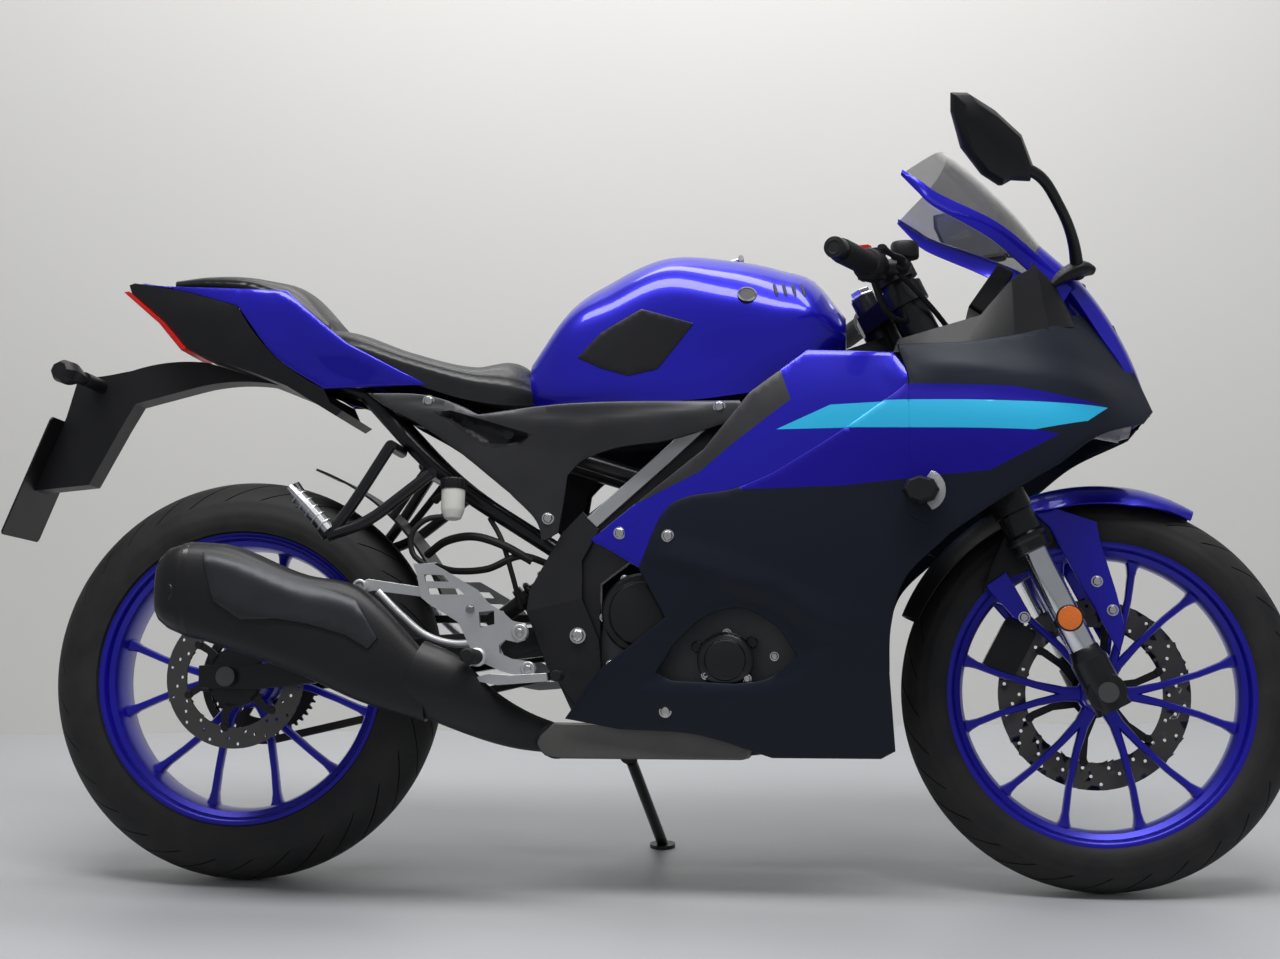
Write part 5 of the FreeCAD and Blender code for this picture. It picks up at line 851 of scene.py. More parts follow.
softbox("ceiling", (-0.1, -0.9, 3.1), (0, -0.2, 0), (3.2, 0.7), 84)
softbox("ceiling_back", (0.2, 0.45, 3.0), (0.1, 0.2, 0), (3.0, 0.5), 46)
for lamp in (softbox("front_fill", (-1.4, -4.0, 2.3), (0, 0, 0.5), (2.2, 1.6), 12),
             softbox("side_fill", (2.6, -3.0, 1.6), (0.3, 0, 0.4), (1.4, 1.6), 7)):
    lamp.visible_glossy = False

# %% [markdown]
# The world round the room gives a weak, even light. Where the camera sees it, directly or through
# glass, it should be a pale backdrop instead, and glossy parts should mirror a little of that. A
# picture of a studio could give both; here the kind of each ray chooses between two strengths.

# %% World
BACKDROP, WORLD_LIGHT, MIRRORED_SHARE = 0.62, 0.17, 0.3
world = bpy.data.worlds.new("room")
bpy.context.scene.world = world
world.use_nodes = True
tree = world.node_tree
background = tree.nodes["Background"]
background.inputs["Color"].default_value = (0.92, 0.95, 1.0, 1.0)
rays, strength = tree.nodes.new("ShaderNodeLightPath"), tree.nodes.new("ShaderNodeMapRange")
direct, glossy = tree.nodes.new("ShaderNodeMath"), tree.nodes.new("ShaderNodeMath")
glossy.operation = "MULTIPLY_ADD"
glossy.inputs[1].default_value = MIRRORED_SHARE
strength.inputs["To Min"].default_value = WORLD_LIGHT
strength.inputs["To Max"].default_value = BACKDROP
for source, target in ((rays.outputs["Is Camera Ray"], direct.inputs[0]),
                       (rays.outputs["Is Transmission Ray"], direct.inputs[1]),
                       (rays.outputs["Is Glossy Ray"], glossy.inputs[0]),
                       (direct.outputs[0], glossy.inputs[2]),
                       (glossy.outputs[0], strength.inputs["Value"]),
                       (strength.outputs[0], background.inputs["Strength"])):
    tree.links.new(source, target)
print("world strength from", WORLD_LIGHT, "to", BACKDROP)

# %% [markdown]
# A tyre is a ring with a round crown. Its grooves could be painted as bumps, but at the edge of
# the tyre they would vanish, so they are cut: the ring's columns lean along each groove, and the
# columns inside a groove are pushed in. Fine rings on the sidewall show where the mould closed.

# %% Tyres
RIM_RADIUS = 229.0
TREAD_EDGE = 64
GROOVE_DEPTH, GROOVE_CUTS = 3.6, (0, 0.7, 3.3, 4.0)


def tyre_ring(name, node, centre, outer, half, body, pitches, lean):
    """A tyre whose grooves follow the leaning columns of its grid; angles are in degrees."""
    crown = outer - half
    degrees = np.concatenate((np.linspace(-104, -66, 9), np.linspace(-63, 63, 43), np.linspace(66, 104, 9)))
    turns = np.radians(degrees)
    radius, y = crown + half * np.cos(turns), half * np.sin(turns)
    # Sidewalls: a shallow step below the tread and a ring near the rim
    step = np.zeros_like(degrees)
    step[np.abs(degrees) > TREAD_EDGE] = 0.8
    step[np.abs(np.abs(degrees) - 82) < 3] = 0.1
    step[np.abs(degrees) > 97] = 1.6
    pitch = 2 * math.pi / pitches
    width = pitch * outer
    # In each pitch one groove on the left half of the tread (1) and one on the right half (-1)
    cuts = GROOVE_CUTS + (11, 19) + tuple(0.5 * width + cut for cut in GROOVE_CUTS + (12, 20))
    flags = (0, 1, 1, 0, 0, 0, 0, -1, -1, 0, 0, 0)
    angles, grooves = [], []
    for number in range(pitches):
        for cut, flag in zip(cuts, flags):
            angles.append(number * pitch + cut / outer)
            grooves.append(flag)
    angles, grooves = np.array(angles), np.array(grooves)
    share = np.abs(degrees) / TREAD_EDGE
    shear = np.radians(lean) * np.minimum(share, 1) ** 1.3
    points = []
    for turn_deg, reach, side, low, slide in zip(degrees, radius, y, step, shear):
        # A groove opens beside the middle of the tread and closes before its edge
        open_share = np.clip((np.sign(turn_deg) * grooves * abs(turn_deg) - 7) / 6, 0, 1)
        open_share = open_share * np.clip((TREAD_EDGE - 4 - abs(turn_deg)) / 5, 0, 1)
        depth = low + GROOVE_DEPTH * open_share
        shrink = (half - depth) / half
        spot = angles + slide
        ring_radius = crown + (reach - crown) * shrink
        points.append(np.column_stack((centre[0] + ring_radius * np.cos(spot), side * shrink,
                                       centre[2] + ring_radius * np.sin(spot))))
    lip = [(RIM_RADIUS + 0.6, half * 0.86), (RIM_RADIUS - 3, half * 0.80)]
    for sign, end in ((-1, 0), (1, -1)):
        rings = []
        for reach, side in lip:
            spot = angles + shear[end]
            rings.append(np.column_stack((centre[0] + reach * np.cos(spot), np.full(len(spot), sign * side),
                                          centre[2] + reach * np.sin(spot))))
        points = rings[::-1] + points if sign < 0 else points + rings
    made = piece(name, np.vstack(points), grid_faces(len(points), len(angles), close_columns=True), body,
                 "tyre_rubber", sharp=28)
    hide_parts(node)
    print(name, "faces:", len(made.data.polygons))


tyre_ring("rear_tyre_tread", "rear_tyre", REAR_AXLE, REAR_TYRE, 67.5, "rear_wheel", 30, 20)
tyre_ring("front_tyre_tread", "front_tyre", FRONT_AXLE, FRONT_TYRE, 49.0, "front_wheel", 30, 15)

# %% [markdown]
# A cast wheel is a turned rim with paired spokes that flare where they meet the rim and the hub.
# A boolean of plain bars would leave hard joints, so each spoke is a loft whose ends widen, and
# it simply runs into the rim. The painted lip outside the tyre's bead catches the light.

# %% Rims
RIM_STEPS = 160
SPOKE_SECTION = ((-1, -0.62), (-0.7, -0.92), (0, -1), (0.7, -0.92), (1, -0.62), (1, 0.62), (0.7, 0.92),
                 (0, 1), (-0.7, 0.92), (-1, 0.62))


def wheel_ways(turn):
    """Outwards from an axle at an angle, and square to that in the wheel's plane."""
    return np.array((math.cos(turn), 0, math.sin(turn))), np.array((-math.sin(turn), 0, math.cos(turn)))


def rim(name, node, centre, half, hub, hub_half, spread, body):
    """A cast rim: a barrel with a lip on each side, a hub and six pairs of spokes."""
    # How deep below the rim's edge, and how far along the axle; first inside, then under the tyre
    ring = [(0, half - 2), (1, half), (6, half), (9.5, half - 2.5), (11.5, half - 7), (13, half - 12),
            (21, half - 17), (24, half - 26), (25.5, 10), (26, 0)]
    ring += [(deep, -along) for deep, along in reversed(ring[:-1])]
    ring += [(0, -half + 7), (7, -half + 14), (17, -16), (20, 0), (17, 16), (7, half - 14), (0, half - 7)]
    turns = np.linspace(0, 2 * math.pi, RIM_STEPS, endpoint=False)
    points = np.vstack([np.column_stack((centre[0] + (RIM_RADIUS - deep) * np.cos(turns),
                                         np.full(RIM_STEPS, float(along)),
                                         centre[2] + (RIM_RADIUS - deep) * np.sin(turns)))
                        for deep, along in ring])
    parts = [(points, [face[::-1] for face in grid_faces(len(ring), RIM_STEPS, True, True)])]
    bore = [(14, -hub_half), (hub - 8, -hub_half), (hub - 4, -hub_half + 3), (hub - 3, -hub_half * 0.7),
            (hub - 9, -hub_half * 0.45), (hub - 6, -16), (hub, -9), (hub, 9), (hub - 6, 16),
            (hub - 9, hub_half * 0.45), (hub - 3, hub_half * 0.7), (hub - 4, hub_half - 3),
            (hub - 8, hub_half), (14, hub_half)]
    parts.append(turned(bore, centre, (0, 1, 0), 48))
    for number in range(6):
        middle = math.radians(60 * number)
        for sign in (-1, 1):
            rings = []
            # Radius, share of the spread, half width and half depth of the spoke
            rows = ((hub - 10, 0.16, 12.0, 14.0), (hub + 4, 0.20, 9.5, 12.5), (hub + 20, 0.32, 7.0, 10.5),
                    (hub + 60, 0.58, 5.6, 9.5), (150, 0.82, 5.2, 9.5), (186, 0.96, 5.8, 10.5),
                    (198, 1.0, 8.0, 12.5), (207, 1.02, 12.0, 16.0))
            for radius, share, wide, deep in rows:
                out, aside = wheel_ways(middle + sign * math.radians(spread) * share)
                rings.append(np.array([centre + out * radius + aside * (wide * a)
                                       + np.array((0, deep * b, 0)) for a, b in SPOKE_SECTION]))
            parts.append(loft(rings))
    made = group(name, parts, body, "rim_blue", sharp=38)
    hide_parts(node)
    print(name, "faces:", len(made.data.polygons))


rim("rear_rim_cast", "rear_rim", REAR_AXLE, 58, 46, 62, 15, "rear_wheel")
rim("front_rim_cast", "front_rim", FRONT_AXLE, 41, 32, 42, 14, "front_wheel")

# %% [markdown]
# A brake disc is a thin ring with rows of small holes, held by curved arms with round buttons.
# A boolean could drill the holes out of a turned ring, but it is slow for this many. Instead the
# ring's outline and its holes are filled with triangles and given thickness, as sheet is cut.

# %% Brake discs
def circle(x, z, radius, count):
    """A round outline in the side view."""
    turns = np.linspace(0, 2 * math.pi, count, endpoint=False)
    return np.column_stack((x + radius * np.cos(turns), z + radius * np.sin(turns)))


def cut_sheet(name, loops, y, thick, body, finish, spacing=14.0, side=-1, edge=0.4):
    """A flat sheet, cut to outlines in millimetres, its outer face at y."""
    flat, triangles, _, _ = net(loops, spacing, 0.01)
    points = np.column_stack((flat[:, 0], np.full(len(flat), float(y)), flat[:, 1]))
    if side > 0:
        triangles = triangles[:, ::-1]
    return piece(name, points, triangles, body, finish, thick=thick, edge=edge)


def disc(name, node, centre, radius, bore, hub, y, side, body, holes):
    """A drilled brake ring on a carrier with six arms, each with a round button."""
    x, z = centre[0], centre[2]
    loops = [circle(x, z, radius, 96), circle(x, z, bore, 72)]
    width = radius - bore
    for number in range(holes):
        turn = 2 * math.pi * number / holes
        for share, shift in ((0.22, 0), (0.50, 0.33), (0.78, 0.66)):
            spot = turn + shift * 2 * math.pi / holes
            reach = bore + width * share
            loops.append(circle(x + reach * math.cos(spot), z + reach * math.sin(spot), 2.7, 10))
    ring = cut_sheet(name + "_ring", loops, y + side * 2.25, 4.5, body, "disc_steel", 12, side, edge=0)
    carrier = [circle(x, z, hub + 6, 48), circle(x, z, 14, 24)]
    cut_sheet(name + "_carrier", carrier, y + side * 2.0, 4.0, body, "black_metal", 12, side)
    arms = []
    for number in range(6):
        out, aside = wheel_ways(math.radians(60 * number + 20))
        foot = centre + np.array((0, y, 0))
        rows = ((hub, 10, 0), ((hub + bore) / 2, 5.5, -4), (bore - 6, 6, -2), (bore + 5, 8, 2))
        outline = [foot + out * reach + aside * (wide + shift) for reach, wide, shift in rows]
        outline += [foot + out * reach + aside * (-wide + shift) for reach, wide, shift in reversed(rows)]
        arms.append(block([point - np.array((0, 2.0, 0)) for point in outline], (0, 4.0, 0)))
        button = foot + out * (bore + 1)
        arms.append(turned([(5.4, -3.6), (6.2, -3.0), (6.2, 3.0), (5.4, 3.6)], button, (0, 1, 0), 16))
    group(name + "_arms", arms, body, "black_metal", edge=0.4)
    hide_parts(node)
    print(name, "holes:", len(loops) - 2)


disc("front_brake", "front_disc", FRONT_AXLE, 146, 104, 30, 57, 1, "front_wheel", 18)
disc("rear_brake", "rear_disc", REAR_AXLE, 110, 78, 40, -76, -1, "rear_wheel", 14)

# %% [markdown]
# The forms of the fairing, covers and tail: half widths at stations along the bike, from low to
# high. They could be sculpted, but a table of a few widths gives long, clean curves, and creases
# and hollows are then laid on top of it as small functions.

# %% Body forms
FAIRING = Form(215, (0.38, 0.53, 0.66, 0.78, (0.961, 0.832), (1.144, 0.886), (1.310, 0.923)),
               (0.165, 0.27, 0.38, 0.50, 0.62, 0.70, 0.77),
               ((0.56, 0.70, 0.77, 0.80, 0.77, 0.70, 0.63), (0.58, 0.79, 0.88, 0.91, 0.86, 0.77, 0.67),
                (0.60, 0.83, 0.93, 0.97, 0.94, 0.84, 0.72), (0.58, 0.81, 0.93, 0.99, 1.00, 0.88, 0.74),
                (0.51, 0.77, 0.88, 0.98, 1.00, 0.87, 0.68), (0.37, 0.56, 0.70, 0.78, 0.80, 0.65, 0.44),
                (0.05, 0.14, 0.23, 0.29, 0.28, 0.19, 0.12)))
COVER = Form(215, (0.14, 0.26, 0.40, 0.62), (0.44, 0.56, 0.63, 0.67),
             ((0.60, 0.60, 0.585, 0.56), (0.60, 0.625, 0.62, 0.60), (0.615, 0.67, 0.69, 0.66),
              (0.72, 0.80, 0.80, 0.74)))
TAIL = Form(125, (-0.165, -0.060, 0.050, 0.140, 0.240), (0.62, 0.68, 0.74, 0.79, 0.85),
            ((0.16, 0.20, 0.26, 0.32, 0.34), (0.40, 0.50, 0.60, 0.66, 0.60), (0.62, 0.74, 0.84, 0.84, 0.66),
             (0.78, 0.88, 0.95, 0.86, 0.60), (0.92, 1.00, 1.00, 0.82, 0.60)))
UPPER = (((0.774, 0.706),), ((0.869, 0.711), (0.942, 0.735), (0.981, 0.763)), ((1.026, 0.753),),
         ((1.064, 0.630),), ((1.050, 0.610),), ((0.988, 0.581), (0.951, 0.548)),
         ((0.883, 0.500), (0.827, 0.456)), ((0.786, 0.480),), ((0.786, 0.656),), ((0.784, 0.668),))
BELLY = (((0.786, 0.4795),), ((0.827, 0.4555),), ((0.778, 0.397), (0.764, 0.340), (0.762, 0.280)),
         ((0.768, 0.183),), ((0.752, 0.173),), ((0.632, 0.173),), ((0.550, 0.202), (0.460, 0.209)),
         ((0.399, 0.222),), ((0.440, 0.285),), ((0.515, 0.352),), ((0.485, 0.416),),
         ((0.523, 0.499), (0.598, 0.519), (0.636, 0.537)), ((0.708, 0.588), (0.774, 0.642)),
         ((0.786, 0.6555),))
WINDOW = (((0.504, 0.282),), ((0.525, 0.319),), ((0.561, 0.354), (0.601, 0.364), (0.641, 0.340)),
          ((0.661, 0.303),), ((0.629, 0.275), (0.593, 0.268)), ((0.521, 0.272),))
MIDDLE = (((0.610, 0.646),), ((0.674, 0.702),), ((0.770, 0.696),), ((0.792, 0.660),),
          ((0.782, 0.640),), ((0.715, 0.580), (0.640, 0.528)), ((0.530, 0.490),), ((0.490, 0.413),),
          ((0.453, 0.439),), ((0.429, 0.453),), ((0.491, 0.509),), ((0.558, 0.570),))
SIDE_COVER = (((0.158, 0.661),), ((0.238, 0.654), (0.275, 0.639), (0.294, 0.627)),
              ((0.370, 0.637), (0.598, 0.638)), ((0.602, 0.630),), ((0.598, 0.614), (0.578, 0.605)),
              ((0.522, 0.587), (0.445, 0.574), (0.415, 0.560), (0.400, 0.542)),
              ((0.396, 0.511), (0.389, 0.467)), ((0.370, 0.454),), ((0.366, 0.475), (0.332, 0.520)),
              ((0.256, 0.590), (0.219, 0.618)), ((0.181, 0.642),))
TAIL_BLUE = (((-0.150, 0.835),), ((-0.110, 0.828), (0.054, 0.810)), ((0.097, 0.765), (0.134, 0.730)),
             ((0.233, 0.670),), ((0.102, 0.670),), ((0.045, 0.713), (-0.008, 0.790)), ((-0.075, 0.815),))
print("outlines drawn:", len((UPPER, BELLY, WINDOW, MIDDLE, SIDE_COVER, TAIL_BLUE)))

# %% [markdown]
# Coloured bands run over the fairing and the belly. They could be decals, but those are pictures
# that need unwrapped panels, so each band is an outline in the net and its triangles take another
# finish. The creases and hollows that the light shows on each panel are set here too.

# %% Bands, creases and hollows of the sides
MIDDLE_TRIM = (((0.468, 0.500),), ((0.485, 0.501),), ((0.555, 0.541),), ((0.594, 0.579),), ((0.656, 0.634),),
               ((0.640, 0.690),), ((0.600, 0.665),), ((0.545, 0.590),))
STRIPE = (((0.716, 0.594),), ((0.755, 0.629),), ((0.786, 0.629),), ((1.006, 0.624),), ((0.981, 0.603),),
          ((0.922, 0.589),))
BAND = (((0.600, 0.516),), ((0.710, 0.519),), ((0.873, 0.537),), ((0.949, 0.584),), ((0.922, 0.589),),
        ((0.700, 0.597),), ((0.600, 0.545),))
MIDDLE_STRIPE = (((0.640, 0.594),), ((0.700, 0.625),), ((0.800, 0.629),), ((0.800, 0.600),),
                 ((0.715, 0.594),))
BAND_TOP = (((0.730, 0.627),), ((0.745, 0.652),), ((0.900, 0.646),), ((1.006, 0.625),), ((0.900, 0.627),))
FAIRING.features = [crease(((0.784, 0.678), (0.850, 0.676), (0.950, 0.662), (1.030, 0.636)), 6, 34, 40)]
belly_dish = (((0.470, 0.262),), ((0.500, 0.330),), ((0.560, 0.392), (0.640, 0.392)), ((0.705, 0.318),),
              ((0.660, 0.262), (0.600, 0.248)), ((0.520, 0.250),))
belly_form = FAIRING.with_features(
    [hollow(belly_dish, 9, 26),
     crease(((0.490, 0.435), (0.570, 0.410), (0.650, 0.368), (0.735, 0.325)), 5, 40, 16)])
TAIL.features = [crease(((0.030, 0.816), (0.057, 0.798), (0.129, 0.728), (0.226, 0.668)), 5, 14, 46)]
cover_recess = (((0.240, 0.632),), ((0.262, 0.633),), ((0.358, 0.598),), ((0.345, 0.584),), ((0.306, 0.580),))
COVER.features = [hollow(cover_recess, 13, 9),
                  crease(((0.190, 0.640), (0.300, 0.622), (0.420, 0.608), (0.590, 0.626)), 4, 16, 40)]
print("creases and hollows:", len(FAIRING.features + belly_form.features + TAIL.features + COVER.features))

# %% [markdown]
# Each side of the bike is five panels, each drawn once and made for both sides. The upper fairing
# and the belly are one moulding on the real bike. They could be drawn as one outline, but they are
# two parts in the frame, so they meet along a line where neither edge rolls in.

# %% Side panels
JOIN = ((0.827, 0.4558), (0.786, 0.4798), (0.786, 0.650))
BANDS, BAND_FINISHES = (BAND, BAND_TOP, STRIPE), ("matte_navy", "stripe_blue", "stripe_blue", "stripe_cyan")
SIDES = ((-1, "right"), (1, "left"))
for side, word in SIDES:
    made = panel("side_fairing_skin_" + word, UPPER, FAIRING, "chassis", BAND_FINISHES, side, (), BANDS,
                 spacing=8, flush=JOIN)
    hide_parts("side_fairing_" + word)
    made = panel("belly_fairing_skin_" + word, BELLY, belly_form, "chassis", BAND_FINISHES, side, (WINDOW,),
                 BANDS, spacing=8, flush=JOIN)
    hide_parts("belly_fairing_" + word)
    made = panel("middle_panel_skin_" + word, MIDDLE, FAIRING, "chassis",
                 ("gloss_blue", "stripe_cyan", "satin_grey"), side, (), (MIDDLE_STRIPE, MIDDLE_TRIM),
                 inset=3.8)
    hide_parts("middle_panel_" + word)
    made = panel("side_cover_skin_" + word, SIDE_COVER, COVER, "chassis", ("satin_grey", "black_plastic"),
                 side, (), (cover_recess,), spacing=7)
    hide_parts("side_cover_" + word)
    made = panel("tail_cowl_skin_" + word, TAIL_BLUE, TAIL, "chassis", "gloss_blue", side, spacing=7)
    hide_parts("tail_cowl_" + word)
print("side panels made")

# %% [markdown]
# The tank and the seats are crowned bodies: half sections at stations along the bike, smooth both
# ways. They could be carved from a block with the sculpt tools, but sections keep both sides the
# same and can be checked against the solid.

# %% Crowned bodies
def crowned_grid(rows, half, around=10, gap=12.0):
    """A grid over half sections: rows of points from the right edge over the top to the left."""
    xs = np.array([row[0] for row in rows]) * WHEELBASE
    sections = np.array([[(-y * half, z * HEIGHT) for y, z in row[1]] for row in rows])
    count = sections.shape[1]
    full = np.concatenate((sections, (sections * (-1, 1))[:, count - 2::-1]), axis=1)
    spots = np.arange(full.shape[1])
    steps = np.linspace(0, full.shape[1] - 1, around * (full.shape[1] - 1) + 1)
    smoothed = np.array([smooth(spots, section, steps) for section in full])
    along = np.linspace(xs[0], xs[-1], int((xs[-1] - xs[0]) / gap) + 2)
    bent = smooth(xs, smoothed.reshape(len(xs), -1), along).reshape(len(along), len(steps), 2)
    grid = np.empty((len(along), len(steps), 3))
    grid[:, :, 0] = along[:, None]
    grid[:, :, 1:] = bent
    return grid


TANK_ROWS = (
    (0.349, ((0.54, 0.640), (0.60, 0.667), (0.50, 0.700), (0.25, 0.711), (0.0, 0.714))),
    (0.386, ((0.73, 0.640), (0.76, 0.671), (0.66, 0.745), (0.38, 0.772), (0.0, 0.779))),
    (0.445, ((0.85, 0.640), (0.87, 0.675), (0.77, 0.772), (0.47, 0.816), (0.0, 0.829))),
    (0.506, ((0.92, 0.640), (0.92, 0.680), (0.85, 0.794), (0.54, 0.844), (0.0, 0.855))),
    (0.574, ((0.95, 0.645), (0.96, 0.693), (0.95, 0.781), (0.60, 0.838), (0.0, 0.853))),
    (0.642, ((0.95, 0.662), (1.00, 0.711), (0.98, 0.768), (0.63, 0.820), (0.0, 0.838))),
    (0.683, ((0.92, 0.693), (0.95, 0.728), (0.92, 0.763), (0.60, 0.803), (0.0, 0.820))),
    (0.717, ((0.63, 0.712), (0.70, 0.724), (0.66, 0.741), (0.44, 0.759), (0.0, 0.772))),
)
TANK_HALF = 158
tank = crowned_grid(TANK_ROWS, TANK_HALF)
rows, columns = tank.shape[:2]
tank_skin = piece("tank_skin", tank.reshape(-1, 3), grid_faces(rows, columns) + end_faces(rows, columns),
                  "chassis", "gloss_blue", sharp=50)
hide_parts("tank_cover")
print("tank faces:", len(tank_skin.data.polygons))

# %% [markdown]
# The seats are foam under vinyl, stretched over a base. Cloth could be simulated over the foam,
# but on so firm a pad the result is a crowned top that sinks a little, two stitched seams and a
# few puckers, and these are worked out directly. The vinyl's grain comes from its finish.

# %% Seats
SEAT_ROWS = (
    (0.095, ((0.62, 0.722), (0.66, 0.745), (0.50, 0.760), (0.0, 0.764))),
    (0.135, ((0.80, 0.700), (0.84, 0.735), (0.62, 0.752), (0.0, 0.757))),
    (0.207, ((0.92, 0.675), (0.98, 0.705), (0.75, 0.722), (0.0, 0.727))),
    (0.284, ((0.96, 0.648), (1.00, 0.680), (0.76, 0.700), (0.0, 0.706))),
    (0.335, ((0.86, 0.642), (0.90, 0.672), (0.66, 0.702), (0.0, 0.708))),
    (0.3665, ((0.60, 0.648), (0.60, 0.662), (0.42, 0.676), (0.0, 0.680))),
)
PILLION_ROWS = (
    (-0.098, ((0.36, 0.825), (0.38, 0.834), (0.28, 0.839), (0.0, 0.842))),
    (-0.050, ((0.50, 0.818), (0.54, 0.832), (0.42, 0.842), (0.0, 0.847))),
    (0.020, ((0.62, 0.800), (0.66, 0.818), (0.52, 0.834), (0.0, 0.840))),
    (0.070, ((0.66, 0.765), (0.70, 0.785), (0.54, 0.812), (0.0, 0.820))),
    (0.105, ((0.64, 0.748), (0.66, 0.758), (0.50, 0.770), (0.0, 0.775))),
)


def seat(name, node, sections, half):
    """A padded seat with a seam along each shoulder."""
    grid = crowned_grid(sections, half, 8, 6)
    rows, columns = grid.shape[:2]
    # A stitched seam along each shoulder, with the vinyl puckered a little beside it
    for column, depth in ((7, 0.5), (8, 2.2), (9, 0.5)):
        for spot in (column, columns - 1 - column):
            pucker = 0.5 * np.sin(np.arange(rows) * 1.9 + spot)
            grid[:, spot, 1] *= 1 - (depth + pucker * (depth < 1)) / half
            grid[:, spot, 2] -= (depth + pucker * (depth < 1)) * 0.8
    # The foam sinks a little between the seams, most in the middle of the seat
    over = np.clip(1 - (np.linspace(-1, 1, columns) / 0.62) ** 2, 0, 1)
    grid[:, :, 2] -= over * np.sin(np.linspace(0, math.pi, rows))[:, None] * 4.0
    made = piece(name, grid.reshape(-1, 3), grid_faces(rows, columns) + end_faces(rows, columns), "chassis",
                 "seat_vinyl", sharp=60)
    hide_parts(node)


SEAT_HALF = 128
seat("rider_seat_pad", "rider_seat", SEAT_ROWS, SEAT_HALF)
seat("passenger_seat_pad", "passenger_seat", PILLION_ROWS, SEAT_HALF)
print("seats made")

# %% [markdown]
# The nose and the windscreen are sheets bent over the middle of the bike. A plane could be pulled
# into shape point by point, but the two sides would drift apart. Each sheet is given by a line
# along its middle and a line along its edge, with a rounded shoulder between them.

# %% Nose and windscreen
def bent_sheet(rows):
    """A grid over a sheet given by its middle, its edge and its width at a few stations."""
    half, gap, around = 148, 9.0, 18
    frames = []
    for middle, edge, share in rows:
        top, rim_point = at(*middle), at(*edge, -share * half)
        shoulder = top + (rim_point - top) * 0.25
        shoulder[1] = rim_point[1] * 0.62
        right = [rim_point, shoulder, top]
        frames.append(right + [point * (1, -1, 1) for point in right[1::-1]])
    frames = np.array(frames)
    lengths = lengths_to(frames[:, 2])
    steps = np.linspace(0, 4, around * 2 + 1)
    smoothed = np.array([smooth(np.arange(5), frame_row, steps) for frame_row in frames])
    along = np.linspace(0, lengths[-1], int(lengths[-1] / gap) + 2)
    return smooth(lengths, smoothed.reshape(len(rows), -1), along).reshape(len(along), len(steps), 3)


NOSE_ROWS = (((0.944, 0.868), (0.934, 0.845), 0.50), ((0.991, 0.816), (0.974, 0.794), 0.46),
             ((1.029, 0.751), (1.008, 0.733), 0.42), ((1.052, 0.690), (1.036, 0.680), 0.40),
             ((1.066, 0.632), (1.052, 0.622), 0.34))
SCREEN_ROWS = (((0.839, 0.998), (0.783, 0.943), 1.00), ((0.875, 0.961), (0.825, 0.911), 0.95),
               ((0.910, 0.917), (0.890, 0.876), 0.80), ((0.9485, 0.862), (0.938, 0.838), 0.50))
SHEETS = (("nose_skin", "nose_cowl", NOSE_ROWS, "gloss_blue", 3.5, 0.8),
          ("screen_skin", "windscreen", SCREEN_ROWS, "smoked_glass", 3, 0.5))
for name, node, stations, finish, thick, edge in SHEETS:
    sheet = bent_sheet(stations)
    rows, columns = sheet.shape[:2]
    made = piece(name, sheet.reshape(-1, 3), [face[::-1] for face in grid_faces(rows, columns)], "chassis",
                 finish, thick=thick, edge=edge, sharp=50)
    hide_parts(node)
print("nose and windscreen made")

# %% [markdown]
# Screws, caps and bolts stand on surfaces that are already there. They could be snapped onto them
# one by one, but a panel's form gives the depth at any spot, so a screw needs only its place in
# the side view. Many screws are joined into one piece, which keeps the list of objects short.

# %% Screws
def screw(spot, radius):
    """A button-head screw with a socket, standing in a thin washer on the right side."""
    rise = 4.0
    profile = [(radius * 1.35, -1.5), (radius * 1.35, 0.6), (radius * 1.05, 1.0), (radius, rise * 0.5),
               (radius * 0.78, rise * 0.9), (radius * 0.45, rise), (radius * 0.38, rise * 0.4),
               (0.4, rise * 0.4)]
    return turned(profile, spot, (0, -1, 0), 18)


def on_form(form, x_share, z_share, out=0.0):
    """A drawn point of the right side, standing out from a form by a small distance."""
    point = at(x_share, z_share)
    point[1] = -(form(np.array([[point[0], point[2]]]))[0] + out)
    return point


def screws(name, spots, body, radius=7.0, sides=True):
    """One piece of many screws, on both sides of the bike or where they are drawn only."""
    heads = [screw(np.array(spot, float), radius) for spot in spots]
    group(name, both(heads) if sides else heads, body, "bright_bolt")


panel_spots = [on_form(FAIRING, 0.464, 0.462, -3.8), on_form(belly_form, 0.519, 0.457),
               on_form(belly_form, 0.514, 0.232), on_form(COVER, 0.234, 0.647), on_form(COVER, 0.377, 0.486),
               on_form(COVER, 0.575, 0.629)]
screws("panel_screws", panel_spots, "chassis")
cap_spots = [(587, -140, 404), (596, -130, 334), (617, -130, 462), (772, -150, 380), (842, -150, 346),
             (802, -158, 313), (741, -158, 318)]
screws("engine_screws", cap_spots, "chassis", 5.0)
print("screws set:", len(panel_spots) + len(cap_spots), "on each side")

# %% [markdown]
# The engine shows through the window of the side panel and beside it. Its round covers are packed
# solids. They could be left as they are, but a raised rim and a domed face make them look cast
# instead of turned from bar. The frame's silver bar and the plate round the pivot are flat faces.

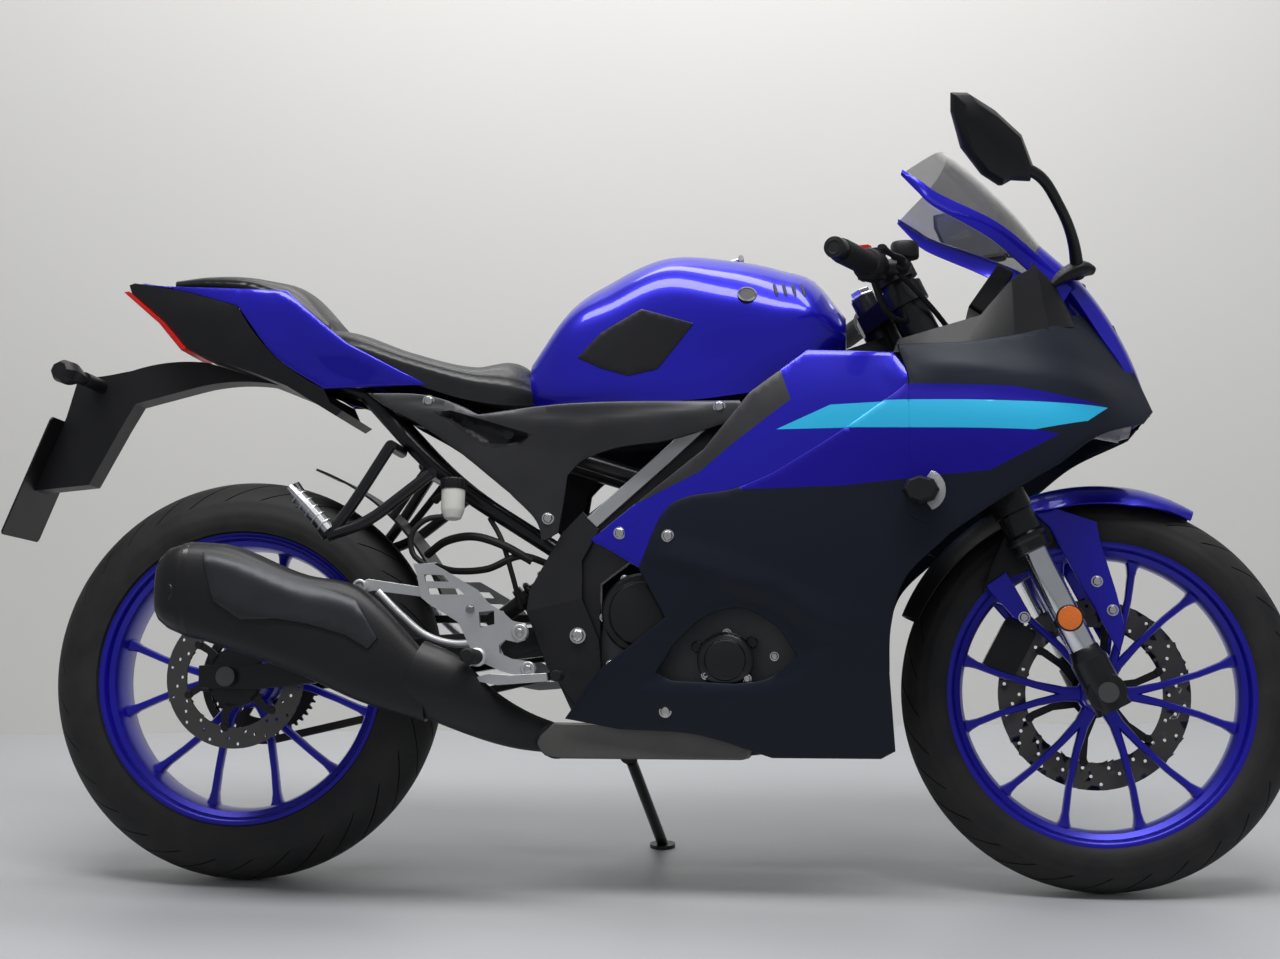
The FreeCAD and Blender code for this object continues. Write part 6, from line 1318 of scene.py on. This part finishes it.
# %% Engine covers and frame plates
PUMP, CLUTCH = np.array((770.0, -160.0, 340.0)), np.array((645.0, -150.0, 409.0))
OUT = (0, -1, 0)
lids = [turned([(41, -30), (42, -3), (38, 1), (31, 3), (29, 6), (18, 8), (8, 8.5), (1, 8.5)], PUMP, OUT, 40),
        turned([(60, -20), (61, -4), (57, 1), (50, 2), (46, 9), (30, 12), (10, 12.5), (1, 12.5)], CLUTCH, OUT,
               48)]
for turn in np.radians((35, 155, 275)):
    foot = PUMP + 47 * wheel_ways(turn)[0] + (0, 14, 0)
    lids.append(turned([(9, -20), (9, 0), (7, 2), (1, 2)], foot, OUT, 16))
group("engine_lids", lids, "chassis", "black_metal", edge=0.8)
spar = [(557, 556), (573, 541), (686, 641), (742, 693), (730, 712), (674, 660)]
group("frame_spar_face", both([block([(x, -124.5, z) for x, z in spar], (0, 6.5, 0))]), "chassis",
      "frame_silver", edge=1.5)
plate = np.array([(551, -121, 566), (577, -123, 538), (519, -123, 533), (551, -128, 489), (470, -121, 447),
                  (552, -129, 465), (466, -125, 414), (552, -132, 432), (499, -122, 328), (578, -127, 371),
                  (584, -122, 294), (548, -121, 267)], float)
loops = [(0, 2, 3, 1), (2, 4, 5, 3), (4, 6, 7, 5), (6, 8, 9, 7), (8, 11, 10, 9)]
group("pivot_plate", both([(plate, loops)]), "chassis", "frame_dark", thick=3, edge=1.2, sharp=8)
screws("pivot_screws", [(546, -130.5, 377)], "chassis", 9.0)
print("engine covers and plates made")

# %% [markdown]
# The rider's heel plate is cut from thick alloy with slots, and two bars reach back to the muffler.
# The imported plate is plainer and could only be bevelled. This one is drawn over it in the side view
# and cut as a sheet, with the pedal, the peg and their ribbed rubbers turned or pushed out.

# %% Heel plates and pedals
HEEL = np.array([(305, 481), (336, 481), (352, 472), (403, 442), (418, 424), (444, 407), (456, 396),
                 (466, 394), (476, 388), (480, 378), (476, 368), (464, 364), (446, 368), (437, 360),
                 (438, 348), (456, 340), (484, 336), (493, 326), (490, 315), (478, 312), (440, 322),
                 (402, 339), (390, 364), (375, 394), (330, 421), (318, 431), (311, 465)], float)
slots = [np.array([(322, 465), (351, 464), (360, 454), (324, 455)], float),
         np.array([(328, 445), (374, 444), (384, 435), (330, 435)], float),
         np.array([(406, 409), (429, 411), (430, 391), (408, 386)], float)]
bar = [(224, 454), (236, 459), (322, 446), (326, 431), (246, 441), (226, 438)]
lever = [(403, 312), (424, 318), (456, 316), (510, 319), (512, 307), (436, 301), (408, 306)]
for side, word in SIDES:
    made = cut_sheet("heel_plate_" + word, [HEEL] + slots, side * 192, 7, "chassis", "brushed_alloy", 14,
                     side, 1.2)
    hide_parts("rearset_" + word)
    bars = [block([(x, side * 186, z) for x, z in bar], (0, -side * 6, 0)),
            tube([(250, side * 184, 440), (290, side * 184, 402), (326, side * 184, 374),
                  (372, side * 184, 362), (398, side * 186, 364)], 6, 10, 8)]
    for x, z, radius in ((224, 447, 11), (468, 379, 12), (481, 325, 11)):
        bars.append(turned([(radius, -8), (radius + 0.5, 6), (radius - 1, 8), (radius * 0.6, 8),
                            (radius * 0.5, 5), (1, 5)], (x, side * 187, z), (0, side, 0), 20))
    # Brake pedal or gear lever, with its rubber tip, and the rider's peg
    bars.append(block([(x, side * 192, z) for x, z in lever], (0, side * 8, 0)))
    foot = at(0.305, 0.300, side * 192)
    bars.append(turned([(14, -2), (14, 4), (10, 6), (10, 12), (1, 12)], foot, (0, side, 0), 20))
    group("heel_bars_" + word, bars, "chassis", "brushed_alloy", edge=0.8)
    ribs = [(9.5, 8)]
    for start in range(12, 72, 5):
        ribs += [(11.5, start), (11.5, start + 2.5), (10.2, start + 3.2), (10.2, start + 4.2)]
    rubber = [turned(ribs + [(11.5, 74), (8, 77)], foot, (0, side, 0), 20),
              turned([(5, 0), (8, 1), (8.5, 4), (8.5, 30), (7, 34), (1, 34)], at(0.398, 0.276, side * 190),
                     (0, side, 0), 16)]
    group("foot_rubbers_" + word, rubber, "chassis", "rubber", edge=0.4)
    heel_spots = [(393, -193, 413), (468, -194, 379), (481, -194, 325)]
    screws("heel_screws_" + word, heel_spots if side < 0 else heel_spots[:1], "chassis", 5.0, sides=False)
print("heel plates made, slots in each:", len(slots))

# %% [markdown]
# The passenger's pegs stand folded up. Their grooves could be a bump in the finish, but they show
# against the light, so each peg is a bent tube with a few rings round it.

# %% Passenger pegs
pegs = both([tube([(166, -160, 535), (150, -161, 554), (120, -162, 586), (104, -162, 602)],
                  (12.5, 12.5, 12, 9), 10, 6, flat=0.8)])
for step in range(5):
    spot = np.array((158 - step * 10, -160.5, 544 + step * 10.6))
    ring = turned([(12, -1.5), (13.6, -1), (13.6, 1), (12, 1.5)], spot, (-0.69, 0, 0.72), 12)
    pegs += both([ring])
group("passenger_pegs", pegs, "chassis", "brushed_alloy", edge=0.4)
print("parts in the pegs:", len(pegs))

# %% [markdown]
# The muffler is a rounded can that narrows towards the pipe, with a heat shield riding on it. A
# cylinder could be squeezed with a lattice, but a loft through a few measured sections is exact.
# The shield reuses the panel tools: its depth comes from the muffler's own side.

# %% Muffler and heat shield
MUFFLER_ROWS = np.array(((-0.064, 0.350, 0.424, 0.70), (-0.045, 0.336, 0.440, 0.92),
                         (0.004, 0.318, 0.446, 1.0), (0.110, 0.276, 0.404, 0.98),
                         (0.175, 0.244, 0.385, 0.80), (0.250, 0.218, 0.300, 0.50)))
SECTION = np.array(((0.45, 0.0), (0.85, 0.12), (1.0, 0.45), (0.9, 0.8), (0.5, 1.0)))
MUFFLER_Y, MUFFLER_HALF = -202, 52


def muffler_ring(x_share, grow=1.0):
    """One rounded section of the muffler, as points from its right side round to the left."""
    low, high, width = smooth(MUFFLER_ROWS[:, 0], MUFFLER_ROWS[:, 1:], [x_share])[0]
    corners = np.vstack((SECTION, SECTION[::-1] * (-1, 1)))
    corners = np.vstack((corners, corners[:2]))
    ring = smooth(np.arange(12), corners, np.linspace(0.5, 10.5, 41)[:-1])
    middle = (low + high) / 2
    heights = middle + (low + (high - low) * ring[:, 1] - middle) * grow
    return np.column_stack((np.full(len(ring), x_share * WHEELBASE),
                            MUFFLER_Y - MUFFLER_HALF * width * ring[:, 0] * grow, heights * HEIGHT))


def muffler_side(flat):
    """How far the muffler's right side is from the middle of the bike."""
    low, high, width = smooth(MUFFLER_ROWS[:, 0] * WHEELBASE, MUFFLER_ROWS[:, 1:], flat[:, 0]).T
    rise = (flat[:, 1] / HEIGHT - low) / (high - low)
    return -MUFFLER_Y + MUFFLER_HALF * width * np.interp(rise, SECTION[:, 1], SECTION[:, 0])


made = group("muffler_skin", [loft([muffler_ring(x) for x in np.linspace(-0.030, 0.250, 40)])], "chassis",
             "pipe_grey", sharp=50)
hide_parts("muffler")
SHIELD = (((-0.005, 0.438),), ((0.075, 0.415),), ((0.175, 0.372),), ((0.200, 0.322),), ((0.190, 0.308),),
          ((0.164, 0.326),), ((0.120, 0.340), (0.087, 0.346)), ((0.046, 0.345),), ((0.014, 0.370),))
panel("heat_shield", SHIELD, muffler_side, "chassis", "shield_grey", inset=-5, roll=3.5, spacing=9)
print("heat shield stands at most", round(float(muffler_side(trace(SHIELD)).max()), 1), "mm out")

# %% [markdown]
# Behind, the can is closed by a cap with an outlet; in front, a cone leads down to the pipe and a
# flat collector box lies under the engine. The box could be a cube with a bevel, but its front
# curves up, so it is an outline pushed across the bike and then bevelled widely.

# %% Muffler cap, cone and collector
cap_rings = ((-0.060, 0.62), (-0.060, 0.86), (-0.057, 0.96), (-0.045, 1.005), (-0.022, 1.012), (-0.018, 0.98))
outlet = turned([(14, -8), (20, -6), (20, 2), (18, 4), (14, 3), (13, -4), (1, -5)], (-58, -238, 436),
                (-0.75, -0.64, 0), 28)
group("muffler_cap", [loft([muffler_ring(x, grow) for x, grow in cap_rings]), outlet], "chassis",
      "black_metal", edge=1.0, sharp=40)
cone_stops = [at(0.232, 0.280, -201), at(0.262, 0.264, -199), at(0.300, 0.235, -182), at(0.345, 0.208, -125),
              at(0.385, 0.195, -78)]
group("exhaust_cone", [tube(cone_stops, (34, 35, 27, 20, 15), 28, 10, flat=1.5)], "chassis", "pipe_grey",
      sharp=50)
outline = trace((((0.366, 0.190), (0.375, 0.175), (0.395, 0.171)), ((0.600, 0.171),), ((0.618, 0.200),),
                 ((0.600, 0.215),), ((0.385, 0.216),)), 12)
box = block([(x, -123.5, z) for x, z in shrunk(outline, -1.2)], (0, 135, 0))
group("collector_skin", [box], "chassis", "collector_grey", edge=5, sharp=50)
print("exhaust made")

# %% [markdown]
# Below the reflector each fork leg ends in a black casting that clamps the axle, and a black dust
# seal closes the upper tube. They could be modelled as one long turned leg, but each part has its
# own finish. They turn with the handlebar, so they ride on the steering body.

# %% Fork legs and reflector
FORK_AHEAD, FORK_HALF = 48, 95.0


def on_leg(along, side):
    """A point on the middle line of one fork leg."""
    return up_fork(along, FORK_AHEAD, side * FORK_HALF)


legs, ambers, sleeves = [], [], []
for side in (-1, 1):
    legs.append(turned([(20, 0), (26, 2), (26, 46), (23.5, 58), (22.5, 66), (20.8, 68)], on_leg(310, side),
                       STEER_UP, 28))
    legs.append(turned([(21, -2), (27, 0), (28, 4), (28, 14), (31, 18), (31, 24), (27.2, 28), (27.2, 60)],
                       on_leg(538, side), STEER_UP, 32))
    legs.append(turned([(27, -19), (29, -17), (29, 17), (27, 19), (16, 19.5), (15, 16), (1, 16)],
                       up_fork(305, FORK_AHEAD, side * 98.0), (0, side, 0), 32))
    bracket = on_leg(425, side)
    legs.append(turned([(19, 0), (20, 2), (20, 5), (19, 6)], bracket + (0, side * 21.5, 0), (0, side, 0), 28))
    ambers.append(turned([(17.5, 0), (18, 2), (17, 5), (10, 6.2), (1, 6.4)], bracket + (0, side * 26.5, 0),
                         (0, side, 0), 32))
    legs.append(turned([(24.5, 0), (24.5, 12)], on_leg(419, side), STEER_UP, 24))
    sleeves.append(turned([(20.8, 0), (21.2, 1), (21.2, 164), (20.8, 165)], on_leg(374, side), STEER_UP, 40))
group("fork_castings", legs, "steering", "black_metal", edge=0.8)
group("fork_sleeves", sleeves, "steering", "polished_tube")
group("reflectors", ambers, "steering", "amber_lens", edge=0.4)
print("fork legs dressed")

# %% [markdown]
# The front fender is a blade over the tyre that narrows to a point in front, with a leg down each
# side. A strip cut from a ring would keep one width, so the blade is swept along the tyre as a
# grid instead: its width and its crown can change on the way.

# %% Front fender
def fender_point(degrees_on, share):
    """A point of the blade: an angle along the tyre and a share across it."""
    half = np.interp(degrees_on, (-68, -50, -20, 5, 20, 28.2), (40, 54, 62, 62, 54, 22))
    drop = np.interp(degrees_on, (-68, -20, 10, 28.2), (24, 31, 31, 16)) * abs(share) ** 2.6
    radius = FRONT_TYRE + 17.5 + np.interp(degrees_on, (-10, 12, 28), (0, 1, -2)) - drop
    turn = math.radians(degrees_on)
    return (FRONT_AXLE[0] + radius * math.sin(turn), half * share, FRONT_AXLE[2] + radius * math.cos(turn))


stops, shares = np.linspace(-68, 28.2, 64), np.linspace(-1, 1, 21)
blade = np.array([[fender_point(stop, share) for share in shares] for stop in stops])
# The part behind the fork is bare black plastic
spots = [0 if stop > -22 else 1 for stop in stops[:-1] for _ in shares[:-1]]
made = piece("fender_blade", blade.reshape(-1, 3), grid_faces(len(stops), len(shares)), "steering",
             ("gloss_blue", "black_plastic"), spots, thick=3, edge=0.8, sharp=50)
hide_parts("front_fender")
LEG = (((0.944, 0.477),), ((0.984, 0.389),), ((1.020, 0.309),), ((1.025, 0.352),), ((1.018, 0.390),),
       ((1.002, 0.456),), ((0.998, 0.484),), ((0.952, 0.503),), ((0.925, 0.498),))
REAR_LEG = (((0.872, 0.400),), ((0.896, 0.419),), ((0.922, 0.362),), ((0.922, 0.350),), ((0.903, 0.358),))
BEHIND = (((0.868, 0.390),), ((0.880, 0.430),), ((0.905, 0.490),), ((0.948, 0.500),), ((0.950, 0.460),),
          ((0.925, 0.420),), ((0.900, 0.410),))
leg_fold = crease(((0.960, 0.500), (0.992, 0.430), (1.018, 0.330)), 4, 20, 30)
for side, word in SIDES:
    panel("fender_leg_" + word, LEG, lambda flat: 64 + leg_fold(flat), "steering", "gloss_blue", side, roll=2,
          thick=2.5)
    panel("fender_back_leg_" + word, REAR_LEG, lambda flat: np.full(len(flat), 66.0), "steering",
          "gloss_blue", side, roll=2, thick=2.5)
    panel("fender_inner_" + word, BEHIND, lambda flat: np.full(len(flat), 62.0), "steering", "black_plastic",
          side, roll=2, thick=2)
screws("fender_screws", [(1320, -67.5, 462), (1342, -67.5, 419), (1212, -68, 408)], "steering", 6.5)
print("front fender made")

# %% [markdown]
# The windscreen sits in a painted rim that runs down into the nose, and a dark strip closes the gap
# between the cockpit's trim and the nose. Both are narrow bent sheets. The rim could be a bevelled
# curve, but a sheet through an upper, a middle and a lower line keeps its crisp lower edge.

# %% Screen rim and nose filler
RIM_TOP = np.array([at(0.783, 0.948, -149), at(0.806, 0.930, -148), at(0.826, 0.914, -143),
                    at(0.890, 0.880, -120), at(0.938, 0.843, -77), at(0.976, 0.797, -70)])
RIM_LOW = np.array([at(0.781, 0.940, -149), at(0.800, 0.916, -151), at(0.819, 0.896, -147),
                    at(0.880, 0.858, -124), at(0.926, 0.820, -83), at(0.964, 0.774, -74)])
RIM_MIDDLE = (RIM_TOP + RIM_LOW) / 2 + (0, -2.5, 0)
steps = np.linspace(0, 5, 41)
edge_rows = np.stack([smooth(np.arange(6), rows, steps) for rows in (RIM_TOP, RIM_MIDDLE, RIM_LOW)], axis=1)
group("screen_rim", both([(edge_rows.reshape(-1, 3), grid_faces(len(steps), 3))]), "chassis", "gloss_blue",
      thick=3.5, edge=0.8, sharp=50)
FILLER_ROWS = np.array([(*at(0.928, 0.828, -104), *at(0.944, 0.732, -127)),
                        (*at(0.955, 0.802, -80), *at(0.976, 0.740, -92)),
                        (*at(0.962, 0.788, -64), *at(0.992, 0.728, -58))])
filler = smooth(np.arange(3), FILLER_ROWS, np.linspace(0, 2, 13))
group("nose_filler", both([(filler.reshape(-1, 3), grid_faces(len(filler), 2))]), "chassis", "black_plastic",
      thick=2.5, edge=0.5)
print("screen rim and filler made")

# %% [markdown]
# The mirrors have angular heads on bent stalks. A cube could be cut to shape, but a head is best
# seen as its outline, grown and shrunk in rings from the glass to a small back, which is how such a
# shell is moulded. The glass is a thin plate of the same outline, a little smaller.

# %% Mirrors
MIRROR_EDGE = ((106.8, -0.9), (95.2, 10.6), (68.6, 17.7), (34.2, 20.3), (4.5, 6.6), (-1.7, -6.1),
               (13.2, -19.8), (16.8, -30.6), (36.4, -35.4), (66.7, -31.7), (95.6, -13.8))
inner, outer = at(0.920, 0.905, -246), at(0.832, 0.988, -352)
way = (outer - inner) / np.linalg.norm(outer - inner)
up = np.array((0.70, 0.0, 0.70)) - way * np.dot(way, (0.70, 0, 0.70))
up /= np.linalg.norm(up)
back = np.cross(way, up)
back = back if back[0] < 0 else -back
# The outline is drawn small: along the head and up it, and stretched to its real size here
LONG, HIGH = 1.74, 1.45
ring = np.array([inner + way * u * LONG + up * (v + 5) * HIGH for u, v in MIRROR_EDGE])
heart = ring.mean(axis=0)
shell = [heart + (ring - heart) * grow + back * depth for grow, depth in
         ((0.90, 13), (0.97, 12), (1.0, 8), (0.97, -2), (0.80, -14), (0.45, -20), (0.10, -22))]
stalk = tube([at(0.984, 0.815, -62), at(0.976, 0.850, -110), at(0.955, 0.885, -185), at(0.930, 0.912, -240),
              heart - way * 40 - back * 8], (11, 9, 8, 8.5, 10), 12, 10)
base = tube([at(0.952, 0.800, -78), at(0.968, 0.815, -74), at(0.990, 0.824, -66), at(1.002, 0.822, -62)],
            (9, 19, 20, 10), 14, 6, flat=0.6)
made = group("mirror_shells", both([loft(shell), stalk, base]), "chassis", "black_plastic", edge=1.2,
             sharp=32)
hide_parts("mirrors")
glass = loft([heart + (ring - heart) * 0.86 + back * depth for depth in (12.0, 13.6)])
group("mirror_faces", both([glass]), "chassis", "mirror_glass")
print("mirror heads reach to", ring.round(0).min(axis=0))

# %% [markdown]
# Each front indicator has a clear lens with a bent face. It could be cut from a ball, but a short
# flattened tube along an arc gives the same bow with tapered ends.

# %% Front indicator lenses
middle = at(0.798, 0.510, -236)
arc = [middle + 24 * np.array((math.cos(turn), 0, math.sin(turn) * 1.1))
       for turn in np.linspace(-1.1, 1.1, 9)]
lens = tube(arc, (3, 4, 4.5, 5, 5, 5, 4.5, 4, 3), 10, 5, flat=2.2)
group("front_indicator_lenses", both([lens]), "chassis", "clear_lens", edge=1.0)
print("indicator lenses at", middle.round(0))

# %% [markdown]
# A dark sheet lies on the tank where the rider's knee rests. It is painted shade, standing in for
# the shadow of a knee recess that the tank's sections don't carve. A plain round boss sits further
# forward and four narrow vents are let into the shoulder. Like the heat shield, the sheet, the boss
# and the vents take their depth from the shape under them, here the tank's own sections, so they lie
# flat against the curved side. A boolean could cut the vents, but at this size a dark rod, half sunk
# in the skin, looks the same; its black is painted shade for the inside of the slot.

# %% Painted shade at the knee and in the vents, and a round boss
tank_levels = np.array([[(y * TANK_HALF, z * HEIGHT) for y, z in row[1]] for row in TANK_ROWS])
tank_stations = np.array([row[0] for row in TANK_ROWS]) * WHEELBASE


def tank_side(flat):
    """How far the tank's side is from the middle of the bike."""
    fine = np.linspace(0, 4, 41)
    rows = np.array([smooth(np.arange(5), level, fine) for level in tank_levels])
    here = smooth(tank_stations, rows.reshape(len(rows), -1), flat[:, 0]).reshape(-1, 41, 2)
    return np.array([np.interp(z, section[:, 1], section[:, 0]) for z, section in zip(flat[:, 1], here)])


KNEE_SHADE = (((0.408, 0.704),), ((0.436, 0.738),), ((0.483, 0.768),), ((0.545, 0.744),), ((0.503, 0.684),),
       ((0.469, 0.676),), ((0.436, 0.688),))
# The dark sheet is painted shade for the knee recess, which the tank skin doesn't carve.
for side, word in SIDES:
    panel("knee_shade_sheet_" + word, KNEE_SHADE, tank_side, "chassis", "plate_dark", side, inset=-1.2, roll=1.0, thick=1,
          spacing=7)
boss = turned([(15, -3), (15, 1), (12, 1.6), (11, 0.8), (1, 0.8)], on_form(tank_side, 0.606, 0.782, 0.5),
              (0.1, -0.86, 0.5), 32)
group("badge_places", both([boss]), "chassis", "black_metal", edge=0.3)
# Dark rods half sunk in the tank: their black is painted shade for the inside of each vent slot.
slots = [tube([on_form(tank_side, 0.640 + step * 0.0105 - rise * 0.20, 0.778 + rise, -0.6)
               for rise in (0.0, 0.0055, 0.011, 0.0165, 0.022)], (1.2, 2.8, 2.8, 2.8, 1.2), 10, 4)
         for step in range(4)]
group("tank_vent_shade_rods", both(slots), "chassis", "black_plastic", edge=0.2)
print("tank details made")

# %% [markdown]
# Behind the heel plate sit the brake's fluid cup and a few hoses. Both ends of each hose are fixed
# to the same body, so it is drawn as a still line and not as a cord that hangs. The cup's lid has
# flutes for the fingers, which are a wave on the radius of a turned shape.

# %% Fluid cup and hoses
cup = turned([(8, -2), (13, 0), (17, 10), (18, 14), (18, 44), (17, 45)], (355, -150, 553), (0, 0.1, 1), 28)
group("fluid_cup", [cup], "chassis", "white_cup", edge=0.6)
lid = turned([(19, 0), (20, 2), (20, 15), (18, 17), (1, 17)], (355, -145.6, 597), (0, 0.1, 1), 40,
             lambda turns: 1 + 0.03 * np.sign(np.sin(turns * 20)))
group("fluid_lid", [lid], "chassis", "black_plastic", edge=0.3)
hoses = [tube([(345, -150, 556), (316, -152, 552), (294, -154, 530), (296, -156, 500), (322, -160, 478),
               (348, -168, 452)], 4.5),
         tube([(300, -70, 505), (335, -95, 524), (378, -105, 530), (424, -106, 517), (470, -100, 492)], 6.5),
         tube([(310, -60, 488), (350, -90, 478), (400, -100, 480), (454, -100, 500), (500, -92, 486)], 5.5),
         tube([(400, -80, 560), (420, -100, 530), (440, -100, 470), (452, -90, 420)], 4),
         tube([(325, -135, 582), (330, -140, 586), (340, -146, 590)], 6)]
group("hoses", hoses, "chassis", "rubber")
print("details added")

# %% [markdown]
# The grips, switch blocks and levers are small but they give the cockpit its scale. Everything
# here turns with the handlebar. A handlebar points in no simple direction, so its own way along
# and ahead is worked out first, and every part is placed by steps along those.

# %% Grips and levers
GRIP_LENGTH = 118
clamp = on_leg(1003, -1)
grip_end = clamp + (-80, -235, -12)
bar_way = (grip_end - clamp) / np.linalg.norm(grip_end - clamp)
grip_start = grip_end - bar_way * GRIP_LENGTH
ahead = np.array((0.946, -0.322, 0.0))


def by_grip(along, out=0.0, up=0.0, forward=0.0):
    """A point beside the right grip: along the bar from its inner end, out ahead of it and up."""
    return grip_start + bar_way * along + ahead * out + (forward, 0, up)


bands = [(22, -3), (23, 0), (22, 3), (17.6, 4)]
for start in range(8, 110, 6):
    bands += [(17.6, start), (18.3, start + 1), (18.3, start + 3.5), (17.6, start + 4.5)]
grips = [turned(bands + [(17.6, 117), (15, 118.5), (1, 118.5)], grip_start, bar_way, 28)]
ends = [turned([(10, -1), (15.4, 0), (15.8, 2), (15.8, 22), (14, 26), (9, 27), (8, 23), (1, 23)], grip_end,
               bar_way, 28)]
# Throttle housing, fluid cup, its arm, switch block and lever
blocks = [turned([(18, -36), (24, -34), (25, -20), (25, -8), (23, -4), (18, -2)], grip_start, bar_way, 24),
          turned([(20, 0), (21, 2), (21, 20), (19, 24), (1, 24)], by_grip(-52, 42, 12), (0, 0, 1), 24),
          tube([by_grip(-44, 18), by_grip(-48, 40), by_grip(-30, 46)], (12, 13, 9), 12, 6),
          block([by_grip(along, out, -22) for along, out in ((-30, -16), (-30, 20), (-6, 20), (-6, -16))],
                (0, 0, 46)),
          tube([by_grip(-26, 46), by_grip(10, 56), by_grip(60, 54), by_grip(112, 60)], (8, 7, 6, 6.5), 12, 8,
               flat=0.6)]
group("grips", both(grips), "steering", "rubber", edge=0.4)
group("bar_ends", both(ends), "steering", "black_metal", edge=0.6)
made = group("control_blocks", both(blocks), "steering", "black_plastic", edge=1.2)
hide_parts("hand_controls")
print("grips of", GRIP_LENGTH, "mm, from", grip_start.round(0), "to", grip_end.round(0))

# %% [markdown]
# The cables start at a lever and end at the lower yoke. Both ends are on the same body, so they
# keep their shape when the handlebar turns and are drawn as still tubes. Cords that hang would need
# the physics, and here nothing hangs free. Six-sided caps close the fork and the steering stem.

# %% Cables, caps and stop switch
cables = [tube([by_grip(-20, up=-16), by_grip(-60, up=-60, forward=6), up_fork(900, 66, -70),
                up_fork(800, 60, -52)], 3.6, 10, 10),
          tube([by_grip(-44, 30, -6), by_grip(-90, 46, -30), up_fork(880, 88, -88), up_fork(800, 84, -100),
                up_fork(730, 82, -110)], 4.2, 10, 10),
          tube([by_grip(-34, 4, -20), by_grip(-80, up=-50), up_fork(880, 50, -60),
                up_fork(790, 40, -40)], 3.0, 10, 10)]
red = block([by_grip(along, out, 23) for along, out in ((-25, -13), (-25, 2), (-11, 2), (-11, -13))],
            (-3, 0, 8))
caps = [turned([(19, -1), (19, 1), (16, 3), (15, 9), (10, 10), (1, 10)], on_leg(1015, -1), STEER_UP, 6)]
nut = turned([(21, 0), (21, 3), (17, 4), (17, 12), (12, 13), (1, 13)], up_fork(1014), STEER_UP, 6)
group("cables", both(cables), "steering", "rubber")
group("fork_caps", both(caps), "steering", "bright_bolt", edge=0.8)
group("stop_switch", [red], "steering", "switch_red", edge=1.0)
group("stem_nut", [nut], "steering", "bright_bolt", edge=1.0)
print("cables on each side:", len(cables))
